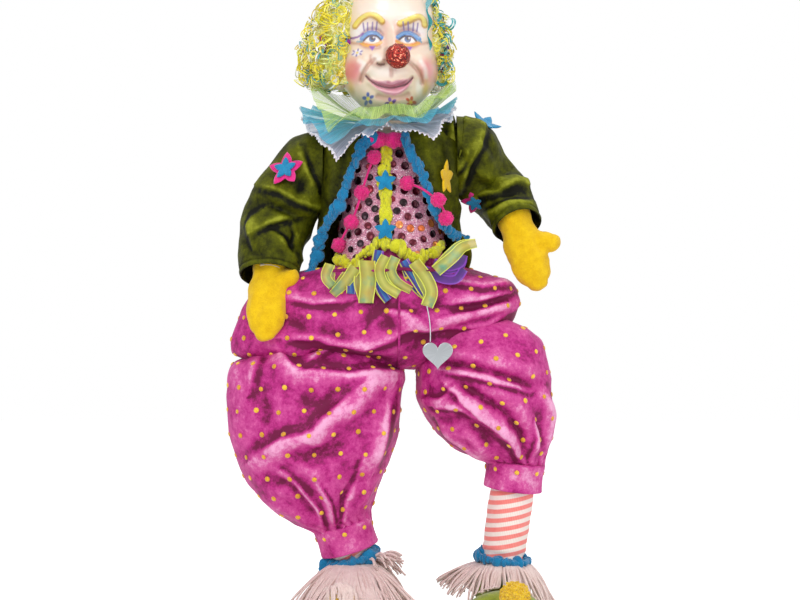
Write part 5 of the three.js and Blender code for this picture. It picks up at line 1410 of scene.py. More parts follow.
def under_ruff(points, gap=1.5):
    """Lowers points that would stand above the underside of the lowest ruff."""
    dx, dy = points[..., 0] - NECK_AXIS[0], points[..., 1] - NECK_AXIS[1]
    radius = np.hypot(dx, dy)
    edge, height = ruff_edge("lace", np.degrees(np.arctan2(dx, -dy)))
    share = np.clip((radius - RUFF_INNER) / (edge - RUFF_INNER), 0, 1)
    roof = mix(RUFFS["lace"][0], height, share**1.6) - gap
    lowered = points.copy()
    lowered[..., 2] = np.where(radius < edge + 1, np.minimum(points[..., 2], roof), points[..., 2])
    return lowered


RUFF_SWAG = {"lace": 0.0, "turquoise": 4.0, "green": 11.0}


def ruff_grid(name, flutes, deep, seed, columns=720, steps=34):
    """Rows from the neck out to the edge. Flutes rise as share^1.3 and wander in width. In front the
    upper ruffs stand up round the chin before they fall to their edge."""
    turn = np.linspace(-180, 180, columns, endpoint=False)
    radius, height = ruff_edge(name, turn)
    base = RUFFS[name][0]
    s = np.linspace(0, 1, steps)[:, None]
    a = np.radians(turn)[None, :]
    ring = np.stack([np.cos(a[0]) * 40, np.sin(a[0]) * 40], -1)
    phase = flutes * a + 1.9 * waves(ring, 42, seed)[None, :] + 0.5 * waves(ring, 20, seed + 1)[None, :]
    tall = 1 + 0.45 * waves(ring, 30, seed + 2)[None, :]
    wave = 2 / math.pi * np.arcsin(np.clip(np.sin(phase + 0.5 * s), -0.995, 0.995))
    small = np.sin(flutes * 2.6 * a + 3 * waves(ring, 25, seed + 3)[None, :] + 1.3)
    lift = deep * tall * wave * s**1.3 + deep * 0.22 * small * (0.25 + s) * smoothstep(0, 0.15, s)
    crown = smoothstep(0.4, 0.74, s) * smoothstep(1.08, 0.74, s) * bump(turn, 4, 50)[None, :]
    lift = lift * (1 - 0.5 * crown) + RUFF_SWAG[name] * crown
    out = 0.35 * deep * np.cos(phase + 0.8) * s**1.5
    r = mix(RUFF_INNER, radius[None, :], s) + out
    z = mix(base, height[None, :], s**1.6) + lift
    return np.stack([NECK_AXIS[0] + r * np.sin(a), NECK_AXIS[1] - r * np.cos(a), z], -1)


def cloth_map(grid):
    """UVs in metres of cloth: the mean run of a row round it, and the run down each column."""
    round_it = np.linalg.norm(np.diff(grid[len(grid) // 2], axis=0), axis=1)
    u = np.concatenate([[0], np.cumsum(round_it)])
    down = np.linalg.norm(np.diff(grid, axis=0), axis=-1)
    v = np.concatenate([np.zeros((1, grid.shape[1])), np.cumsum(down, 0)])
    return np.stack([np.broadcast_to(u, v.shape), v], -1) / 1000


def sheet_size(grid):
    """The flat size of a grid of cloth in metres: its area over its mean depth, and that depth."""
    a, b = np.diff(grid, axis=1)[:-1], np.diff(grid, axis=0)[:, :-1]
    area = np.linalg.norm(np.cross(a, b), axis=-1).sum() / 1e6
    deep = np.linalg.norm(np.diff(grid, axis=0), axis=-1).sum(0).mean() / 1000
    return area / deep, deep


def joined_sheets(name, grids):
    """Several grids of cloth in one mesh, each with its own map in metres."""
    points, faces, maps, total = [], [], [], 0
    for grid in grids:
        points.append(grid.reshape(-1, 3))
        maps.append(cloth_map(grid).reshape(-1, 2))
        faces.append(grid_faces(*grid.shape[:2], False) + total)
        total += len(points[-1])
    return mesh_piece(name, np.concatenate(points), np.concatenate(faces), np.concatenate(maps))


# %% Gather the ruffs
RUFF_CLOTH = {
    "lace": (white_sheer, "white_lace", 13, 3.2),
    "turquoise": (turquoise_net, "turquoise_tulle", 11, 3.6),
    "green": (green_net, "green_tulle", 12, 4.2)}


def frill_of(grid, columns=2600, deep=3.4):
    """A narrow strip along a ruff's edge, fluted every 4 mm."""
    run = np.concatenate([[0], np.cumsum(np.linalg.norm(np.diff(grid[-1], axis=0), axis=1))])
    at = np.linspace(0, run[-1], columns)
    rim, within = (np.stack([np.interp(at, run, row[:, k]) for k in range(3)], 1)
                   for row in (grid[-1], grid[-3]))
    out = rim - within
    out /= np.linalg.norm(out, axis=1)[:, None]
    up = np.cross(out, np.gradient(rim, axis=0))
    up /= np.linalg.norm(up, axis=1)[:, None]
    share = np.linspace(0, 1, 6)[:, None, None]
    flute = np.sin(2 * math.pi * at / 4.2 + 1.5 * np.sin(at / 9)) * (1 + 0.4 * np.sin(at / 5.3))
    return rim + out * (deep * share - 0.8) + up * (1.1 * flute[:, None] * share)


for seed, (name, (cloth, slot, flutes, deep)) in enumerate(RUFF_CLOTH.items(), 5):
    grid = ruff_grid(name, flutes, deep, seed * 7)
    grid = np.concatenate([grid, grid[:, :1]], 1)
    grids = [grid, frill_of(grid)] if name == "lace" else [grid]
    ruff = worn(joined_sheets(f"ruff_net_{name}", grids), "torso", cloth, slot, f"ruff_{name}")
    store(ruff, "edge", np.concatenate([np.full(g[..., 0].size, float(k)) for k, g in enumerate(grids)]))
    deep = sheet_size(grid)[1]

# %% [markdown]
# ## Vest
#
# The vest is pink glitter cloth over the trunk, standing off it at the hem, which is cut in points front
# and back. Sequins 7 mm across are sewn on it in rows about 11 mm apart.

# %% Vest shell
VEST_TOP = 436.0
HEM = [(-60, 334), (-48, 334), (-35, 324), (-8, 348), (0, 344), (25, 331), (47, 344), (62, 344)]
BUTTON_LINE = -4.0


def level_section(rows, z, angle, power):
    """The point of a level garment at a height and an angle, from rows of (height, left, right,
    depth, half depth)."""
    rows = np.array(sorted(rows), float)
    left, right, y, deep = (np.interp(z, rows[:, 0], rows[:, k]) for k in (1, 2, 3, 4))
    c, d = np.cos(angle), np.sin(angle)
    u = np.sign(c) * np.abs(c) ** (2 / power)
    v = np.sign(d) * np.abs(d) ** (2 / power)
    return np.stack([(left + right) / 2 + u * ((right - left) / 2), y + v * deep, z + 0 * angle], -1)


def front_of(rows, x, z, power):
    """The depth of a level garment's front face at a place."""
    rows = np.array(sorted(rows), float)
    left, right, y, deep = (np.interp(z, rows[:, 0], rows[:, k]) for k in (1, 2, 3, 4))
    u = np.minimum(np.abs((2 * np.asarray(x) - left - right) / (right - left)), 0.995)
    return y - deep * (1 - u**power) ** (1 / power)


def flare(z):
    """How far the vest stands off the trunk: 2.4 mm, and 7 more at its hem."""
    return 2.4 + 7 * np.clip((385 - z) / 65, 0, 1)


VEST_ROWS = [(z, left - flare(z), right + flare(z), y, deep + flare(z)) for z, left, right, y, deep in
             [(436, -32, 32, 4, 22), *[r for r in TORSO_ROWS if 320 < r[0] < 436], (320, -44, 48, 0, 33)]]


def vest_grid(columns=300, steps=90):
    """Rows from the neck to the pointed hem, a column for each angle."""
    angle = np.linspace(0, 2 * math.pi, columns, endpoint=False)
    s = np.linspace(0, 1, steps)[:, None]
    z = np.broadcast_to(mix(VEST_TOP, 335.0, s), (steps, columns))
    grid = level_section(VEST_ROWS, z, np.broadcast_to(angle, z.shape), 2.5)
    hem = np.interp(grid[-1, :, 0], [p[0] for p in HEM], [p[1] for p in HEM])
    z = mix(VEST_TOP, hem[None, :], s)
    grid = level_section(VEST_ROWS, z, np.broadcast_to(angle, z.shape), 2.5)
    grid += outward(grid) * (waves(grid, 34, 55) * 0.7 * s)[..., None]
    return under_ruff(grid)


vest_cloth = vest_grid()
inner = vest_cloth - outward(vest_cloth) * 1.6
vest_shell = np.concatenate([inner, vest_cloth[::-1]])
vest = worn(grid_piece("glitter_vest", vest_shell), "torso", pink_glitter_cloth, "sequinned_cloth", "vest")


def sequins(name, grid, normals, pitch, radius, seed):
    """Cupped foil discs in rows, each tilted a little its own way, the copper ones low on one side."""
    rng = np.random.default_rng(seed)
    down = np.concatenate([[0], np.cumsum(np.linalg.norm(np.diff(grid, axis=0), axis=-1).mean(1))])
    rows, columns = [], []
    for run in np.arange(pitch * 0.6, down[-1] - pitch * 0.3, pitch):
        row = np.interp(run, down, np.arange(len(grid)))
        step = np.linalg.norm(np.roll(grid[int(row)], -1, 0) - grid[int(row)], axis=1)
        count = max(int(round(step.sum() / pitch)), 3)
        at = np.arange(count) * step.sum() / count
        columns.append(np.interp(at % step.sum(), np.concatenate([[0], np.cumsum(step)]),
                                 np.arange(grid.shape[1] + 1)))
        rows.append(np.full(count, row))
    rows, columns = np.concatenate(rows), np.concatenate(columns)
    rows = np.clip(rows + rng.uniform(-0.8, 0.8, len(rows)), 0, len(grid) - 1.01)
    centres, out = sample(grid, rows, columns), sample(normals, rows, columns)
    sides = 14
    angle = np.linspace(0, 2 * math.pi, sides, endpoint=False)
    radii, heights = [0.01, 0.5, 0.8, 1.0, 0.96], [0.1, 0.12, 0.2, 0.34, 0.3]
    disc = np.concatenate([np.stack([r * np.cos(angle), r * np.sin(angle), np.full(sides, h)], -1)
                           for r, h in zip(radii, heights)])
    faces = [grid_faces(len(radii), sides, True)]
    piece = scatter(name, disc, faces, centres + out * 0.2, facing(out + rng.normal(0, 0.09, out.shape)),
                    radius * rng.uniform(0.94, 1.06, len(centres)))
    copper = (centres[:, 0] > 8) & (centres[:, 2] < 366) & (rng.uniform(0, 1, len(centres)) < 0.65)
    tone = np.where(copper, rng.uniform(0.8, 1, len(centres)), rng.uniform(0, 0.76, len(centres)))
    store(piece, "tone", np.repeat(tone, len(disc)))
    return piece


worn(sequins("vest_sequins", vest_cloth, outward(vest_cloth), 10.6, 3.4, 15), "torso", sequin_foil,
     "sequinned_cloth")

# %% [markdown]
# A lime braid runs down the button line and along the points of the hem.

# %% Vest braid
def laid_on(rows, points, power, lift):
    """A path through points of (x, z) laid on a garment's front, lifted off it."""
    path = even(along(points, 200), 200) if len(points) > 2 else even(points, 200)
    return np.stack([path[:, 0], front_of(rows, path[:, 0], path[:, 1], power) - lift, path[:, 1]], -1)


centre_braid = laid_on(VEST_ROWS, [(BUTTON_LINE, 432), (BUTTON_LINE, 347)], 2.5, 2.2)
hem_path = even(np.array(HEM[1:-1], float), 260)
hem_braid = np.stack([hem_path[:, 0], front_of(VEST_ROWS, hem_path[:, 0], hem_path[:, 1], 2.5) - 2.0,
                      hem_path[:, 1]], -1)
worn(ball_row("vest_centre_braid", centre_braid, 1.9, 3, 2.7, 3.2, 81), "torso", lime_bobbles,
     "yellow_pom_braid", "vest_trim")
worn(ball_row("vest_hem_braid", hem_braid, 2.1, 2, 3.7, 4.0, 82), "torso", lime_bobbles, "yellow_pom_braid")

# %% [markdown]
# ## Jacket
#
# The jacket is olive velvet, cut away in front from the neck to the hips, with a blue braid on its
# edges. The shell is worked out level by level: each level runs from the right front edge
# round the back to the left one. Where the armholes are, its sides are cut off flat, so that the arms
# can swing against them.

# %% Jacket shapes
JACKET_ROWS = [
    (458, -30, 50, 8, 20), (450, -50, 62, 6, 28), (438, -64, 66, 4, 36), (418, -66, 68, 3, 42),
    (392, -64, 66, 2, 44), (366, -62, 62, 1, 44), (340, -66, 66, 0, 45), (313, -74, 70, 0, 46)]
JACKET_POWER = 2.6
JACKET_WALL = 60.6
FRONT_EDGE = {
    "right": [(-17, 446), (-19, 439), (-32, 414), (-44, 382), (-59, 355), (-68, 326), (-70, 313)],
    "left": [(10, 446), (12, 439), (23, 416), (36, 386), (45, 364), (58, 352), (69, 350)]}
JACKET_FOLDS = [
    ([(-60, 452), (-52, 430), (-50, 404), (-56, 380)], 6, 3.0),
    ([(-44, 440), (-40, 415), (-46, 390)], 4, -2.5),
    ([(30, 440), (34, 418), (44, 396)], 4.5, 2.5), ([(48, 446), (52, 420), (56, 396)], 5, -3.0),
    ([(-62, 372), (-66, 350), (-72, 322)], 6, 2.5)]


def jacket_grid(columns=320, steps=130):
    """Levels from the collar to the hem. The front angle at each level comes from the edge's x."""
    top, hem = 452.0, 313.0
    s = np.linspace(0, 1, steps)[:, None]
    t = np.linspace(0, 1, columns)[None, :]
    left_hem = 350.0
    z = mix(top, mix(hem, left_hem, smoothstep(0.80, 0.99, t)), s)
    rows = np.array(sorted(JACKET_ROWS), float)
    ends = []
    for side in SIDES:
        edge = np.array(sorted(FRONT_EDGE[side], key=lambda p: p[1]), float)
        z_edge = z[:, [0 if side == "right" else -1]]
        x = np.interp(z_edge, edge[:, 1], edge[:, 0])
        left, right = (np.interp(z_edge, rows[:, 0], rows[:, k]) for k in (1, 2))
        u = np.clip((2 * x - left - right) / (right - left), -1, 1)
        angle = np.arccos(np.sign(u) * np.abs(u) ** (JACKET_POWER / 2))
        ends.append(-angle)
    start, stop = ends[0], ends[1] - 2 * math.pi
    angle = mix(start, stop, t)
    grid = level_section(JACKET_ROWS, z, angle, JACKET_POWER)
    normals = outward(grid, wrap=False)
    height = folds(grid, normals, JACKET_FOLDS, 61, 0.8, 30) * smoothstep(0, 0.05, t) * smoothstep(1, 0.95, t)
    swing = 2.6 * np.sin(t * 46 + 2 * np.sin(t * 9)) * s**2.2
    height += swing * smoothstep(0.02, 0.1, t) * smoothstep(0.98, 0.9, t)
    grid = grid + normals * height[..., None]
    clear = smoothstep(376, 388, grid[..., 2])
    grid[..., 0] = mix(grid[..., 0], np.clip(grid[..., 0], -JACKET_WALL, JACKET_WALL), clear)
    return under_ruff(grid), np.clip(fold_shade_tone(height), 0, 1)


jacket_cloth, jacket_shade = jacket_grid()
inner = jacket_cloth - outward(jacket_cloth, wrap=False) * 1.8
jacket_shell = np.concatenate([inner, jacket_cloth[::-1]])
jacket = worn(grid_piece("velvet_jacket", jacket_shell, wrap=False), "torso", olive_velvet, "olive_velvet",
              "jacket_body")
# Painted light: the outside takes the fold shade, the inside the bright end of it, from 0.6 to 0.9.
store(jacket, "fold_shade", np.concatenate([jacket_shade * 0.3 + 0.6, jacket_shade[::-1]]))

for side in SIDES:
    edge = laid_on(JACKET_ROWS, FRONT_EDGE[side][1:], JACKET_POWER, 1.8)
    edge = under_ruff(edge, 3)
    worn(strands(f"jacket_cord_{side}", [even(edge, 90)], 2.0, 10, 1.0), "torso", blue_bobbles, "blue_braid")
    worn(ball_row(f"jacket_braid_{side}", edge, 2.0, 2, 3.0, 3.3, 91 + OUT[side], big=4), "torso",
         blue_bobbles, "blue_braid", f"jacket_trim_{side}")

shoulder_rows = [(36, 6, 441, 12, 22), (48, 6, 443.5, 14, 25), (59.0, 5, 445, 16, 28)]
shoulder = under_ruff(stuffed(shoulder_rows, (True, False), 90, 60, 9))
padding = worn(grid_piece("velvet_shoulder_left", shoulder, capped=True), "torso", olive_velvet,
               "olive_velvet")
store(padding, "fold_shade", np.clip(0.45 + 0.4 * waves(shoulder, 14, 77), 0, 1))

# %% Pompoms on the jacket front
POMS = {"right": [(-14, 421, 0), (-25, 390, 0), (-34, 364, 0), (-45, 344, 0)],
        "left": [(15, 398, 0), (42, 383, 1), (49, 367, 1)]}
for side in SIDES:
    seats = np.array([(x, (front_of(JACKET_ROWS, x, z, JACKET_POWER) - 5.8 if on_braid
                           else front_of(VEST_ROWS, x, z, 2.5)) - 6.8, z) for x, z, on_braid in POMS[side]])
    worn(pompoms(f"pompoms_{side}", seats, 7.0, 210, 0.13, 12), "torso", pink_yarn, "pink_pompom",
         f"pompom_string_{side}")
    sag = even(along(seats, 60), 60)
    sag[:, 2] += 1.5 * np.sin(np.linspace(0, math.pi * (len(seats) - 1), 60))
    worn(strands(f"pompom_cord_{side}", [sag], 1.1, 8, 1.0), "torso", pink_yarn, "pink_pompom")


# %% [markdown]
# ## Sleeves and mittens
#
# A sleeve starts flat against the armhole and is a baggy tube down to the wrist. Its elbow crumples on
# the inside of the bend. The hem is turned in and stitched 10 mm above its edge.

# %% Sleeves
SLEEVE = {
    "right": [(-46, 4, 422, 28.6, 28.6), (-59, 4, 417.5, 29.5, 29.5), (-72, 4, 413, 31, 31),
              (-84, 3, 396, 31, 30), (-97, 1, 374, 32, 31), (-105, -8, 348, 30, 29),
              (-106, -20, 328, 28, 26), (-106.5, -26, 317, 26, 24)],
    "left": [(46, 3, 431.5, 31, 30.5), (59.5, 4.5, 427, 32, 31.5), (68, 6, 424, 33, 32),
             (81, 17, 410, 28, 28), (94, 23, 397, 27, 27), (103, 8, 384, 25, 25),
             (109, -6, 371, 23, 23), (113, -15, 361, 22, 22)]}
SLEEVE_FOLDS = {
    "right": [
        ([(-118, 392), (-98, 384), (-72, 374), (-50, 380)], 5, 4.5),
        ([(-112, 384), (-92, 374), (-74, 366)], 4, -4.0),
        ([(-66, 440), (-84, 424), (-96, 404)], 7, 2.5), ([(-62, 420), (-76, 400), (-84, 384)], 4.5, -3.5),
        ([(-128, 372), (-116, 352), (-104, 346)], 6, 3.5), ([(-80, 366), (-84, 346), (-96, 334)], 5, -3.0),
        ([(-132, 356), (-122, 338), (-108, 334)], 4, -2.5)],
    "left": [
        ([(62, 452), (76, 436), (90, 414)], 7, 3.0), ([(54, 436), (66, 418), (78, 402)], 4.5, -3.5),
        ([(68, 446), (88, 430), (104, 408)], 5, -2.5), ([(70, 412), (90, 404), (112, 398)], 5, 3.5),
        ([(80, 398), (98, 392), (118, 390)], 4, -3.5), ([(88, 384), (104, 380), (122, 378)], 4.5, 2.5)]}


SLEEVE_LAPS = {
    "right": [
        ([(257, 185), (266, 188), (280, 192), (296, 201), (308, 204.5), (322, 206)], 9, 5.0, 1),
        ([(301, 149), (305.5, 164), (311.5, 178), (316, 189)], 6, 2.5, -1),
        ([(251, 243), (250, 229), (253, 217), (261, 210)], 6, 2.5, -1),
        ([(254, 234), (269, 225), (284, 219), (297, 217)], 7, 4.0, 1),
        ([(271, 231), (281, 238), (291, 249), (296, 260)], 6, 3.0, -1),
        ([(293, 225), (297, 236), (294.5, 249)], 4, 2.5, 1)],
    "left": [
        ([(448, 110), (468, 117), (486, 121)], 5, 2.5, -1),
        ([(486, 121), (484, 133), (480, 145), (472, 159), (461, 188)], 7, 4.0, -1),
        ([(468, 154), (463, 165), (453, 174)], 5, 3.0, -1),
        ([(439, 136), (445, 151), (438, 156)], 4, 2.5, 1),
        ([(453, 194), (472, 197), (499, 191), (517, 183), (528, 184)], 8, 4.0, 1),
        ([(512, 175), (527, 179), (533, 196)], 5, 2.5, -1),
        ([(484, 213), (511, 202), (535, 200)], 5, 2.0, -1)]}


# A sleeve's cloth stays outside this distance from the middle, and the jacket's inside its own wall.
ARMHOLE = 59.4


def sleeve_grid(side, sides=200, steps=150):
    """Rings along the arm, pushed out by folds, then a hem that turns 14 mm back inside."""
    line = along(SLEEVE[side], steps)
    grid = tube(line[:, :3], line[:, 3], line[:, 4], sides)
    normals = outward(grid)
    down = np.linspace(0, 1, steps)[:, None]
    height = folds(grid, normals, SLEEVE_FOLDS[side], 71 + OUT[side], 1.0, 24)
    lift, lap_shade = laps(grid, normals, SLEEVE_LAPS[side])
    height = height + lift
    height *= smoothstep(0, 0.16, down) * mix(1, 0.45, smoothstep(0.85, 1, down))
    height += 0.5 * bump(down, 0.965, 0.02) - 1.0 * bump(down, 0.93, 0.008) * smoothstep(0, 0.1, down)
    moved = grid + normals * height[..., None]
    wall = OUT[side] * ARMHOLE
    moved[..., 0] = np.minimum(moved[..., 0], wall) if side == "right" else np.maximum(moved[..., 0], wall)
    # Painted light for the velvet: shade in the folds, highlight on the ridges and laps.
    tone = np.clip(fold_shade_tone(height) + lap_shade, 0, 1)
    middle, tip = line[-1, :3], unit(line[-1, :3] - line[-3, :3])
    inside = []
    for back, share in ((0.8, 0.985), (0.2, 0.95), (-3, 0.92), (-8, 0.88), (-14, 0.82)):
        inside.append(middle + (moved[-1] - middle) * share + tip * back)
    # The five turned-in rows take a dark 0.1: painted shade inside the sleeve's mouth.
    return np.concatenate([moved, inside]), np.concatenate([tone, np.full((5, sides), 0.1)])


for side in SIDES:
    grid, tone = sleeve_grid(side)
    sleeve = worn(grid_piece(f"velvet_sleeve_{side}", grid, capped=True), None, olive_velvet,
                  "olive_velvet", f"sleeve_{side}")
    store(sleeve, "fold_shade", tone)
    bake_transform(sleeve)

# %% [markdown]
# Mittens are two pieces of brushed felt sewn round the edge and stuffed.

# %% Mittens
HAND = {"right": ((-109, -50, 262), (-88, -34, 316)), "left": ((132, -26, 306), (143, -22, 346))}


def mitten(side):
    """A flat stuffed hand and a thumb, joined, with the seam pressed in round the edge."""
    wrist = np.array(WRIST[side], float)
    tip, thumb = (np.array(p, float) for p in HAND[side])
    rows = [(*between(wrist, tip, -0.26), 15.6, 15.2), (*between(wrist, tip, -0.08), 15.4, 14.6),
            (*between(wrist, tip, 0.06), 15, 12.4),
            (*between(wrist, tip, 0.25), 17.6, 12.4), (*between(wrist, tip, 0.6), 17.8, 12.4),
            (*between(wrist, tip, 0.82), 14.6, 10), (*between(wrist, tip, 0.93), 9.5, 6.5)]
    palm = stuffed(rows, (False, True), 60, 80, 3, 0.5)
    root = between(wrist, tip, 0.2)
    digit = stuffed([(*root, 8.6, 8.2), (*between(root, thumb, 0.6), 9, 8.6), (*thumb, 8.4, 8)],
                    (True, True), 36, 40, 5, 0.4)
    piece = joined(f"felt_mitten_{side}", [palm, digit], 1.3, 5)
    points = vertices(piece)
    way = unit(tip - wrist)
    flat = unit(np.cross(way, (0, 1, 0)))
    deep = np.cross(flat, way)
    depth = (points - wrist) @ deep
    normal = np.array([v.normal for v in piece.data.vertices])
    edge = bump(depth, 0, 0.9) * smoothstep(0.35, 0.8, np.abs(normal @ flat) + np.abs(normal @ way))
    points -= normal * (edge * 0.8)[:, None]
    points += normal * (waves(points, 9, 44) * 0.3)[:, None]
    move_vertices(piece, points)
    return piece


for side in SIDES:
    hand = worn(mitten(side), f"forearm_{side}", yellow_felt, "yellow_felt", f"mitten_{side}")

# %% [markdown]
# ## Head
#
# The head is cast resin, painted by hand and glossy. Level rings give the skull, and a list of bumps
# and hollows gives the features, each one across, up, how wide, how tall and how far out. The mesh is
# about half a millimetre fine in front, because the paint is kept on its points.

# %% Head shape
HEAD_TURN = math.radians(6)
HEAD_ROWS = [
    (463.5, 12, -30, 12), (467, 22, -41, 22), (476, 32.5, -46, 34), (488, 41.5, -47.5, 42),
    (500, 44.2, -48, 47), (512, 43, -46, 50), (526, 40.4, -45, 52), (540, 40, -46.5, 52),
    (555, 38.5, -44.5, 50), (570, 34.5, -38.5, 44), (582, 27, -29, 34), (590, 15, -16, 20),
    (593.4, 5, -5, 8)]
FEATURES = [
    (0, 508, 6, 8, 13), (0, 524, 5, 10, 6), (-12.5, 504.5, 5.8, 5.2, 11), (11, 504, 5.5, 5, 7),
    (-28, 500, 10, 10, 11), (28, 500, 10, 10, 11), (-18, 543, 12, 3.8, 4.5), (18, 543, 12, 3.8, 4.5),
    (-15, 529, 9, 6.5, -6), (15, 529, 9, 6.5, -6), (0, 471, 11, 6, 6), (-20, 485, 5, 9, -3),
    (20, 485, 5, 9, -3), (-16, 526.5, 7, 4, 4), (16, 526.5, 7, 4, 4), (0, 492, 14, 6, 3.5),
    (-30, 515, 6, 5, -2), (30, 515, 6, 5, -2)]
CREASES = [
    ([(374, 60), (368, 66), (363.5, 73), (361, 80)], 1.8, 2.6),
    ([(408, 62), (416, 68), (421, 76), (422, 82)], 1.8, 2.6),
    ([(366, 75.7), (371, 80.5), (377.5, 84.8), (385, 87.2), (392, 87.8), (400, 86), (406.6, 83.6),
      (412, 77.5)], 1.1, 2.6),
    ([(372, 80), (378, 82.5), (386, 84), (391, 84.8), (397, 83.4), (406, 80)], 1.7, -1.8),
    ([(370, 82.5), (377, 88.5), (385, 91.4), (394.5, 92.6), (402, 90.5), (409, 85)], 2.4, -3.0),
    ([(378, 96), (386, 98), (394, 98.5), (402, 97), (408, 94)], 2.4, 2.0),
    ([(355, 24.2), (360.6, 18.6), (368, 15.2), (375, 16.4), (382, 22)], 2.6, -3.0),
    ([(400, 24), (409, 20.6), (418.7, 16.2), (423.6, 18.6)], 2.6, -3.0),
    ([(363, 36.5), (367, 33.6), (371.5, 32.4), (376, 33.4), (380.6, 37)], 1.5, -1.6),
    ([(398.8, 37), (403, 33.8), (407.8, 32.6), (413, 33.8), (418, 37)], 1.5, -1.6),
    ([(362, 33), (367, 29.6), (372, 28.6), (378, 30), (382, 34)], 1.5, 1.8),
    ([(398, 34), (402, 30), (408, 28.8), (414, 30), (419, 33.5)], 1.5, 1.8),
    ([(361, 43), (366, 46.5), (372, 48), (379, 47)], 1.6, 1.2),
    ([(399, 47), (406, 48), (413, 46.6), (418, 43)], 1.6, 1.2),
    ([(384, 64.8), (380.5, 65.6), (377, 64.4)], 1.3, 1.8), ([(391.5, 68), (391.5, 76)], 1.6, 1.0),
    ([(349, 40), (356, 42), (361, 42)], 1.0, 0.8), ([(428, 40), (423, 42), (420, 42)], 1.0, 0.8)]


def turn_head(points):
    """From the head's own frame to the doll's: turned 6 degrees about the neck, then set over."""
    c, s = math.cos(HEAD_TURN), math.sin(HEAD_TURN)
    x, y = points[..., 0], points[..., 1] - 4
    return np.stack([c * x - s * y - 1.5, s * x + c * y + 4, points[..., 2]], -1)


def head_grid(rows=236, front=260, back=64):
    """Level rings in the head's frame, denser in front, with the features pushed out."""
    angle = np.concatenate([np.linspace(math.pi, 2 * math.pi, front, endpoint=False),
                            np.linspace(0, math.pi, back, endpoint=False)])
    r = curve_through(HEAD_ROWS, np.linspace(0, len(HEAD_ROWS) - 1, 900))
    r = even(r, 900)
    r = r[np.linspace(0, 899, rows).astype(int)]
    c, d = np.cos(angle)[None, :], np.sin(angle)[None, :]
    x = c * r[:, [1]]
    z = np.broadcast_to(r[:, [0]], x.shape)
    y = np.where(d < 0, d * -r[:, [2]], d * r[:, [3]])
    for fx, fz, sx, sz, out in FEATURES:
        y = y + np.where(d < 0, d, 0) * out * np.exp(-(((x - fx) / sx) ** 2) - ((z - fz) / sz) ** 2)
    return np.stack([x, y, z], -1)


face = head_grid()

# %% [markdown]
# ### Face paint
#
# The paint is laid over a pearly flesh ground, one shape after another: a shape is a line with a width,
# a filled outline or an oval, all given on the front of the head in millimetres. Edges are feathered
# over 0.5 mm, as a brush leaves them. Besides the doll's make-up, some shapes are painted light:
# painted shade beside and under the nose, in the nostril, in the creases and at the sides of the face,
# and painted highlights on the nose, cheeks, forehead, lower lip and eyes.

# %% Paint the face
RESIN_GROUND = "f4dcc6"
face_turned = turn_head(face)
FX, FZ = face_turned[..., 0], face_turned[..., 2]
front_only = smoothstep(0.15, -0.1, grid_normals(face)[..., 1] * np.sign(
    (grid_normals(face) * (face - face.mean(1, keepdims=True))).sum()))
paint = np.broadcast_to(np.array(linear(RESIN_GROUND))[:3], (*FX.shape, 3)).copy()


def photo_place(points):
    """Pixels of the picture to millimetres on the front of the head, which is nearer than the trunk, so
    the distance from the picture's centre is a little less."""
    return EYE + (on_front(points) - EYE) * FACE_SCALE


for line, width, sink in CREASES:
    distance = distance_to(along(photo_place(line), 30), FX, FZ)
    face_turned[..., 1] += sink * front_only * np.exp(-(distance / width) ** 2)


def lay(colour, cover):
    """Paints a colour where cover is 1, on the front of the head only."""
    global paint
    cover = np.clip(cover, 0, 1)[..., None] * front_only[..., None]
    paint = paint * (1 - cover) + np.array(linear(colour))[:3] * cover


def stroke(points, width, soft=0.5):
    """A line through pixels of the picture, width mm wide."""
    line = photo_place(points)
    line = along(line, 40) if len(line) > 2 else line
    return smoothstep(width / 2 + soft, width / 2 - soft * 0.4, distance_to(line, FX, FZ))


def oval_spot(centre, across, up, lean=0.0, soft=0.45):
    """A filled oval: centre and half sizes in pixels, leaned by an angle in degrees."""
    cx, cz = photo_place(centre)
    c, s = math.cos(math.radians(lean)), math.sin(math.radians(lean))
    dx, dz = FX - cx, FZ - cz
    u, v = (c * dx + s * dz) / (across * PIXEL), (-s * dx + c * dz) / (up * PIXEL)
    r = np.hypot(u, v)
    blur = soft / (min(across, up) * PIXEL)
    return smoothstep(1 + blur, 1 - blur, r)


def filled(points, soft=0.45):
    """Inside a closed outline of pixels, by counting how often a ray to the right crosses it."""
    outline = photo_place(points)
    inside = np.zeros(FX.shape, bool)
    for (ax, az), (bx, bz) in zip(outline, np.roll(outline, -1, 0)):
        crosses = ((az > FZ) != (bz > FZ)) & (FX < (bx - ax) * (FZ - az) / (bz - az + 1e-12) + ax)
        inside ^= crosses
    edge = distance_to(np.concatenate([outline, outline[:1]]), FX, FZ)
    return np.where(inside, 0.5 + 0.5 * np.clip(edge / soft, 0, 1), 0.5 - 0.5 * np.clip(edge / soft, 0, 1))


lay("e66c7c", 0.9 * oval_spot((351, 70), 11, 12, soft=6))
lay("e26c74", 0.9 * oval_spot((428, 70), 8, 12, soft=5))
# Painted shadow between the nose's side and the nose ball, painted shadow under the ball, painted shade round
# the nose's side, then a painted highlight on it.
lay("9c6450", 0.6 * stroke([(387, 50), (386, 58), (385, 64), (380, 67)], 4.0, 2.2))
lay("b0745c", 0.55 * oval_spot((393, 69.5), 9, 3.2, soft=2.5))
lay("a86c5c", 0.55 * stroke([(370.6, 56), (371, 61.6), (374.4, 66), (380, 67.6)], 1.8, 1.8))
lay("fffaf2", 0.95 * oval_spot((377.6, 58), 4.6, 4.4, soft=2.5))
# Painted shade down both sides of the face.
lay("c47a68", 0.5 * stroke([(343, 52), (342, 64), (344, 78), (350, 90)], 4.0, 3.5))
lay("c47a68", 0.5 * stroke([(436, 52), (437, 64), (434, 78), (430, 88)], 3.0, 3.5))
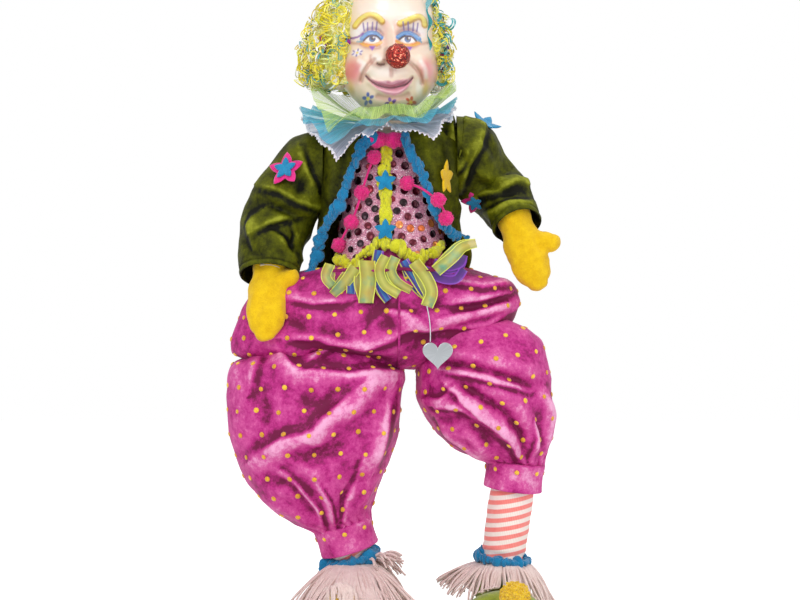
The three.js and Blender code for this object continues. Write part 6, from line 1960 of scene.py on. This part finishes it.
# Painted highlights on the cheeks beside the smile lines.
lay("fffaf4", 0.7 * stroke([(359, 60), (363.5, 64.5), (362, 70)], 2.6, 2.4))
lay("fffaf4", 0.6 * stroke([(421, 62), (425, 68), (426, 76)], 2.4, 2.4))
# Painted highlight on the forehead.
lay("fff6ec", 0.8 * oval_spot((390, 12), 26, 12, soft=10))
lay("fffaf4", 0.8 * oval_spot((384, 73), 13, 5, soft=5))
lay("e6c020", 0.7 * oval_spot((349, 87), 4, 7, soft=3))
lay("e6c020", 0.7 * oval_spot((426.5, 88.5), 3, 7, soft=3))
lay("fffaf4", 0.75 * oval_spot((419, 86), 3, 7, soft=2))
lay("f8f6fa", 0.8 * oval_spot((360, 30), 13, 7, soft=4))
lay("f8f6fa", 0.8 * oval_spot((418, 30), 9, 6, soft=4))
# Painted shade along every sunken crease.
for line, width, sink in CREASES:
    if sink > 0:
        lay("a85c48", 0.55 * stroke(line, width * 1.6, 2.0))
# Painted shade down both sides of the nose's bridge.
lay("e8b0a0", 0.5 * stroke([(386, 24), (384, 34), (385, 44)], 4, 3))
lay("e8b0a0", 0.5 * stroke([(396, 24), (397.5, 34), (397, 42)], 4, 3))
for lid in ([(362, 37.6), (366, 33.8), (371.5, 32), (376.5, 33.4), (381, 37.4)],
            [(398.4, 37.6), (403, 33.6), (407.8, 32), (413, 33.6), (419, 37.8)]):
    lay("3c90dc", stroke(lid, 4.0, 0.8))
    lay("8cc8f0", 0.6 * stroke([(x, y - 0.8) for x, y in lid], 1.4))
for below in ([(361, 41), (364, 43.6), (370, 45), (376, 44.6), (381, 42.2)],
              [(397, 42), (402, 44.4), (408, 45), (414, 43.8), (418.8, 41.4)]):
    lay("f0941c", stroke(below, 2.8, 0.6))
    lay("f8c83c", 0.6 * stroke([(x, y + 0.6) for x, y in below], 1.0))
for eye in ((372.3, 38.6), (407.8, 38.9)):
    lay("fbfbff", oval_spot(eye, 7.6, 3.2))
    lay("17407c", oval_spot((eye[0], eye[1] - 0.3), 3.3, 3.3))
    lay("3c8cd4", 0.85 * oval_spot((eye[0] - 0.6, eye[1] + 0.7), 1.9, 1.6))
    lay("060612", oval_spot((eye[0], eye[1] - 0.3), 1.5, 1.5))
    # A painted highlight: the glint of light in each eye.
    lay("ffffff", oval_spot((eye[0] + 1.4, eye[1] - 1.6), 0.9, 0.8))
    lay("241430", stroke([(eye[0] - 8.6, eye[1] + 1.0), (eye[0] - 4.5, eye[1] - 2.6), (eye[0], eye[1] - 3.6),
                          (eye[0] + 4.5, eye[1] - 2.6), (eye[0] + 8.4, eye[1] + 1.0)], 1.3))
for brow, top in (([(355, 24.2), (360.6, 18.4), (368, 15), (375, 16.2), (382, 21.8)], 1.6),
                  ([(400, 24), (409, 20.4), (418.7, 16), (423.6, 18.4), (424.8, 23)], 1.6)):
    lay("c8961c", stroke(brow, 5.4, 0.8))
    lay("f2dc58", stroke([(x, y - top * 0.5) for x, y in brow], 3.4, 0.8))
for x, lean in ((364, -1), (367.5, 0), (372, 0.6), (376, 1), (404, -1), (408.5, -0.4), (413, 0.6), (417, 1)):
    lay("6c54a4", 0.85 * stroke([(x + lean, 22.5), (x, 29.5)], 1.1))
lay("8458a8", stroke([(346.6, 30.9), (350.9, 35.7), (358.2, 35.1), (363, 32)], 1.5))
lay("2c9cb4", 0.8 * stroke([(357, 40), (362, 40.6)], 1.3))
lay("2c9cb4", 0.8 * stroke([(418.6, 39.6), (421.6, 40.4)], 1.3))
for triangle in ([(368.8, 45.4), (375.4, 45.8), (372.2, 50.6)], [(406, 46), (412.6, 46), (410, 50.4)]):
    lay("8434c4", filled(triangle))
# Painted shade in the nostril.
lay("5c3020", stroke([(384, 65), (380.5, 65.8), (377.4, 64.6)], 1.6))
LIPS = [
    (366, 75.7), (371, 79), (377, 81), (383, 81.6), (388, 81), (392, 82.2), (396, 80.8), (402, 80.2),
    (408, 79), (413, 76.6), (411.6, 82), (407.6, 88.6), (401, 94), (394.5, 96.4), (386, 94.6),
    (378.6, 90.2), (372, 84)]
lay("d88ca4", filled(LIPS, 0.8))
lay("a8647c", filled([(372, 80), (378, 82), (388, 81.6), (392, 82.8), (398, 81.4), (407, 80.6),
                      (404, 84.4), (392, 87), (380, 85.4)], 0.8))
# Painted highlight on the lower lip.
lay("f4c4cc", 0.6 * filled([(379, 88.5), (388, 91), (396, 91.4), (403, 89), (399, 93), (390, 93.6),
                            (383, 91.6)], 1.6))
lay("5c2034", stroke([(366, 75.9), (371, 80.7), (377.5, 85), (385, 87.4), (392, 88), (400, 86.2),
                      (406.6, 83.8), (412.4, 77.6)], 1.1))


def flower(centre, reach, petals, petal, middle, lean=0.0):
    """Round petals about a middle, sizes in pixels."""
    for k in range(petals):
        turn = math.radians(lean + 360 * k / petals)
        place = (centre[0] + reach * 0.62 * math.cos(turn), centre[1] - reach * 0.62 * math.sin(turn))
        lay(petal, oval_spot(place, reach * 0.42, reach * 0.27, math.degrees(turn)))
    lay(middle, oval_spot(centre, reach * 0.3, reach * 0.3))


lay("f6eef8", oval_spot((357, 51.5), 5.6, 3.4, 14))
for turn in range(6):
    a = math.radians(60 * turn + 20)
    lay("7a6cb4", oval_spot((357 + 4.6 * math.cos(a), 51.5 - 2.9 * math.sin(a)), 1.5, 0.8, math.degrees(a)))
lay("f0d838", oval_spot((357, 51.5), 1.4, 1.0))
flower((367.9, 97.5), 6.0, 5, "3c60bc", "f0e060", 20)
flower((390.9, 103.6), 6.0, 5, "5c2c98", "f4dc3c", 35)
flower((410.9, 101), 5.6, 5, "d8502c", "f4c83c", 5)


def painted_resin_material():
    """The paint on the mesh, thinner and cloudier in places, under a clear gloss with fine orange peel."""
    material, tree, shader, place = start("painted_resin", Roughness=0.3, Coat_Weight=0.5,
                                          Coat_Roughness=0.12, Specular_IOR_Level=0.5,
                                          Subsurface_Weight=0.08, Subsurface_Scale=0.004)
    colour = add(tree, "Attribute", {"attribute_name": "paint"}).outputs["Color"]
    cloud = add(tree, "TexNoise", None, {"Vector": place, "Scale": per_mm(18), "Detail": 4.0})
    pearl = blend_colours(tree, maths(tree, "MULTIPLY", cloud.outputs[0], 0.2), colour, linear("ffd8c8"))
    tree.links.new(pearl, shader.inputs["Base Color"])
    peel = add(tree, "TexNoise", None, {"Vector": place, "Scale": per_mm(2.2), "Detail": 2.0})
    raise_surface(tree, shader, peel.outputs[0], 0.12, 0.35)
    return material


painted_resin = painted_resin_material()


def store_colour(piece, colours):
    """Keeps the paint on the points, the closing points in the ground colour."""
    layer = piece.data.color_attributes.new(name="paint", type="FLOAT_COLOR", domain="POINT")
    out = np.ones((len(piece.data.vertices), 4), np.float32)
    out[:, :3] = np.array(linear(RESIN_GROUND))[:3]
    out[:len(colours.reshape(-1, 3)), :3] = colours.reshape(-1, 3)
    layer.data.foreach_set("color", out.ravel())


head = grid_piece("painted_head", face_turned, capped=True)
store_colour(head, paint)
worn(head, "head", painted_resin, "painted_resin", "head")
neck_rows = [(0, 4, 447.4, 16, 16), (0, 4, 452, 16.2, 16.2), (0, 4, 487, 16, 16)]
neck = grid_piece("painted_neck", stuffed(neck_rows, (False, False), 60, 24, 9, 0.1), capped=True)
store_colour(neck, np.zeros((0, 3)))
worn(neck, "head", painted_resin, "painted_resin")
for k in (-1, 1):
    rows = [(k * 41, 8, 506, 4, 8), (k * 44.5, 6, 503, 5.5, 9), (k * 45, 5, 495, 5, 8),
            (k * 43, 4, 487, 4, 5)]
    ear = turn_head(stuffed(rows, (True, True), 40, 40, 6, 0.3))
    ear = grid_piece("ear_right" if k < 0 else "ear_left", ear, capped=True)
    store_colour(ear, np.zeros((0, 3)))
    worn(ear, "head", painted_resin, "painted_resin")

nose_at = turn_head(np.array([1.4, -63.4, 506.8]))
points, faces = ball_shape(60, 90)
points = points * (1 + 0.012 * waves(points, 0.12, 2)[:, None] + 0.02 * waves(points, 0.5, 3)[:, None])
nose = mesh_piece("glitter_nose", points * 10.8 + nose_at, faces)
worn(nose, "head", red_glitter, "red_glitter", "nose_ball")

# %% [markdown]
# ## Wig
#
# The wig is hundreds of strips of curled translucent film over a cap of crinkled film, with small
# squares of metallic confetti caught in them. It stands in tufts. Each strip is wound in open rings
# round an axis that lies along the wig, and a few longer ones hang free at the lower edge.

# %% Wig
WIG_ROWS = [
    (487, -70, 50, 14, 44), (500, -74, 55, 14, 50), (522, -75, 56, 14, 54), (542, -66, 50, 14, 54),
    (560, -55, 42, 14, 50), (576, -46, 40, 14, 46), (588, -38, 34, 12, 40), (597, -24, 20, 10, 30),
    (600, -10, 8, 10, 14)]
WIG_FRONT = -20.0
WIG_COLUMNS, WIG_STEPS = 256, 120
TUFTS_ROUND, TUFTS_DOWN, TUFT_RISE = 8, 6, 4.5
film_curls = dealt("curled_translucent_film", [
    "f0e028", "f8f05c", "f0dc1c", "f8faf6", "30a0a8", "f4d848", "d8e478", "f4f4ec", "f8ee50",
    "f0e430"], 0.2, coat=0.4)
TEAL_TONE = 0.45
film_cap = dealt("crinkled_film_cap", ["d4cc48", "e8e078", "c8c44c", "eceab0", "dccc4c", "a8c8a0"], 0.4)
confetti = dealt("metallic_confetti", ["6a1440", "8a2c8c", "3a1c5c", "b02c6c"], 0.3, 0.6)


def wig_surface(shrink, columns=WIG_COLUMNS, steps=WIG_STEPS):
    """Rings of the wig's outline, drawn in by shrink mm, with tufts: rise * sin(8 * angle) *
    sin(6 * pi * share of the way down)."""
    angle = np.linspace(0, 2 * math.pi, columns, endpoint=False)
    pairs = [(left + shrink, z, right - shrink, z, y, deep - shrink)
             for z, left, right, y, deep in sorted(WIG_ROWS, reverse=True)]
    grid = oval_rings(pairs, 2.0, angle, steps)
    down = np.linspace(0, 1, steps)[:, None]
    tuft = TUFT_RISE * np.sin(TUFTS_ROUND * angle)[None, :] * np.sin(math.pi * TUFTS_DOWN * down)
    grid[..., 0] += tuft * np.cos(angle)
    grid[..., 1] += tuft * np.sin(angle)
    return grid


cap = wig_surface(4, 208, 100)
cap += outward(cap) * (waves(cap, 9, 21) * 1.2 + waves(cap, 4, 22) * 0.8)[..., None]
cap[..., 1] = np.maximum(cap[..., 1], WIG_FRONT + 1 + 1.5 * waves(cap, 8, 5))
piece = grid_piece("wig_cap", turn_head(cap), capped=True)
worn(piece, "head", film_cap, "film_curls", "wig")
store(piece, "tone", np.clip(0.5 + 0.45 * waves(cap, 7, 8) + 0.25 * waves(cap, 3, 9), 0, 0.999))


def strips(name, middle, wide, seed):
    """One mesh of flat strips: middle is strips x points x 3, and wide points half across each."""
    both = turn_head(np.stack([middle - wide, middle + wide], 2))
    quads = grid_faces(middle.shape[1], 2, False)
    step = np.arange(len(middle))[:, None, None] * middle.shape[1] * 2
    piece = mesh_piece(name, both.reshape(-1, 3), (quads[None] + step).reshape(-1, 4))
    rng = np.random.default_rng(seed)
    tones = rng.uniform(0, 1, len(middle))
    start_at = middle[:, 0]
    beside = (start_at[:, 0] > 24) & (start_at[:, 1] < 8) & (start_at[:, 2] > 512)
    tones[beside & (rng.uniform(0, 1, len(middle)) < 0.25)] = TEAL_TONE
    store(piece, "tone", np.repeat(tones, middle.shape[1] * 2))
    return piece


def wound(centres, out, radius, turns, pitch, half, seed, steps=38, facing_out=0.0):
    """Rings of strip about axes square to out, or nearer to it by the share facing_out: circles that
    creep along the axis by pitch a turn. The strip leans between the ring's axis and its radius."""
    rng = np.random.default_rng(seed)
    axis = np.cross(out, rng.normal(size=out.shape))
    axis /= np.linalg.norm(axis, axis=1)[:, None]
    axis += out * facing_out * rng.uniform(0.6, 3, (len(out), 1))
    axis /= np.linalg.norm(axis, axis=1)[:, None]
    across = np.cross(axis, rng.normal(size=out.shape))
    out = across / np.linalg.norm(across, axis=1)[:, None] if facing_out else out
    side = np.cross(axis, out)
    t = np.linspace(0, 1, steps)[None, :, None]
    phase = 2 * math.pi * turns[:, None, None] * t + rng.uniform(0, 6.3, (len(out), 1, 1))
    creep = (t - 0.5) * (turns * pitch)[:, None, None]
    grow = radius[:, None, None] * (0.8 + 0.35 * t)
    spoke = np.cos(phase) * out[:, None] + np.sin(phase) * side[:, None]
    middle = centres[:, None] + axis[:, None] * creep + grow * spoke
    wide = axis[:, None] + spoke * facing_out * 1.4 + 0 * middle
    return middle, wide * half[:, None, None]


def on_wig(count, seed, low=3, high=118):
    """Places on the wig's surface, behind its front, with the directions out of it."""
    rng = np.random.default_rng(seed)
    surface = wig_surface(0)
    rows, columns = rng.uniform(low, high, count * 3), rng.uniform(0, WIG_COLUMNS, count * 3)
    places, out = sample(surface, rows, columns), sample(outward(surface), rows, columns)
    before = places[:, 1] < WIG_FRONT
    inward = rng.uniform(0.62, 1.0, len(places))
    places[before, 0] *= inward[before]
    out[before] = [0.0, -1.0, 0.0]
    places[before, 1] = WIG_FRONT
    beside_face = 37 + 7 * smoothstep(528, 506, places[:, 2])
    keep = ~before | (np.abs(places[:, 0]) > beside_face) | (places[:, 2] > 594)
    return places[keep][:count], out[keep][:count]


rng = np.random.default_rng(31)
places, out = on_wig(850, 32)
radius = rng.uniform(2.4, 6.2, len(places))
sunk = places - out * (radius * rng.uniform(0.4, 1.0, len(places)))[:, None]
curls = strips("wig_curls", *wound(sunk, out, radius, rng.uniform(1.2, 3.0, len(places)),
                                   rng.uniform(1.5, 5, len(places)),
                                   rng.uniform(0.3, 0.7, len(places)), 33), 34)
worn(curls, "head", film_curls, "film_curls")
places, out = on_wig(900, 45)
stand = places + out * rng.uniform(-1.5, 4.5, (len(places), 1))
rings = strips("wig_rings", *wound(stand, out, rng.uniform(2.2, 5.4, len(places)),
                                   rng.uniform(1.0, 1.8, len(places)), rng.uniform(0.5, 3, len(places)),
                                   rng.uniform(0.24, 0.46, len(places)), 46, facing_out=1.0), 47)
worn(rings, "head", film_curls, "film_curls")
places, out = on_wig(70, 35, 84, 119)
out = out + np.array([0, 0, -0.6])
out /= np.linalg.norm(out, axis=1)[:, None]
radius = rng.uniform(4.5, 7, len(places))
loose = strips("wig_loose_curls", *wound(places - out * (radius * 0.45)[:, None], out, radius,
                                         rng.uniform(0.8, 1.6, len(places)), rng.uniform(3, 8, len(places)),
                                         rng.uniform(0.4, 0.9, len(places)), 36), 37)
worn(loose, "head", film_curls, "film_curls")
t = np.linspace(0, 1, 60)
wavy = np.stack([31 + 2.2 * np.sin(t * 19), -29 + 0 * t + 4 * t**2, mix(566.0, 505.0, t)], -1)
teal_film = dealt("teal_film_streamer", ["147c88", "1c8c94", "147c88"], 0.25, coat=0.4)
band = strips("teal_streamer", wavy[None], np.array([[[2.6, -1.2, 0.0]]]) + 0 * wavy[None], 38)
worn(band, "head", teal_film, "film_curls")

spots, out = on_wig(240, 39, 6, 112)
spots = spots - out * rng.uniform(-1, 2, (len(spots), 1))
square = np.array([[-1, -1, 0], [1, -1, 0.15], [1, 1, 0], [-1, 1, 0.15]]) * 1.5
flecks = scatter("wig_confetti", square, [np.array([[0, 1, 2, 3]])], turn_head(spots),
                 facing(out + rng.normal(0, 0.6, out.shape)), rng.uniform(0.6, 1.3, len(spots)), smooth=False)
store(flecks, "tone", np.repeat(rng.uniform(0, 1, len(spots)), 4))
worn(flecks, "head", confetti, "film_curls")

# %% [markdown]
# ## Stars, bow and ribbons
#
# Felt stars are cut in five points and sewn down at the middle, so their points curl up a little.

# %% Felt stars
def felt_star(name, centre, normal, radius, lean, thick=2.2, curl=1.2):
    """A star of two felt faces and a soft rim, on a plane through its centre facing the normal."""
    angle = np.linspace(0, 2 * math.pi, 150, endpoint=False)
    wave = np.abs(((angle / (2 * math.pi) * 5) % 1) * 2 - 1)
    edge = mix(0.52, 1.0, wave**1.1)
    rings = [(0.0, 0.5), (0.35, 0.5), (0.7, 0.48), (0.92, 0.36), (1.0, 0.0), (0.92, -0.36), (0.6, -0.5),
             (0.0, -0.5)]
    points = []
    for share, up in rings:
        r = radius * edge * max(share, 0.02)
        lift = up * thick + curl * (r / radius) ** 2
        points.append(np.stack([r * np.cos(angle + lean), r * np.sin(angle + lean), lift], -1))
    grid = np.stack(points)
    turned = grid @ facing(np.array([unit(normal)]))[0].T + np.asarray(centre, float)
    return grid_piece(name, turned, capped=True)


up_front = (0, -1, 0)
for place, z in (("upper", 400), ("lower", 357)):
    seat = (BUTTON_LINE, front_of(VEST_ROWS, BUTTON_LINE, z, 2.5) - 6.8, z)
    worn(felt_star(f"star_vest_{place}", seat, up_front, 10, math.pi / 2), "torso", blue_felt, "blue_felt",
         f"vest_star_{place}")
star_seat = np.array([49, front_of(JACKET_ROWS, 49, 403, JACKET_POWER) - 4, 403])
worn(felt_star("star_jacket", star_seat, (0.93, -0.36, 0), 16, math.pi / 2), "torso", yellow_felt,
     "yellow_felt", "jacket_star")
patch = np.array([-91, -27, 410.0])
out = unit([-0.36, -0.85, 0.42])
worn(felt_star("star_sleeve_right", patch + out * 1.5, out, 17, math.pi / 2 + 0.1), "upper_arm_right",
     pink_felt, "pink_felt", "sleeve_star_right")
worn(felt_star("star_sleeve_right_top", patch + out * 3.6, out, 11, math.pi / 2 + 0.1), "upper_arm_right",
     blue_felt, "pink_felt")
out = unit(np.array([82, 14, 452.0]) - (78, 12, 418))
out = unit(out + [0.45, -0.55, 0.1])
worn(felt_star("star_shoulder_left", np.array([84, 9, 452]) + out * 2, out, 15, 0.5, curl=4.0),
     "upper_arm_left", blue_felt, "blue_felt", "shoulder_star_left")
out = unit(np.array([76, 4, 384.0]) - (84, 14, 408))
out = unit(out + [0, -0.7, 0])
patch = np.array([76, 3, 384])
worn(felt_star("star_sleeve_left", patch + out, out, 13, 0.5), "upper_arm_left", pink_felt, "pink_felt",
     "sleeve_star_left")
worn(felt_star("star_sleeve_left_top", patch + out * 3, out, 8, 0.5), "upper_arm_left", blue_felt,
     "pink_felt")

# %% [markdown]
# A bow of the same hot pink yarn sits under the lace, over the top of the lime braid.

# %% Bow
bow_y = float(front_of(VEST_ROWS, BUTTON_LINE, 432, 2.5)) - 8
bow = [(-21, bow_y, 437, 5), (-13, bow_y, 437, 8.2), (-4, bow_y + 1, 436.5, 5), (4, bow_y, 437, 7.8),
       (12, bow_y, 436, 5)]
line = along(bow, 60)
grid = stuffed([(*r[:3], r[3], r[3] * 0.72) for r in line[::6]], (True, True), 60, 90, 12, 1.1)
worn(grid_piece("neck_bow", grid, capped=True), "torso", pink_yarn, "pink_felt", "collar_bow")
worn(pompoms("neck_bow_ends", [(r[0], r[1], r[2]) for r in line[8::14]], 6.2, 170, 0.14, 9), "torso",
     pink_yarn, "pink_felt")

# %% [markdown]
# Ribbons fan out at the waist from under the points of the vest: doubled strips, lime organza with wired
# edges in front, violet, blue and purple behind. Each runs through a few places across and up.

# %% Ribbons
RIBBON_LAYER = 3.0
HEADER_Z = 322.0
HEADER_POINTS, HEADER_SIDES = 50, 24
RIBBON_FALL = np.array([(270, -58), (290, -56.2), (305, -51.6), (316, -49.4), (328, -50.5),
                        (350, -50.5)], float)
RIBBONS = {
    "yellow": (1, (-55, 47), [
        (4.5, [(-52, 327), (-54.5, 316), (-50, 308)]), (5.5, [(-30, 324), (-39.5, 311.5), (-49, 301)]),
        (7.3, [(-20, 330), (-20.5, 312), (-20.7, 294)]),
        (4.5, [(-3.5, 334), (-8.5, 322), (-4, 309), (7, 301)]),
        (4.5, [(5, 333), (0.5, 321), (6, 311), (17.5, 304.5)]),
        (5.5, [(21, 329), (31, 314), (35.5, 302), (32.5, 291)]),
        (5.5, [(40, 321), (54, 333.5), (63, 342), (74, 345)])]),
    "blue": (0, (-36, 36), [
        (4.5, [(-31, 323), (-33.5, 302)]), (4.5, [(-9.5, 339), (-12, 320), (-8, 305), (-2, 296)]),
        (4.5, [(12, 330), (19, 317), (27, 305), (34, 297)]),
        (4, [(30, 322), (44, 315), (57, 314), (64, 322)]),
        (4, [(38, 328), (50, 324), (61, 327), (64, 334)])])}


def ribbon_depth(z, layer):
    """How far forward a row of ribbons lies at a height."""
    return np.interp(z, RIBBON_FALL[:, 0], RIBBON_FALL[:, 1]) - layer * RIBBON_LAYER


def ribbon_loop(half, places, layer, seed, across=11, steps=44):
    """A doubled strip: down its places in front, round a small bend at the end and back up behind. It
    is cupped a little and turns about its own middle line on the way down."""
    rng = np.random.default_rng(seed)
    path = even(along(places, 60), steps)
    way = np.gradient(path, axis=0)
    way /= np.linalg.norm(way, axis=1)[:, None]
    spine = np.stack([path[:, 0], ribbon_depth(path[:, 1], layer), path[:, 1]], -1)
    flat = np.stack([way[:, 1], 0 * way[:, 0], -way[:, 0]], -1)
    bend = np.linspace(0, math.pi, 14)[1:-1, None]
    onward = np.array([way[-1, 0], 0, way[-1, 1]])
    tip = spine[-1] + onward * np.sin(bend) * 1.1 + np.array([0, -0.9, 0]) * np.cos(bend)
    line = np.concatenate([spine - [0, 0.9, 0], tip, spine[::-1] + [0, 0.9, 0]])
    flat = np.concatenate([flat, np.repeat(flat[-1:], len(tip), 0), flat[::-1]])
    share = np.concatenate([np.linspace(0, 1, steps), np.ones(len(tip)), np.linspace(1, 0, steps)])
    share = share[:, None, None]
    u = np.linspace(-1, 1, across)[None, :, None]
    turn = rng.uniform(-0.45, 0.45) * (1 + layer) * share
    forward = np.array([0.0, -1.0, 0.0])
    apart = rng.choice((-1, 1)) * rng.uniform(0.25, 0.6) * half * np.sin(math.pi * share[..., 0]) ** 1.5
    apart[:steps] *= -0.4
    line = line + flat * apart
    return (line[:, None] + flat[:, None] * u * half * np.cos(turn)
            + forward * (u * half * np.sin(turn) + 0.5 * (u**2 - 0.4) * share))


def sewn_ribbons(name, group, picks, cloth, slot, *nodes):
    """The picked ribbons of a group as one sheet that hangs from its header."""
    layer, _, strips_of = RIBBONS[group]
    grids = [ribbon_loop(*strips_of[k], layer, 40 + k) for k in picks]
    tabs = joined_sheets(name, grids)
    store(tabs, "across", np.concatenate([np.tile(np.linspace(0, 1, g.shape[1]), len(g)) for g in grids]))
    worn(tabs, "torso", cloth, slot, *nodes)


sewn_ribbons("lime_ribbons", "yellow", range(7), lime_organza, "yellow_organza", "waist_ribbon_yellow")
sewn_ribbons("striped_ribbons", "blue", range(3), striped_ribbon, "violet_ribbon", "waist_ribbon_blue")
sewn_ribbons("purple_ribbons", "blue", [3, 4], purple_ribbon, "violet_ribbon")
for name, (layer, header, _) in RIBBONS.items():
    line = np.array([(x, float(ribbon_depth(HEADER_Z, layer)) + 0.3, HEADER_Z + 0.8 * math.sin(x / 6))
                     for x in np.linspace(*header, HEADER_POINTS)])
    tape = grid_piece(f"header_tape_{name}", tube(line, 1.5, 0.8, HEADER_SIDES), capped=True)
    worn(tape, "torso", magenta_velvet, "magenta_velvet")
    # Painted shade: the tape takes the velvet's deepest colour all over.
    store(tape, "fold_shade", np.full(HEADER_POINTS * HEADER_SIDES, 0.0))

# %% [markdown]
# ## Tag
#
# A silver heart of foil-faced card hangs on a metallic thread from the ribbons. It is blank.

# %% Tag
TAG_TOP, TAG_END = np.array([32, -60.4, 290.7]), np.array([35, -61.4, 259.5])
tag_path = np.array([between(TAG_TOP, TAG_END, s) + [1.2 * math.sin(math.pi * s), 0, 0]
                     for s in np.linspace(0, 1, 24)])
cord = strands("tag_thread", [tag_path], 0.5, 10, 1.0)
worn(cord, "tag", silver_thread, "silver_cord", "tag_cord")
heart_middle, heart_half = np.array([41.5, -61.4, 249.0]), 14.0
heart_columns = 120
a = np.linspace(0, 2 * math.pi, heart_columns, endpoint=False)
shape = np.stack([16 * np.sin(a) ** 3,
                  13 * np.cos(a) - 5 * np.cos(2 * a) - 2 * np.cos(3 * a) - np.cos(4 * a)], -1)
shape *= heart_half / 17
rings = [(0.001, 0.5), (0.5, 0.5), (0.93, 0.5), (0.985, 0.42), (1.0, 0.2), (1.0, -0.2), (0.985, -0.42),
         (0.93, -0.5), (0.001, -0.5)]
grid = np.stack([np.stack([shape[:, 0] * s, np.full(heart_columns, up), shape[:, 1] * s], -1)
                 for s, up in rings])
heart = worn(grid_piece("silver_heart", grid + heart_middle, capped=True), "tag", silver_foil, "silver_card",
             "heart_tag")

# %% [markdown]
# ## Wires
#
# The armature shows only where a limb is bent far. It keeps its solids, in the finish of galvanised wire.

# %% Armature wire
for name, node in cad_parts.items():
    if not node.hide_render:
        for slot_number in range(max(len(node.material_slots), 1)):
            if node.material_slots:
                node.material_slots[slot_number].material = galvanised_wire
            else:
                node.data.materials.append(galvanised_wire)
        print("solid kept:", name)

# %% [markdown]
# ## Floor, light and camera
#
# The picture was taken against white with broad soft light from all round, brightest in front and
# above. A wide white floor keeps the shadow. The camera sees the world as white too, so there is no
# wall, and the doll can be looked at from every side.

# %% Stage
def lamp(name, place, aim, size, power):
    """A square soft light, in metres and watts, turned to its aim."""
    data = bpy.data.lights.new(name, "AREA")
    data.size, data.energy = size, power
    light = bpy.data.objects.new(name, data)
    bpy.context.scene.collection.objects.link(light)
    light.location = place
    direction = np.asarray(aim, float) - place
    light.rotation_euler = Vector(direction).to_track_quat("-Z", "Y").to_euler()


def seen_straight(tree):
    """1 for what the camera sees, straight, in a gloss or through a cloth, and 0 for light on the doll."""
    ray = add(tree, "LightPath")
    first = maths(tree, "ADD", ray.outputs["Is Camera Ray"], ray.outputs["Is Glossy Ray"])
    return maths(tree, "ADD", first, ray.outputs["Is Transmission Ray"], clamp=True)


floor_points = np.array([[(x, y, 0.0) for x in np.linspace(-3.5, 3.5, 9)] for y in np.linspace(-3.5, 3.5, 9)])
floor = grid_piece("white_floor", floor_points[:, ::-1] * 1000 - DOLL_SHIFT, wrap=False)
material, tree, shader, place = start("white_paper", Roughness=0.9, Specular_IOR_Level=0.2)
grain = add(tree, "TexNoise", None, {"Vector": place, "Scale": per_mm(3), "Detail": 3.0})
tree.links.new(blend_colours(tree, grain.outputs[0], linear("f4f4f4"), linear("fafafa")),
               shader.inputs["Base Color"])
shader.inputs["Emission Color"].default_value = (1, 1, 1, 1)
tree.links.new(maths(tree, "MULTIPLY", seen_straight(tree), 0.55), shader.inputs["Emission Strength"])
floor.data.materials.append(material)

lamp("key", (-1.0, -2.2, 1.8), (0, 0, 0.3), 1.4, 29)
lamp("fill", (1.7, -1.7, 1.0), (0, 0, 0.3), 1.6, 13)
lamp("top", (0.2, 0.2, 2.4), (0, 0, 0.2), 2.0, 20)

world = bpy.data.worlds.new("studio")
bpy.context.scene.world = world
world.use_nodes = True
tree = world.node_tree
tree.nodes["Background"].inputs[0].default_value = (1, 1, 1, 1)
tree.links.new(maths(tree, "MULTIPLY_ADD", seen_straight(tree), 0.5, 0.5), tree.nodes["Background"].inputs[1])

# %% Camera
SENSOR_WIDTH, LENS = 36.0, 102.3
camera = bpy.data.cameras.new("photo_view")
camera.sensor_width, camera.lens = SENSOR_WIDTH, LENS
eye = bpy.data.objects.new("photo_view", camera)
bpy.context.scene.collection.objects.link(eye)
eye.location = metres([EYE[0], -EYE_AWAY, EYE[1]])
eye.rotation_euler = (math.pi / 2, 0, 0)
bpy.context.scene.camera = eye
bpy.context.scene.view_settings.view_transform = "Standard"
